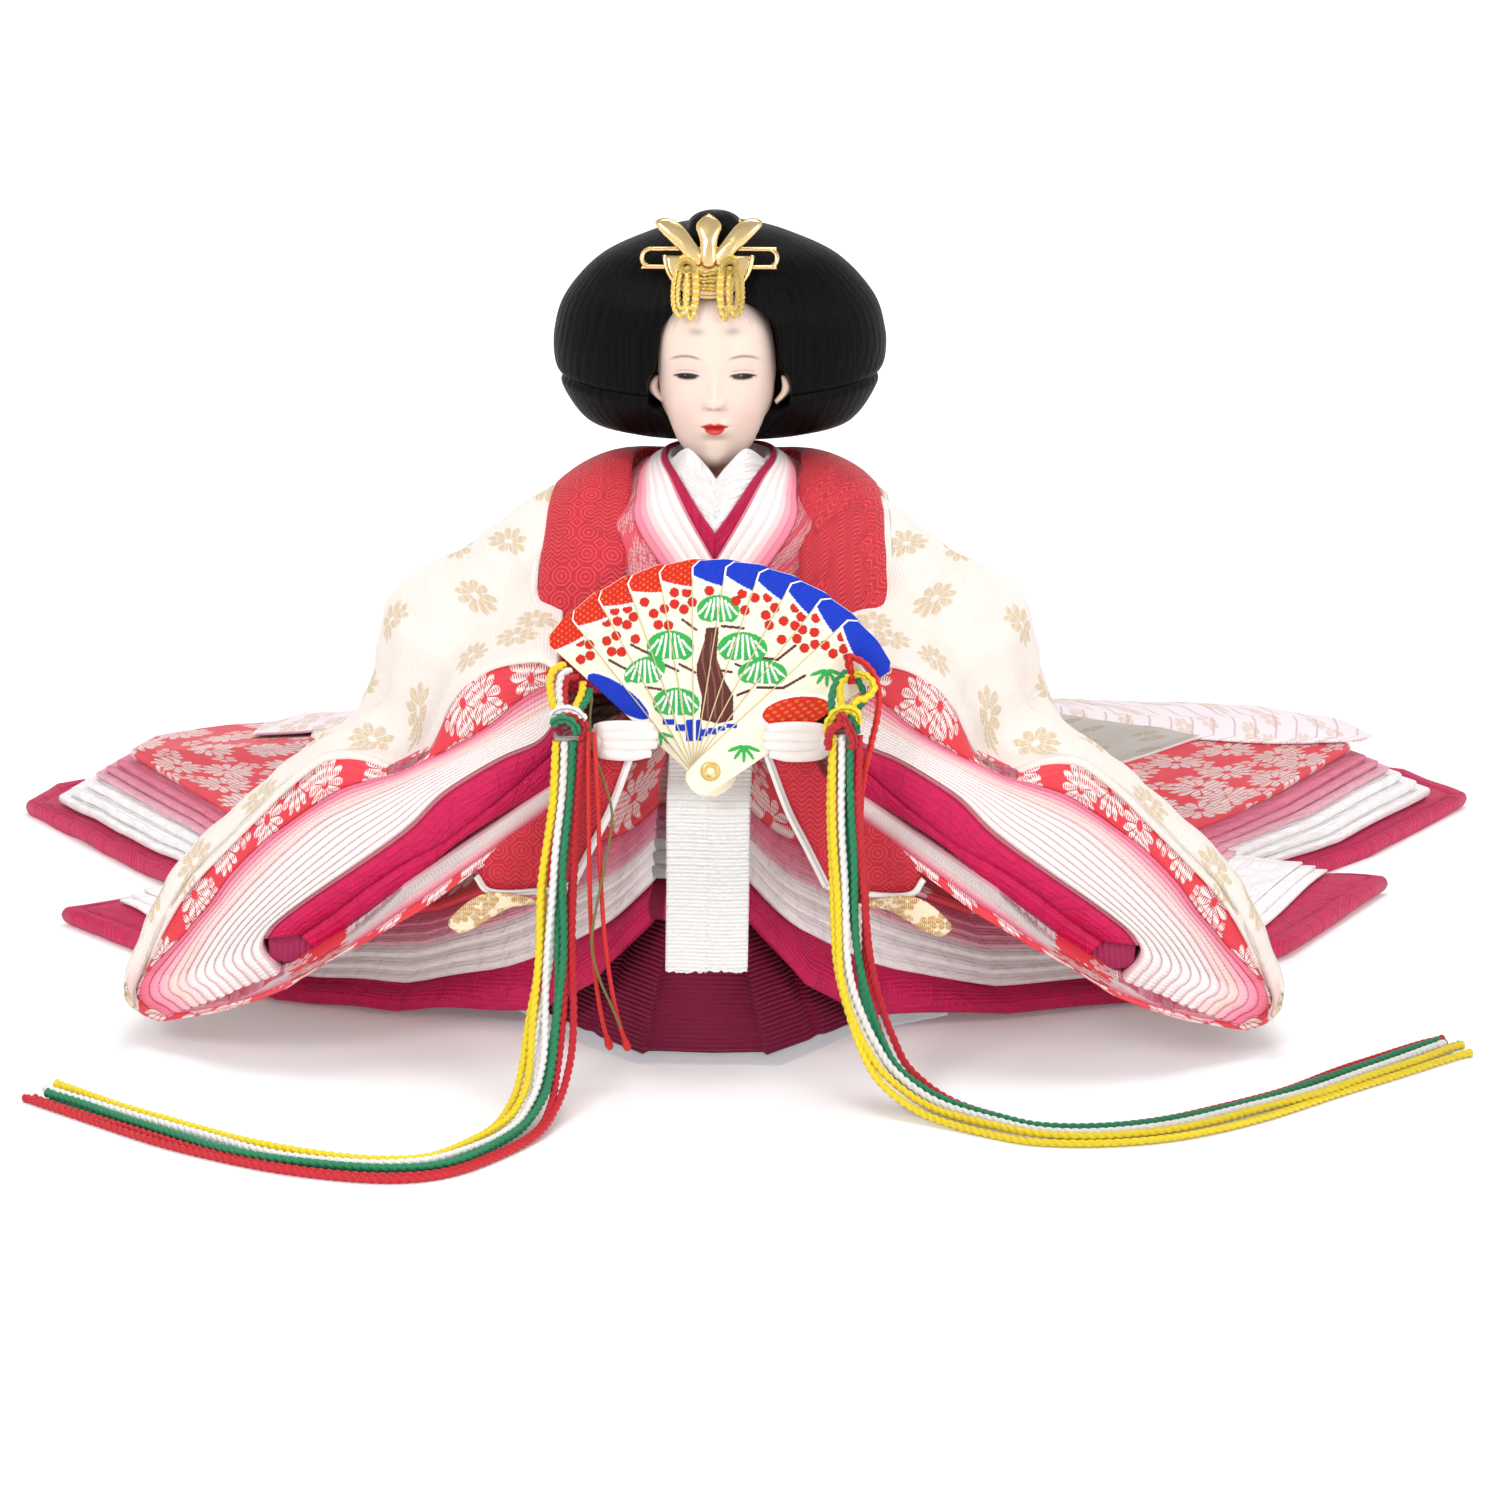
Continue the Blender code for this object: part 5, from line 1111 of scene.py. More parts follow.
# ---------------------------------------------------------------- crown
CROWN_PLACE = np.array((-0.0002, -0.0118, 0.1870))
CROWN_LEAN = math.radians(20.0)
CROWN_REAR = np.array((0.0, math.cos(CROWN_LEAN), -math.sin(CROWN_LEAN)))
CROWN_UP = np.array((0.0, math.sin(CROWN_LEAN), math.cos(CROWN_LEAN)))
CROWN_TURN = math.tau / 0.0024
BLADE_MIDDLE = ((-1.7, 0.0), (-2.2, 6.0), (-3.2, 9.8), (-2.4, 11.6), (-0.3, 13.2), (0.3, 13.2), (2.4, 11.6),
                (3.2, 9.8), (2.2, 6.0), (1.7, 0.0))
BLADE_LEFT = ((-3.4, -0.4), (-7.4, 4.0), (-11.6, 8.0), (-13.6, 11.2), (-10.6, 12.2), (-7.2, 10.6), (-4.0, 6.8),
              (-1.0, 1.8))
BLADE_RIGHT = tuple((-x, u) for x, u in BLADE_LEFT)
BEHIND_KNOT = ((0.0030, 0.004, 0.1935), (0.0068, 0.001, 0.1965), (0.0080, -0.003, 0.1930), (0.0060, -0.006, 0.1900))


def crown_at(x, u, rear):
    """A point on the leaning crown, in millimetres."""
    return CROWN_PLACE + (np.array((1.0, 0, 0)) * x + CROWN_UP * u + CROWN_REAR * rear) / 1000.0


def plate(name, outline, thick, mat, body, repl, crease, rear, at):
    """A thin plate with a raised middle, from its outline in a plane whose points the function at gives."""
    pts = np.asarray(outline, float)
    centre = pts.mean(axis=0)
    loops = [[at(*(centre + (p - centre) * share), rear - thick / 2 - crease * lift) for p in pts]
             for share, lift in ((0.08, 1.0), (0.45, 0.8), (0.86, 0.5), (1.0, 0.0))]
    loops.append([at(*p, rear + thick / 2) for p in pts])
    return rings(name, loops, mat, body, repl, uv=np.array(loops)[..., [0, 2]])


def make_crown():
    """The half disc with its three blades, the long pin, the pearls of cord and their coils."""
    gold, cord = MATS["gilt"], MATS["gold_cord"]
    a = np.linspace(math.pi, math.tau, 40)
    plate("crown-disc", [(11.4 * math.cos(t), 11.0 * math.sin(t) + 2.6) for t in a], 0.6, gold, "head",
          ["crown_plate"], 0.2, 0.0, crown_at)
    path = np.array([crown_at(11.1 * math.cos(t), 10.7 * math.sin(t) + 2.6, -0.6) for t in a])
    tube("crown-rim", path, 0.00055, gold, "head", slot="gilt", count=8)
    for word, outline, rear in (("middle", BLADE_MIDDLE, -0.9), ("left", BLADE_LEFT, -0.4), ("right", BLADE_RIGHT, -0.4)):
        fine = smooth_even(outline, 44, closed=True)[:-1]
        plate(f"crown-blade-{word}", fine, 0.5, gold, "head", (), 0.9, rear, crown_at)
    a = np.linspace(math.pi / 2, 3 * math.pi / 2, 14)
    pts = [crown_at(-14.6 + 2.3 * math.cos(t), 2.3 * math.sin(t) + 2.2, 0.9) for t in a]
    pts += [crown_at(15.0 - 2.3 * math.cos(t), -2.3 * math.sin(t) + 2.2, 0.9) for t in a]
    tube("hair-pin", smooth_even(pts + pts[:1], 200), 0.00062, gold, "head", ["hairpin"], "gilt", count=10)
    parts = []
    for k, u in enumerate((-0.6, -2.5, -4.4)):
        route = [crown_at(4.6 * q, u - 1.5 * (1 - q * q) + 0.2 * math.sin(q * 7 + k), -1.5)
                 for q in np.linspace(-1, 1, 60)]
        parts.append(tube_rings(np.array(route), 0.00085, 10, 2, CROWN_TURN, 0.45))
    joined("crown-swags", parts, cord, "head", ["crown_cord"])
    for side, word in ((-1, "left"), (1, "right")):
        coil = [crown_at(side * (5.4 + 1.7 * math.cos(q)), 0.8 + 1.5 * math.sin(q) - 0.12 * q, -1.4 - 0.10 * q)
                for q in np.linspace(0, math.tau * 2.6, 90)]
        parts = [tube_rings(np.array(coil), 0.0007, 8, 2, CROWN_TURN)]
        for x0, x1, low in ((3.2, 5.4, -14.2), (5.6, 8.4, -13.4), (3.9, 7.2, -11.2)):
            route = ((x0, -0.5), (x0 - 0.5, -6.0), (x0 - 0.1, -11.0), ((x0 + x1) / 2, low), (x1 + 0.1, -11.0),
                     (x1 + 0.3, -6.0), (x1 - 0.6, -0.5))
            fine = smooth_even([crown_at(side * x, u, -1.9 - 0.10 * abs(u)) for x, u in route], 110)
            parts.append(tube_rings(fine, 0.00072, 10, 2, CROWN_TURN, 0.45))
        joined(f"crown-cord-{word}", parts, cord, "head", ())
    tube("crown-cord-behind", smooth_even(BEHIND_KNOT, 60), 0.0008, cord, "head", slot="gold_cord", count=8, ply=2,
         turn=CROWN_TURN)


make_crown()


# ---------------------------------------------------------------- hands
def hand_mat():
    """Smooth white shell paint with a little wear."""
    m = Mat("hand-shell", 0.36, coat=0.1)
    n = m.noise(m.place(), 0.004, 3.0)
    m.bump(n, 0.00008)
    m.give("Subsurface Weight", 0.1)
    m.give("Subsurface Radius", (0.003, 0.002, 0.001))
    return m.colour(m.mix(m.ramp(n, 0.3, 0.8, 0.0, 0.4), srgb(240, 233, 229), srgb(226, 210, 202)))


def limb(side, line, count, high=1.0, deep=1.0):
    """Rings round a line of places in millimetres on the fan's plane, each with its half height and half depth."""
    x, u, rear, *half = (column[:, None] for column in cr(line, count).T)
    a = turns(20)
    return fan_at(side * x, u + half[0] * high * np.cos(a), rear + half[-1] * deep * np.sin(a))


def make_hands():
    """Two small white hands: four fingers before the slats, the thumb behind, and the wrist."""
    mat = hand_mat()
    stack = (SLATS - 1) / 2 * SLAT_PITCH + SLAT_THICK / 2
    thumb = ((28.0, 8.0, 1.5, 1.9), (24.0, 8.4, stack + 1.4, 1.7), (19.0, 8.6, stack + 2.0, 1.6),
             (14.4, 8.4, stack + 1.6, 1.2), (13.4, 8.4, stack + 1.4, 0.4))
    palm = ((29.0, 7.2, 0.0, 2.6, 3.1), (28.2, 7.2, 0.0, 3.2, 4.4), (27.0, 7.2, 0.0, 3.7, 5.4),
            (26.2, 7.2, 0.0, 3.6, 5.2), (25.7, 7.2, 0.0, 3.0, 4.4))
    for side, word in ((-1, "left"), (1, "right")):
        parts = []
        for low, top, tip in ((4.0, 4.4, 14.2), (6.4, 6.6, 12.8), (8.8, 8.8, 12.6), (11.0, 10.8, 13.6)):
            finger = ((28.6, low * 0.55 + 3.3, -1.4, 1.7), (26.4, low * 0.8 + 1.5, -(stack + 0.6), 1.75),
                      (22.5, low, -(stack + 1.55), 1.45), (18.5, low, -(stack + 1.75), 1.40),
                      (tip + 1.6, top, -(stack + 1.55), 1.25), (tip + 0.3, top, -(stack + 1.30), 0.95),
                      (tip, top, -(stack + 1.25), 0.35))
            parts.append(limb(side, finger, 40, 0.98, 0.85))
        parts += [limb(side, thumb, 30, deep=0.85), limb(side, palm, 16)]
        joined(f"hand-{word}", parts, mat, "doll", [f"hand_{word}"])


make_hands()

# ---------------------------------------------------------------- robe hems
TRAIN_HALF, TRAIN_DEPTH = 0.2125, 0.197
ROBE_BORE_R, LAP_TOP = 0.025, 0.056
HEM_PAD, WHITE_PILE, PINK_PILE, CORAL_PILE = 0.0050, 0.0087, 0.0060, 0.0036
SEAT_GAP, CLOTH_GAP = 0.0003, 0.0008
COAT_THICK, MO_THICK = 0.0015, 0.0010
# A hem's sheet starts at this share of the reach, and its rim takes up the last of it.
ROBE_START, ROBE_RIM = 0.08, 0.07
HEM_SHARES = np.array((
    # across, along, lift of the hem, steepness, pile of the upper groups
    (-0.058, -0.411, 0.80, 1.0, 1.00), (-0.128, -0.381, 0.39, 0.6, 0.95), (-0.198, -0.325, 0.05, 0.6, 0.90),
    (-0.377, -0.274, 0.00, 1.1, 0.70), (-0.528, -0.223, 0.00, 1.3, 0.50), (-0.697, -0.041, 0.00, 1.5, 0.40),
    (-0.838, 0.122, 0.00, 1.6, 0.35), (-0.683, 0.234, 0.00, 1.6, 0.50), (-0.801, 0.406, 0.00, 1.7, 0.80),
    (-0.976, 0.675, 0.00, 1.9, 1.00), (-0.951, 0.766, 0.00, 2.0, 1.00), (-0.843, 0.853, 0.00, 2.0, 1.00),
    (-0.575, 0.944, 0.00, 2.1, 1.00), (-0.282, 0.985, 0.00, 2.2, 1.00), (0.000, 1.000, 0.00, 2.2, 1.00),
    (0.282, 1.000, 0.00, 2.2, 1.00), (0.565, 0.995, 0.00, 2.1, 1.00), (0.833, 0.965, 0.00, 2.0, 1.00),
    (0.960, 0.890, 0.00, 2.0, 1.00), (1.030, 0.770, 0.00, 1.9, 1.00), (0.875, 0.503, 0.00, 1.7, 0.80),
    (0.734, 0.325, 0.00, 1.6, 0.50), (0.875, 0.320, 0.00, 1.6, 0.35), (0.724, 0.015, 0.00, 1.5, 0.40),
    (0.555, -0.193, 0.00, 1.3, 0.50), (0.366, -0.269, 0.00, 1.1, 0.70), (0.192, -0.325, 0.05, 0.6, 0.90),
    (0.122, -0.381, 0.39, 0.6, 0.95), (0.056, -0.411, 0.80, 1.0, 1.00),
))
SPOKES = len(HEM_SHARES)


def hem_row(spoke):
    """The hem table between its spokes."""
    spoke = np.asarray(spoke, float) % SPOKES
    i = np.floor(spoke).astype(int)
    f = (spoke - i)[..., None]
    return HEM_SHARES[i] * (1 - f) + HEM_SHARES[(i + 1) % SPOKES] * f


def robe_at(spoke, share, rise=0.0):
    """Points over the lap, out along the spokes by shares, at a rise above the lowest robe's underside."""
    row = hem_row(spoke)
    hem = row[..., :2] * (TRAIN_HALF, TRAIN_DEPTH)
    far = np.linalg.norm(hem, axis=-1)
    plan = hem / far[..., None] * (ROBE_BORE_R + share * (far - ROBE_BORE_R))[..., None]
    low = row[..., 2] * LAP_TOP
    z = low + (LAP_TOP - low) * np.clip(1 - share, 0, 1) ** row[..., 3]
    x, y = plan[..., 0], plan[..., 1]
    swell = 0.0007 * np.sin(x * 95 + 1.0) * np.sin(y * 80 + 0.6) + 0.0004 * np.sin(x * 210 - y * 160)
    z = z + rise + np.maximum(swell * share**2, -0.0004 * (share > 0.9)) * 0.7 + 0.0002
    return np.concatenate((plan, z[..., None]), axis=-1)


def front_fall(spoke, share, reach, deep):
    """How far a hem falls in front, each side of the ribbon."""
    away = np.abs((np.asarray(spoke) + 15.0) % SPOKES - 14.5)
    return deep * np.interp(away, (0.0, 0.5, 1.5, 2.5), (1.0, 1.0, 0.64, 0.0)) * np.clip(
        (share - 0.3) / (reach - 0.3), 0, 1) ** 2


def drawn_in(spoke, amount):
    """The upper robes reach less far at the train's second corners."""
    spoke = np.asarray(spoke, float)
    return 1 - amount * (bell(spoke - 6, 0.8) + bell(spoke - 22, 0.8))


def robe(name, nodes, lower, group, part, of, reach, mat, fall, seam=0.0, drawn=0.0):
    """One sheet of the robes' hems: it follows the lap and ends in a rolled edge."""
    rows = SPOKES * 8
    spoke = np.arange(rows) / 8.0
    share = np.concatenate((np.linspace(ROBE_START, reach - ROBE_RIM, 34),
                            reach - ROBE_RIM * (1 - np.linspace(0, 1, 22)[1:]) ** 1.6))
    s, h = np.meshgrid(spoke, share, indexing="ij")
    pile = hem_row(s)[..., 4]
    if group is None:
        thick, middle = np.full(s.shape, HEM_PAD - 0.0003), np.full(s.shape, HEM_PAD / 2)
    else:
        thick = pile * group / of - 0.00008
        middle = HEM_PAD + pile * (sum(lower) + group * (part + 0.5) / of) + SEAT_GAP * (1 + len(lower))
    grid = robe_at(s, h * drawn_in(s, drawn), middle)
    grid[..., 2] -= front_fall(s, h, reach, fall)
    out = np.linalg.norm(grid[:, -1:, :2] - grid[:, :, :2], axis=2)
    near = np.clip(out / (thick * 0.5), 0, 1)
    thick = thick * np.sqrt(np.clip(1 - (1 - near) ** 2, 0.02, 1))
    if seam:
        thick = thick * (1 - 0.30 * bell(out - seam, 0.0007)) * (1 + 0.10 * bell(out - seam * 0.5, 0.0018))
    return slab(name, grid, thick, mat, nodes, closed=True, edge=0.25, uv=robe_uv(grid))


def robe_uv(grid):
    """Cloth coordinates for a hem: along the hem, and in from it."""
    along = lengths(np.concatenate((grid[:, -1], grid[:1, -1])))[:-1]
    inward = np.linalg.norm(grid - grid[:, -1:], axis=2)
    return np.stack((np.broadcast_to(along[:, None], inward.shape), inward), axis=2)


def make_robes():
    """The padded magenta robe, three white, three pink and the coral one, each shorter than the one below."""
    magenta = silk("hem-magenta", MAGENTA, 0.0011, 1, 0.00016, 0.3, 0.50, 0.35, emboss=0.22, cell=0.011)
    obj = robe("robe-magenta", ["skirt_magenta"], (), None, 0, 1, 1.0, magenta, 0.0118,
               seam=0.0062)
    white = silk("hem-white", srgb(252, 248, 248), 0.0012, 1, 0.00012, 0.10, 0.55, 0.25, emboss=0.16, cell=0.008)
    for k, reach in enumerate((0.94, 0.918, 0.893)):
        obj = robe(f"robe-white-{k + 1}", ["skirt_white"] if k == 0 else [], (), WHITE_PILE, k, 3, reach, white,
                   0.0072, seam=0.005, drawn=0.05)
        cloth(obj, 0.42, 0.42)
    pinks = (srgb(242, 178, 192), srgb(238, 150, 172), srgb(234, 128, 156))
    for k, reach in enumerate((0.872, 0.855, 0.835)):
        mat = silk(f"hem-pink-{k + 1}", pinks[k], 0.0011, 1, 0.00016, 0.16, 0.5, 0.3, emboss=0.2, cell=0.007)
        obj = robe(f"robe-pink-{k + 1}", ["skirt_pink"] if k == 0 else [], (WHITE_PILE,), PINK_PILE, k, 3, reach, mat,
                   0.0074, seam=0.005, drawn=0.16)
        cloth(obj, 0.40, 0.40)
    coral = brocade("hem-coral", CORAL, srgb(252, 236, 232), 0.021, 12, 0.0014, 0.00020, 0.92, 0.5,
                    second=srgb(206, 44, 58))
    obj = robe("robe-coral", ["skirt_coral"], (WHITE_PILE, PINK_PILE), CORAL_PILE, 0, 1, 0.81, coral,
               0.0073, drawn=0.22)
    cloth(obj, 0.38, 0.38)


make_robes()

# ---------------------------------------------------------------- coat behind, apron train
BACK_HALF, BACK_TOP = 0.0380, 0.1150
COAT_HIP_SHARES = ((1.0, 0.96, 0.62), (0.86, 1.0, 0.88), (0.74, 1.14, 1.16))


def coat_grid(first, last, shares, reach, lift, rows, cols, skip=0):
    """Cloth down the doll's back, from the jacket over the hips and out over the train.

    reach gives, for spokes across the back, how much of the full reach the cloth has there.
    """
    spokes = np.linspace(first, last, rows)
    columns = []
    for s in spokes:
        row = hem_row(s)
        turn = math.atan2(row[0] * TRAIN_HALF, row[1] * TRAIN_DEPTH)
        column = [(BACK_HALF * w * math.sin(turn), BACK_HALF * d * math.cos(turn), BACK_TOP * h)
                  for h, w, d in COAT_HIP_SHARES]
        short = np.interp(s, *reach)
        for share in shares:
            share = 0.24 + (share - 0.24) * short
            rise = HEM_PAD + row[4] * (WHITE_PILE + PINK_PILE + CORAL_PILE) + SEAT_GAP * 4
            column.append(robe_at(np.array(s), np.array(share), rise))
        columns.append(cr(column[skip:], cols))
    grid = np.array(columns)
    down = np.linspace(0, 1, cols)[None, :]
    side = np.minimum(np.linspace(0, 1, rows), np.linspace(1, 0, rows))[:, None]
    fold = np.sin(np.linspace(0, 1, rows) * math.tau * 9 + 0.8)[:, None] * (0.2 + 0.8 * down)
    settle = np.clip(np.minimum(side / 0.05, (1 - down) / 0.10), 0.25, 1)
    grid[..., 2] += lift * settle + 0.0005 * fold * settle
    grid[..., 1] += lift * 0.5
    return grid


# Off-white figured gauze with fine ribs and gold sprigs.
COAT = brocade("coat-gauze", srgb(239, 229, 221), srgb(206, 174, 112), 0.0230, 9, 0.0016, 0.00015, 0.66, 0.62,
               second=srgb(233, 216, 206), reach=0.27, pitch=0.0009, leaves=0.0)


def make_coat():
    """The coat's back, and the thin pleated apron over it."""
    grid = coat_grid(7.4, 20.4, (0.24, 0.38, 0.50, 0.62, 0.74), ((7.4, 11, 12.5, 16, 20.4), (0.45, 0.62, 1, 1, 0.52)),
                     COAT_THICK, 150, 70)
    obj = slab("coat-back", grid, COAT_THICK, COAT, ["coat_back"])
    cloth(obj, 0.34, 0.22)
    m = Mat("mo-gauze", 0.6, 0.2)
    uv = m.uv()
    x, y, _ = m.xyz(uv)
    crest = m.mul(m.flower(uv, 0.020, 7, 0.33), m.ramp(m.wave(x, 0.0012), -0.6, 0.2))
    # Thin darker lilac lines at the pleats are painted shade of the folds.
    pleat = m.math("ABSOLUTE", m.wave(y, 0.026))
    m.bump(m.add(m.wave(x, 0.0010), m.mul(m.noise(uv, 0.0006), 0.8)), 0.00008)
    m.colour(m.mix(m.mul(crest, 0.75), m.mix(m.ramp(pleat, 0.0, 0.25), srgb(206, 168, 186),
                                                           srgb(246, 232, 236)), srgb(206, 160, 88)))
    grid = coat_grid(9.9, 19.1, (0.24, 0.38, 0.50, 0.62, 0.74, 0.88), ((9.9, 11, 12.5, 18.5, 19.1),
                                                                      (0.60, 0.76, 1, 0.96, 0.94)),
                     COAT_THICK + CLOTH_GAP + MO_THICK, 170, 70, 1)
    obj = slab("mo-train", grid, MO_THICK * 0.7, m.mat, ["mo_train"])
    cloth(obj, 0.36, 0.24)


make_coat()

# ---------------------------------------------------------------- hakama, ribbon
HAKAMA_HALF, HAKAMA_FRONT, HAKAMA_TOP = 0.040, 0.084, 0.038
HAKAMA_FOOT_SHARES = ((-1.05, -0.60), (-0.36, -1.00), (-0.33, -0.972), (0.38, -0.972), (0.41, -1.00), (1.08, -0.60),
                      (0.90, -0.52), (-0.90, -0.52))
HAKAMA_RING_SHARES = ((0.0, 1.0, 1.0), (0.45, 0.76, 0.97), (1.0, 0.42, 0.92))


def make_hakama():
    """The dark crimson trousers: a flat middle panel between two deep pleats, and the sides."""
    foot = np.array(HAKAMA_FOOT_SHARES)
    edge = np.concatenate([np.linspace(foot[k], foot[(k + 1) % 8], n, endpoint=False)
                           for k, n in enumerate((44, 4, 70, 4, 44, 6, 50, 6))])
    levels = np.linspace(0, 1, 44)
    share, *sizes = zip(*HAKAMA_RING_SHARES)
    wide, deep = (np.interp(levels, share, size) for size in sizes)
    low = 0.0009
    loops = []
    for s, w, d in zip(levels, wide, deep):
        x = edge[:, 0] * w * HAKAMA_HALF
        y = edge[:, 1] * d * HAKAMA_FRONT
        front = edge[:, 1] < -0.53
        tuck = bell(edge[:, 0] - 0.72, 0.03) + bell(edge[:, 0] + 0.70, 0.03)
        ripple = 0.0005 * np.sin(edge[:, 0] * 9 + 1) - 0.0016 * tuck
        y = y - np.where(front, ripple, 0.0) - 0.0012 * np.sin(math.pi * s) * front
        loops.append(spots(x, y, low + s * (HAKAMA_TOP - low)))
    m = silk("hakama-crimson", srgb(134, 6, 58), 0.0012, 1, 0.00045, 0.25, 0.5, 0.3)
    obj = rings("hakama-front", loops, m, "doll", ["hakama"])


make_hakama()

RIBBON_SHARES = ((-0.34, 0.872), (-0.52, 0.792), (-0.68, 0.722), (-0.81, 0.672), (-0.865, 0.600), (-0.885, 0.480),
                 (-0.940, 0.380), (-1.000, 0.280))
RIBBON_SIZE, RIBBON_HALF, RIBBON_SHIFT = 0.100, 0.0100, 0.0020


def make_ribbon():
    """The white grosgrain ribbon that hangs from the waist."""
    line = smooth_even(np.array(RIBBON_SHARES) * RIBBON_SIZE, 130)
    across = np.concatenate((np.linspace(-1, -0.06, 16), (-0.03, 0.0, 0.03), np.linspace(0.06, 1, 16)))
    grid = np.zeros((len(line), len(across), 3))
    grid[..., 0] = RIBBON_SHIFT + across[None, :] * RIBBON_HALF * np.linspace(1.03, 0.97, len(line))[:, None]
    grid[..., 1] = line[:, :1] + 0.0004 * np.sin(across * 3 + 0.6)[None, :] * np.linspace(0, 1, len(line))[:, None]
    grid[..., 2] = line[:, 1:]
    grid[..., 1] += 0.00030 * bell(across, 0.05)[None, :]
    grid[-1, :, 2] += RANDOM.normal(0, 0.00025, len(across))
    m = silk("ribbon-grosgrain", srgb(250, 248, 246), 0.0019, 1, 0.00075, 0.06, 0.75, 0.15)
    obj = slab("ribbon", grid, 0.0009, m, ["waist_ribbon"], edge=0.4)
    cloth(obj, 0.021, 0.094)


make_ribbon()

# ---------------------------------------------------------------- collars, jacket
COLLAR_SHARES = (
    ((0.000, -0.385, 1.228), (0.0, -0.55, -1.60), (0.0, -0.78, 0.62)),
    ((-0.050, -0.332, 1.290), (-0.90, -0.30, -0.42), (-0.10, -0.73, 0.68)),
    ((-0.096, -0.235, 1.345), (-0.92, -0.18, -0.38), (-0.22, -0.60, 0.76)),
    ((-0.128, -0.080, 1.362), (-0.93, 0.05, -0.36), (-0.34, -0.10, 0.93)),
    ((-0.108, 0.070, 1.362), (-0.72, 0.55, -0.42), (-0.30, 0.30, 0.90)),
    ((0.000, 0.124, 1.360), (0.0, 0.85, -0.52), (0.0, 0.52, 0.85)),
)
MAGENTA_BAND_SHARES = ((0.0, 0.040), (0.0, 0.026), (0.0, 0.018), (0.0, 0.014), (0.0, 0.012), (0.0, 0.012))
UNDER_SHARES = ((0.145, 0.250), (0.147, 0.235), (0.106, 0.165), (0.057, 0.105), (0.028, 0.085), (0.024, 0.060))
STACK_BAND_SHARES = ((0.043, 0.150), (0.029, 0.150), (0.021, 0.110), (0.017, 0.060), (0.015, 0.030), (0.015, 0.026))
JACKET_SHARES = (
    ((-0.185, -0.500, 0.860), (-0.405, -0.470, 0.860), (0.0, -1.0, 0.05)),
    ((-0.195, -0.495, 1.000), (-0.410, -0.450, 0.990), (0.0, -1.0, 0.15)),
    ((-0.190, -0.430, 1.150), (-0.406, -0.380, 1.130), (-0.05, -0.92, 0.38)),
    ((-0.185, -0.240, 1.300), (-0.396, -0.220, 1.252), (-0.12, -0.62, 0.78)),
    ((-0.185, -0.060, 1.345), (-0.378, -0.040, 1.268), (-0.24, -0.05, 0.96)),
    ((-0.160, 0.100, 1.340), (-0.315, 0.160, 1.225), (-0.30, 0.55, 0.80)),
    ((0.000, 0.170, 1.330), (0.000, 0.265, 1.150), (0.0, 0.90, 0.42)),
)
COLLAR_SIZE, COLLAR_SHIFT = 0.100, 0.0022
JACKET_SHIFT = 0.0017
# The robe's front below the collars, which shows when the fan is folded or lifted away.
FRONT_TOP, FRONT_FOOT, FRONT_HALF, FRONT_Y, FRONT_SLOPE, FRONT_CURVE = 0.1185, 0.0815, 0.0245, -0.0381, 0.3325, 6.0


def mirrored_line(half):
    """A line on both sides of the doll, from its front left end round the back to its front right end."""
    return np.concatenate((half, mirror(half[::-1])[1:]))


def band_strip(name, inner, outer, normal, thick, mat, nodes=(), lift=0.0, pad=0.0):
    """A band of cloth between two lines, with rounded edges and some padding."""
    t = np.linspace(0, 1, 15)
    grid = inner[:, None] * (1 - t[None, :, None]) + outer[:, None] * t[None, :, None]
    puff = np.sin(math.pi * t) ** 0.7
    grid = grid + normal[:, None] * (lift + thick / 2 + pad * puff[None, :, None] * 0.5)
    edge = np.sqrt(np.clip(1 - (2 * np.abs(t - 0.5)) ** 6, 0.06, 1))
    return slab(name, grid, thick * edge[None, :] + pad * puff[None, :], mat, nodes, edge=0.2)


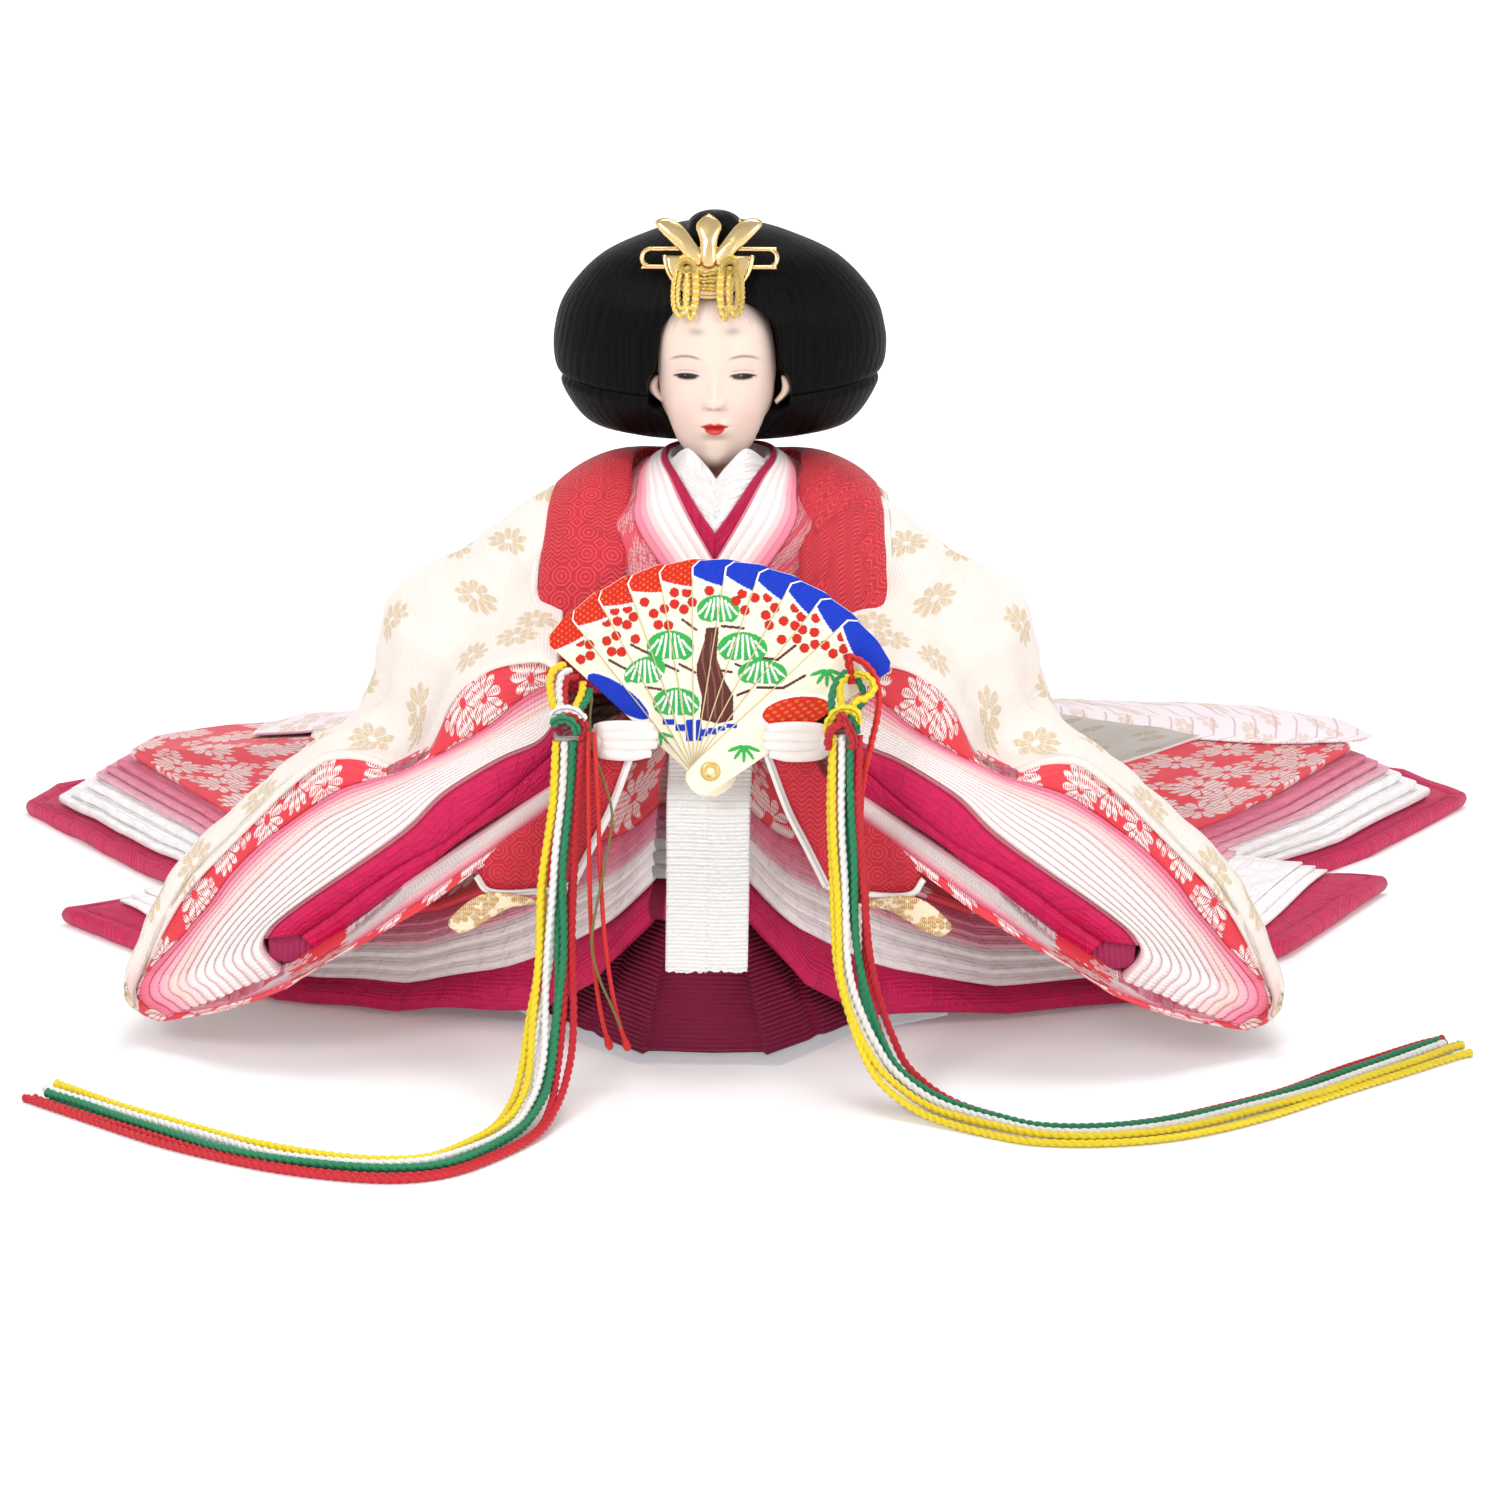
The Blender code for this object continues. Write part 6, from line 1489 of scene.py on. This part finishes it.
def make_collars():
    """The white and magenta collars and the edges of the thin robes between them and the jacket."""
    rows = 110
    point, way, normal = (cr([s[k] for s in COLLAR_SHARES], rows) for k in range(3))
    normal = unit(normal)

    def line(widths, q):
        w = cr(widths, rows)
        at = w[:, 0] * (1 - q) + w[:, 1] * q
        half = (point + way * at[:, None]) * COLLAR_SIZE
        return mirrored_line(half) + (COLLAR_SHIFT, 0.0, 0.0)

    both = mirrored_line(normal)
    white = silk("collar-white-silk", srgb(247, 243, 242), 0.0010, 0, 0.00012, 0.05, emboss=0.03, cell=0.0035)
    magenta = silk("collar-magenta-silk", srgb(196, 8, 74), 0.0010, 0, 0.00010, 0.2, emboss=0.2, cell=0.004)
    throat = np.array([seen(px, py, y) - (COLLAR_SHIFT, 0.0, 0.0) for px, py, y in
                       ((720, 481, -0.0275), (705, 466, -0.0248), (688, 451, -0.0215))]
                      + [(-0.0112, -0.0060, 0.1338), (-0.0088, 0.0070, 0.1340), (0.0, 0.0116, 0.1342)])
    throat[0, 0] = 0.0
    band_strip("collar-white-band", mirrored_line(cr(throat, rows)) + (COLLAR_SHIFT, 0.0, 0.0),
               line(MAGENTA_BAND_SHARES, -0.06), both, 0.0016, white, ["collar_white"], 0.0002)
    band_strip("collar-magenta-band", line(MAGENTA_BAND_SHARES, 0.0), line(MAGENTA_BAND_SHARES, 0.94), both,
               0.0017, magenta, ["collar_magenta"], 0.0004)
    band_strip("collar-piping", line(MAGENTA_BAND_SHARES, 0.94), line(STACK_BAND_SHARES, 0.03), both, 0.0013,
               silk("collar-piping-silk", srgb(236, 140, 160), 0.0010), (), 0.0002)
    # The two thin pinkish white bands between the white layers are painted shade between the layers.
    light, collar_gap_shade = srgb(247, 238, 236), srgb(240, 216, 218)
    tints = (light, collar_gap_shade, light, collar_gap_shade, light, srgb(246, 206, 208), srgb(240, 164, 180), srgb(236, 134, 154))
    edges = np.array((0.03, 0.17, 0.21, 0.42, 0.46, 0.60, 0.72, 0.86, 1.0))
    for k, tint in enumerate(tints):
        mat = silk(f"collar-stack-{k + 1}", tint, 0.0010, 0, 0.00008, 0.1)
        band_strip(f"collar-layer-{k + 1}", line(STACK_BAND_SHARES, edges[k]),
                   line(STACK_BAND_SHARES, edges[k + 1]), both, 0.0013, mat,
                   ["collar_stack"] if k == 0 else (), 0.0003 - 0.00004 * k, 0.0003)
    coral = brocade("collar-coral", srgb(232, 92, 108), srgb(246, 196, 200), 0.008, 12, 0.0012, 0.0002, 0.7,
                    second=srgb(206, 40, 64))
    band_strip("collar-coral", line(UNDER_SHARES, 0.0), line(UNDER_SHARES, 1.0), both, 0.0013, coral, (),
               -0.0004)
    z = np.linspace(FRONT_TOP, FRONT_FOOT, 40)[:, None]
    x = np.linspace(-FRONT_HALF, FRONT_HALF, 33)[None, :]
    panel = spots(x + COLLAR_SHIFT, FRONT_Y + FRONT_SLOPE * (z - FRONT_TOP) + FRONT_CURVE * x * x, z)
    slab("collar-front", panel, 0.0010, coral, (), edge=0.4)


def make_jacket():
    """The short jacket: two padded lapels over the shoulders, and their piping."""
    rows = 130
    inner, outer, normal = (cr([s[k] for s in JACKET_SHARES], rows) for k in range(3))
    normal = unit(normal)
    inner, outer = inner * COLLAR_SIZE, outer * COLLAR_SIZE
    inner[:, 0] -= 0.0028 * np.clip(-inner[:, 0] / 0.015, 0, 1)
    outer[:, 0] -= 0.0030 * np.clip(-outer[:, 0] / 0.015, 0, 1)
    mat = tortoise("jacket-silk", srgb(243, 74, 86), srgb(208, 22, 44), 0.0062, 0.0007)
    shift = np.array((JACKET_SHIFT, 0, 0))
    obj = band_strip("jacket", mirrored_line(inner) + shift, mirrored_line(outer) + shift, mirrored_line(normal),
                     0.0022, mat, ["karaginu"], 0.0004, 0.0024)
    white = silk("piping-silk", srgb(240, 234, 230), 0.0011, 0, 0.00012, 0.08)
    for side, word in ((1, "left"), (-1, "right")):
        edge = (outer + normal * 0.0010)[4:108] * (side, 1, 1)
        away = np.array((JACKET_SHIFT - 0.0011 * side, 0.0, -0.0003))
        tube(f"jacket-piping-{word}", smooth_even(edge[::6] + away, 120), 0.0009, white, "doll", slot="white_silk",
             count=10)


make_collars()
make_jacket()

# ---------------------------------------------------------------- sleeves
DEEP = np.array((0.0, 0.020, 0.0034))
LIP_A = ((556, 664), (547, 658), (537, 657), (513, 660), (491, 666), (474, 677), (459, 693), (448, 711), (439, 733),
         (431, 749), (424, 760), (416, 766), (399, 770), (385, 768), (368, 760), (345, 756), (321, 761), (302, 776),
         (285, 789), (266, 804), (257, 817), (238, 834), (219, 855), (200, 874), (187, 890), (176, 906), (164, 928),
         (153, 953), (144, 971))
CORAL_B = ((556, 681), (537, 690), (523, 698), (510, 708), (498, 719), (485, 728), (469, 738), (453, 747), (437, 755),
           (418, 763), (399, 772), (370, 780), (341, 789), (313, 806), (289, 823), (268, 838), (247, 857), (227, 879),
           (210, 904), (195, 921), (180, 939), (163, 956), (147, 974))
WHITE_C = ((556, 701), (469, 749), (405, 780), (351, 802), (313, 821), (275, 853), (245, 883), (230, 900), (206, 930),
           (187, 962), (180, 975))
PIPE_D = ((556, 719), (539, 740), (502, 756), (462, 779), (437, 797), (413, 822), (388, 842), (351, 868), (313, 894),
          (287, 913), (272, 926), (264, 938))
BAND_E = ((556, 750), (523, 779), (494, 803), (462, 828), (437, 846), (405, 862), (370, 885), (330, 915), (300, 935))
BAND_F = ((556, 785), (511, 809), (462, 840), (421, 873), (392, 895), (350, 925), (322, 955))
LOWER_G = ((556, 785), (405, 887), (370, 919), (338, 945), (313, 960), (285, 973), (257, 983), (227, 992), (190, 999),
           (150, 1006))
LOWER_H = ((556, 818), (520, 845), (470, 880), (420, 916), (370, 943), (324, 966), (285, 992), (257, 1003),
           (219, 1015), (181, 1021), (160, 1024), (150, 1022))
TURN_A = ((137, 984), (134, 1000), (139, 1012), (149, 1018))
TURN_B = ((141, 985), (140, 997), (146, 1005), (156, 1009))
TURN_C = ((178, 984), (182, 990), (190, 994))
TURN_D = ((262, 946), (265, 955), (272, 963))
OUTER_DEPTH = (-0.078, -0.075, -0.072, -0.068, -0.066, -0.066, -0.066, -0.066)
INNER_DEPTH = (-0.081, -0.082, -0.084, -0.084, -0.084, -0.084, -0.084, -0.084)
OUTER_BELOW = (-0.080, -0.094, -0.098, -0.097, -0.093, -0.088, -0.083)
LINING_TOP = ((268, 938), (285, 934), (302, 936), (318, 950))
LINING_FOOT = ((270, 958), (283, 962), (300, 962), (316, 957))
LINING_DEPTH = (-0.0825, -0.0825)
INNER_BELOW = (-0.085, -0.086, -0.086, -0.085, -0.084, -0.083, -0.082)


def hairpin(upper, turn, share, start, inward):
    """A boundary of the sleeve's layers: out along the upper lip, round the corner and back along the lower lip."""
    outer, inner = np.array(OUTER_DEPTH), np.array(INNER_DEPTH)
    above = seen_line(smooth_even(upper, 90), outer * (1 - inward) + inner * inward)
    below = np.array(OUTER_BELOW) * (1 - inward) + np.array(INNER_BELOW) * inward
    x = np.linspace(start, 556, 70)
    g, h = (np.interp(x, *zip(*line[::-1])) for line in (LOWER_G, LOWER_H))
    low = seen_line(np.stack((x, g + share * (h - g)), axis=1), below)
    corner = seen_each(turn, np.linspace(above[-1, 1], low[0, 1], len(turn) + 2)[1:-1])
    whole = np.concatenate((above, corner, low))
    first = even(cr(whole[85:90 + len(turn) + 6], 200), 40)
    return np.concatenate((even(above[:86], 80), first[1:-1], even(low[5:], 70)))


EDGES = {
    "coral": hairpin(LIP_A, TURN_A, 0.88, 160, 0.0),
    "pink": hairpin(CORAL_B, TURN_B, 0.60, 165, 0.3),
    "white": hairpin(WHITE_C, TURN_C, 0.35, 200, 0.55),
    "end": hairpin(PIPE_D, TURN_D, 0.0, 282, 1.0),
}


def edge_strip(name, a, b, mat, nodes, slot, bulge, limit=0.0013):
    """A folded layer of cloth seen on its edge: a rounded front between two lines, running back."""
    width = np.linalg.norm(b - a, axis=1)[:, None]
    out = []
    for q in np.linspace(0, math.pi, 11):
        t = 0.5 - 0.5 * math.cos(q)
        swell = np.minimum(width * 0.5 * bulge, limit) * math.sin(q)
        out.append(a * (1 - t) + b * t - np.array((0, 1.0, -0.2)) * swell)
    taper = np.clip(width / 0.0012, 0.4, 1.0) * np.clip((0.146 - np.abs(a[:, :1])) / 0.030, 0.22, 1.0)
    for t, back in ((1.0, 0.35), (0.9, 1.0), (0.1, 1.0), (0.0, 0.35)):
        out.append(a * (1 - t) + b * t + DEEP * back * taper)
    loops = np.array(out).swapaxes(0, 1)
    along = lengths((a + b) / 2)
    round_it = np.concatenate((np.linspace(0, 1, 11)[None, :] * width, np.broadcast_to(
        width + (0.007, 0.02, 0.021, 0.034), (len(a), 4))), axis=1)
    uv = np.stack((np.broadcast_to(along[:, None], round_it.shape), round_it), axis=2)
    return rings(name, loops, mat, "doll", nodes, uv=uv)


def layer(word, side, name, a, b, mat, node, slot, first, **shape):
    """A layer of one sleeve, on the left or mirrored to the right, as cloth on edge."""
    if side > 0:
        a, b = mirror(a), mirror(b)
    obj = edge_strip(f"{name}-{word}", a, b, mat, [f"{node}_{word}"] if first else [], slot, **shape)
    cloth(obj, 0.025, float(lengths(a)[-1]))


def blend_line(a, b, q):
    return a * (1 - q) + b * q


def make_sleeves():
    """The nested layers at each sleeve's mouth."""
    coral = brocade("sleeve-coral", srgb(226, 62, 74), srgb(252, 238, 234), 0.0125, 12, 0.0012, 0.00018, 0.95, 0.5,
                    second=srgb(196, 36, 52))
    pinks = [silk(f"sleeve-pink-{k + 1}", tint, 0.0010, 0, 0.00012, 0.14, 0.5, 0.3)
             for k, tint in enumerate((srgb(232, 116, 142), srgb(240, 152, 172), srgb(244, 182, 194),
                                       srgb(246, 210, 202)))]
    whites = [silk(f"sleeve-white-{k + 1}", tint, 0.0010, 0, 0.00012, 0.06, 0.6, 0.2)
              for k, tint in enumerate((srgb(246, 214, 214), srgb(247, 230, 228), srgb(246, 240, 238)))]
    # Thin pinkish strips between the white layers are painted shade between the layers.
    shade = silk("sleeve-white-shade-line", srgb(232, 192, 198), 0.0010, 0, 0.00004, 0.1)
    pipe = silk("sleeve-piping", srgb(196, 110, 122), 0.0009, 0, 0.00010, 0.15)
    magenta = silk("sleeve-magenta", srgb(208, 6, 84), 0.0011, 1, 0.00012, 0.25, 0.48, 0.35, emboss=0.2, cell=0.006)
    lining = silk("sleeve-lining", srgb(168, 44, 92), 0.0014, 0, 0.00020, 0.2)
    for word, side in (("left", -1), ("right", 1)):
        layer(word, side, "sleeve-coral", EDGES["coral"], EDGES["pink"], coral, "sleeve_coral", "coral_brocade", True,
              bulge=0.4)
        for k in range(4):
            layer(word, side, f"sleeve-pink-{k + 1}", blend_line(EDGES["pink"], EDGES["white"], k / 4),
                  blend_line(EDGES["pink"], EDGES["white"], (k + 1) / 4), pinks[k], "sleeve_pink", "pink_silk", k == 0,
                  bulge=0.7)
        for k in range(9):
            near, far = k / 9, (k + 1) / 9
            a, b = (blend_line(EDGES["white"], EDGES["end"], q) for q in (near, far))
            layer(word, side, f"sleeve-white-{k + 1}", a, blend_line(a, b, 0.84), whites[min(k, 2)], "sleeve_white",
                  "white_silk", k == 0, bulge=0.8)
            layer(word, side, f"sleeve-line-{k + 1}", blend_line(a, b, 0.84), b, shade, "sleeve_white", "pink_silk",
                  False, bulge=0.0)
        d = seen_line(smooth_even(PIPE_D, 90), INNER_DEPTH)
        e = seen_line(smooth_even(BAND_E, 90), np.array(INNER_DEPTH) + 0.0008)
        f = seen_line(smooth_even(BAND_F, 90), np.array(INNER_DEPTH) + 0.0020)
        pipe_a = d + (0.0, -0.0002, -0.0002)
        pipe_b = d + unit(e - d) * 0.0011 + (0.0, -0.0002, 0.0)
        layer(word, side, "sleeve-piping", pipe_a, pipe_b, pipe, "sleeve_magenta", "magenta_silk", False, bulge=1.0)
        layer(word, side, "sleeve-magenta-1", pipe_b, e, magenta, "sleeve_magenta",
              "magenta_silk", True, bulge=0.45, limit=0.0018)
        layer(word, side, "sleeve-magenta-2", e + (0, 0.0004, 0), f, magenta, "sleeve_magenta", "magenta_silk", False,
              bulge=0.45, limit=0.0018)
        tip = seen_line(LINING_TOP, LINING_DEPTH)
        low = seen_line(LINING_FOOT, LINING_DEPTH)
        layer(word, side, "sleeve-lining", cr(tip, 30), cr(low, 30), lining, "sleeve_magenta", "magenta_silk", False,
              bulge=0.1)


make_sleeves()

# ---------------------------------------------------------------- coat sleeves
COAT_LIP = ((556, 664), (537, 657), (491, 666), (459, 693), (439, 733), (424, 760), (399, 770), (368, 760), (345, 756),
            (321, 761), (285, 789), (257, 817), (219, 855), (187, 890), (164, 928), (150, 960), (139, 982), (135, 996),
            (137, 1008))
COAT_LIP_DEPTH = (-0.079, -0.077, -0.074, -0.071, -0.068, -0.0665, -0.0665, -0.0665, -0.0665, -0.0665, -0.0665,
                  -0.0665, -0.0665, -0.0665, -0.0665, -0.0665, -0.069, -0.073, -0.079)
RIDGE = ((-0.0400, -0.012, 0.1300), (-0.0500, -0.016, 0.1235), (-0.0600, -0.020, 0.1165), (-0.0700, -0.026, 0.1125),
         (-0.0790, -0.029, 0.1060), (-0.0830, -0.030, 0.0950), (-0.0850, -0.030, 0.0850), (-0.0880, -0.030, 0.0760),
         (-0.0930, -0.030, 0.0690), (-0.0990, -0.031, 0.0625), (-0.1070, -0.033, 0.0570), (-0.1150, -0.036, 0.0520),
         (-0.1230, -0.041, 0.0470), (-0.1310, -0.047, 0.0400), (-0.1370, -0.052, 0.0310), (-0.1415, -0.057, 0.0210),
         (-0.1435, -0.061, 0.0150), (-0.1438, -0.066, 0.0115), (-0.1432, -0.072, 0.0095))
# The sleeve's back and the fall behind it, by shares of its length.
PLAN_AT, HEIGHT_AT = (0, 0.25, 0.5, 0.75, 1), (0, 0.2, 0.35, 0.5, 0.75, 1)
BACK_LINE = ((-0.043, -0.080, -0.094, -0.122, -0.1405), (0.012, 0.000, -0.006, -0.016, -0.052),
             (0.117, 0.099, 0.080, 0.058, 0.037, 0.0095))
FALL_LINE = ((-0.045, -0.078, -0.098, -0.124, -0.1390), (0.017, 0.013, 0.006, -0.006, -0.040),
             (0.090, 0.072, 0.060, 0.043, 0.027, 0.0085))
CREASES = (
    # two ends on the sleeve in metres, depth of the crease, its width
    ((-0.0800, -0.040, 0.1050), (-0.0640, -0.058, 0.1010), -0.0018, 0.0030),
    ((-0.0640, -0.058, 0.1010), (-0.0430, -0.074, 0.1015), -0.0016, 0.0026),
    ((-0.0800, -0.040, 0.1010), (-0.0600, -0.064, 0.0960), 0.0023, 0.0060),
    ((-0.0790, -0.046, 0.0860), (-0.0800, -0.046, 0.0740), -0.0109, 0.0042),
    ((-0.0725, -0.052, 0.0920), (-0.0730, -0.054, 0.0760), 0.0038, 0.0042),
    ((-0.0880, -0.046, 0.0700), (-0.1080, -0.050, 0.0560), 0.0026, 0.0060),
    ((-0.0830, -0.050, 0.0700), (-0.0960, -0.058, 0.0600), -0.0026, 0.0030),
    ((-0.0600, -0.030, 0.1150), (-0.0480, -0.060, 0.1110), -0.0017, 0.0034),
    ((-0.0520, -0.024, 0.1210), (-0.0420, -0.050, 0.1160), -0.0014, 0.0026),
    ((-0.1150, -0.046, 0.0480), (-0.1290, -0.060, 0.0330), -0.0017, 0.0030),
)


def segment_far(points, a, b):
    """Distance of points from a segment, faded past its ends."""
    a, b = np.array(a), np.array(b)
    run = b - a
    t = np.clip(((points - a) @ run) / (run @ run), 0, 1)
    return np.linalg.norm(points - (a + t[..., None] * run), axis=-1), t


def make_coat_sleeves():
    """The outer sleeves: the lip folded in, the front drape with its creases, the ridge and the fall behind."""
    lip = seen_each(COAT_LIP, COAT_LIP_DEPTH)
    ridge = np.array(RIDGE)
    n = len(lip)
    inside = lip + DEEP * 0.9 + (0.0, 0.0, -0.0003)
    roll = lip + (0.0, -0.0007, 0.0010)
    band = lip * 0.80 + ridge * 0.20 + np.array((0.0, -0.0042, 0.0016))
    mid = lip * 0.45 + ridge * 0.55 + np.array((-0.0012, -0.0060, 0.0042))
    high = lip * 0.15 + ridge * 0.85 + np.array((-0.0010, -0.0030, 0.0028))
    spread = np.linspace(0, 1, n)
    back, fall = (spots(np.interp(spread, PLAN_AT, x), np.interp(spread, PLAN_AT, y), np.interp(spread, HEIGHT_AT, z))
                  for x, y, z in (BACK_LINE, FALL_LINE))
    for line, deep in ((band, 0.028), (mid, 0.015), (high, 0.004)):
        line[:, 1] += deep * np.interp(np.arange(n), (0, 1, 2, 3, 4), (1.0, 0.85, 0.5, 0.15, 0.0))
    ctrl = np.stack((inside, lip, roll, band, mid, high, ridge, back, fall), axis=1)
    fine = surf(ctrl, 240, 170)
    normal = unit(np.cross(np.gradient(fine, axis=0), np.gradient(fine, axis=1)))
    if normal[90, 85, 1] > 0:
        normal = -normal
    push = np.zeros(fine.shape[:2])
    for a, b, deep, width in CREASES:
        far, t = segment_far(fine, a, b)
        push += deep * bell(far, width) * np.sin(math.pi * np.clip(t, 0.06, 0.94)) ** 0.5
    push += 0.0004 * np.sin(fine[..., 0] * 260 + fine[..., 2] * 160) * np.sin(fine[..., 2] * 300 + 1)
    edge = np.clip((np.arange(170) - 40) / 22, 0, 1)[None, :]
    fine = fine + normal * (push * edge)[..., None]
    lip_silk = silk("coat-lip-silk", srgb(238, 230, 224), 0.0010, 1, 0.00010, 0.06, 0.6, 0.2)
    for word, side in (("left", -1), ("right", 1)):
        grid = mirror(fine) if side > 0 else fine
        obj = slab(f"coat-sleeve-{word}", grid, 0.0011, COAT, [f"sleeve_coat_{word}"])
        cloth(obj, 0.17, float(lengths(grid[:, 85])[-1]))
        line = lip + (0.0, -0.0012, 0.0002)
        fold = smooth_even(mirror(line) if side > 0 else line, 260)
        tube(f"coat-lip-{word}", fold, 0.00075, lip_silk, "doll", slot="white_silk", count=10)


make_coat_sleeves()

# ---------------------------------------------------------------- jacket fronts by the ribbon
TAB_CORAL = ((478, 872), (506, 839), (545, 811), (570, 781), (594, 749), (631, 749), (612, 800), (592, 842), (573, 882),
             (543, 887), (492, 889))
TAB_EDGE = ((476, 876), (492, 892), (543, 891), (574, 884))
TAB_TONGUE = ((543, 903), (506, 893), (476, 897), (449, 920), (455, 931), (468, 931), (514, 906))
TAB_STRIP = ((633, 749), (612, 806), (592, 846), (573, 884))


def px_plate(name, outline, depth, thick, mat, count=60):
    """A flat piece of cloth seen as an outline in the picture, on both sides."""
    pts = smooth_even(outline, count, closed=True)[:-1]
    for side, word in ((-1, "left"), (1, "right")):
        def at(px, py, rear, side=side):
            p = seen(px, py, depth + rear / 1000.0)
            return p if side < 0 else mirror(p)
        plate(f"{name}-{word}", pts, thick, mat, "doll", (), 0.4, 0.0, at)


def make_fronts():
    """The jacket's hanging fronts each side of the ribbon, with their lining, tongue and piping."""
    coral = tortoise("front-coral", srgb(230, 60, 76), srgb(196, 22, 46), 0.0058, 0.0004)
    px_plate("front-coral", TAB_CORAL, -0.0885, 0.9, coral, count=90)
    cream = brocade("front-cream", srgb(250, 232, 200), srgb(206, 152, 70), 0.006, 6, 0.0010, 0.00016, 0.9)
    px_plate("front-tongue", TAB_TONGUE, -0.0905, 0.9, cream)
    white = silk("front-piping", srgb(242, 237, 234), 0.0010, 0, 0.00010, 0.06)
    for side, word in ((-1, "left"), (1, "right")):
        for name, line, r in (("front-edge", TAB_EDGE, 0.0008), ("front-strip", TAB_STRIP, 0.0010)):
            path = seen_line(line, (-0.0895, -0.0895))
            path = smooth_even(path if side < 0 else mirror(path), 60)
            tube(f"{name}-{word}", path, r, white, "doll", slot="white_silk", count=10)


make_fronts()


# ---------------------------------------------------------------- film, board, lap, torso, stick, wire
def cad_mat(node, mat):
    """Gives a node that keeps its CAD shape its finish."""
    for place in NODES[node].material_slots:
        place.material = mat


def grained(node, name, rough, stretch, size, light, dark, relief=0.0, span=(0.0, 1.0)):
    """Wood or straw with its grain drawn out one way."""
    m = Mat(name, rough)
    grain = m.stretched_noise(m.place(), stretch, size, 4.0)
    if relief:
        m.bump(grain, relief)
    cad_mat(node, m.colour(m.mix(m.ramp(grain, *span), light, dark)))


def make_inner_finishes():
    """The finishes of the pieces that keep their CAD shape."""
    film = Mat("film", 0.12, coat=0.3)
    film.give("Transmission Weight", 0.85)
    film.give("IOR", 1.30)
    film.give("Alpha", 0.55)
    haze = film.noise(film.place(), 0.02)
    film.bump(haze, 0.0002)
    cad_mat("clear_sheet", film.colour(film.mix(haze, (0.70, 0.71, 0.76), (0.80, 0.81, 0.85))))
    grained("base_board", "board-wood", 0.65, (1.0, 9.0, 9.0), 0.012, srgb(206, 164, 112), srgb(150, 104, 60), 0.0002)
    grained("neck_stick", "stick-wood", 0.6, (9.0, 9.0, 1.0), 0.006, srgb(222, 190, 144), srgb(176, 134, 88))
    grained("straw_torso", "torso-straw", 0.8, (9.0, 9.0, 0.5), 0.008, srgb(222, 192, 122), srgb(150, 116, 60), 0.0006,
            (0.3, 0.7))
    pad = Mat("lap-padding", 0.95, 0.4)
    fluff = pad.noise(pad.place(), 0.002, 5.0, 0.7)
    pad.bump(fluff, 0.0005)
    cad_mat("lap_form", pad.colour(pad.mix(fluff, srgb(240, 232, 214), srgb(214, 202, 178))))
    cad_mat("arm_wire", Mat("arm-steel", 0.4, metal=1.0).colour((0.42, 0.41, 0.40)))


make_inner_finishes()


# ---------------------------------------------------------------- floor, light
def make_stage():
    """A plain pale floor and soft studio light."""
    mesh = bpy.data.meshes.new("floor")
    mesh.from_pydata([(-6, -3, 0), (6, -3, 0), (6, 14, 0), (-6, 14, 0)], [], [(0, 1, 2, 3)])
    m = Mat("floor-white", 0.9, spec=0.1)
    m.colour(m.mix(m.mul(m.noise(m.place(), 0.5), 0.02), (0.93, 0.93, 0.935), (0.88, 0.88, 0.88)))
    m.give("Emission Color", (1.0, 1.0, 1.0))
    m.give("Emission Strength", m.ramp(m.xyz(m.place())[1], 0.05, 1.0, 0.10, 0.45))
    mesh.materials.append(m.mat)
    floor = placed("floor", mesh)
    world = bpy.data.worlds.new("world")
    bpy.context.scene.world = world
    world.use_nodes = True
    nodes, links = world.node_tree.nodes, world.node_tree.links
    back = nodes["Background"]
    place, split, fade = (nodes.new(f"ShaderNode{kind}") for kind in ("TexCoord", "SeparateXYZ", "MapRange"))
    for at, value in ((1, 0.10), (2, 0.9), (3, 1.08), (4, 0.50)):
        fade.inputs[at].default_value = value
    links.new(place.outputs[0], split.inputs[0])
    links.new(split.outputs[2], fade.inputs[0])
    links.new(fade.outputs[0], back.inputs[1])
    back.inputs[0].default_value = (1.0, 1.0, 1.0, 1.0)
    for name, where, size, power in (("key", (-0.70, -1.15, 0.95), 0.45, 6.5), ("fill", (0.95, -1.10, 0.60), 0.6, 4.0),
                                     ("top", (0.1, 0.10, 1.3), 0.8, 7.0)):
        data = bpy.data.lights.new(name, "AREA")
        data.size, data.energy = size, power
        light = placed(name, data)
        light.location = where
        light.rotation_euler = (Vector(where) - Vector((0, 0, 0.06))).to_track_quat("Z", "Y").to_euler()
    bpy.context.scene.view_settings.view_transform = "Standard"


make_stage()
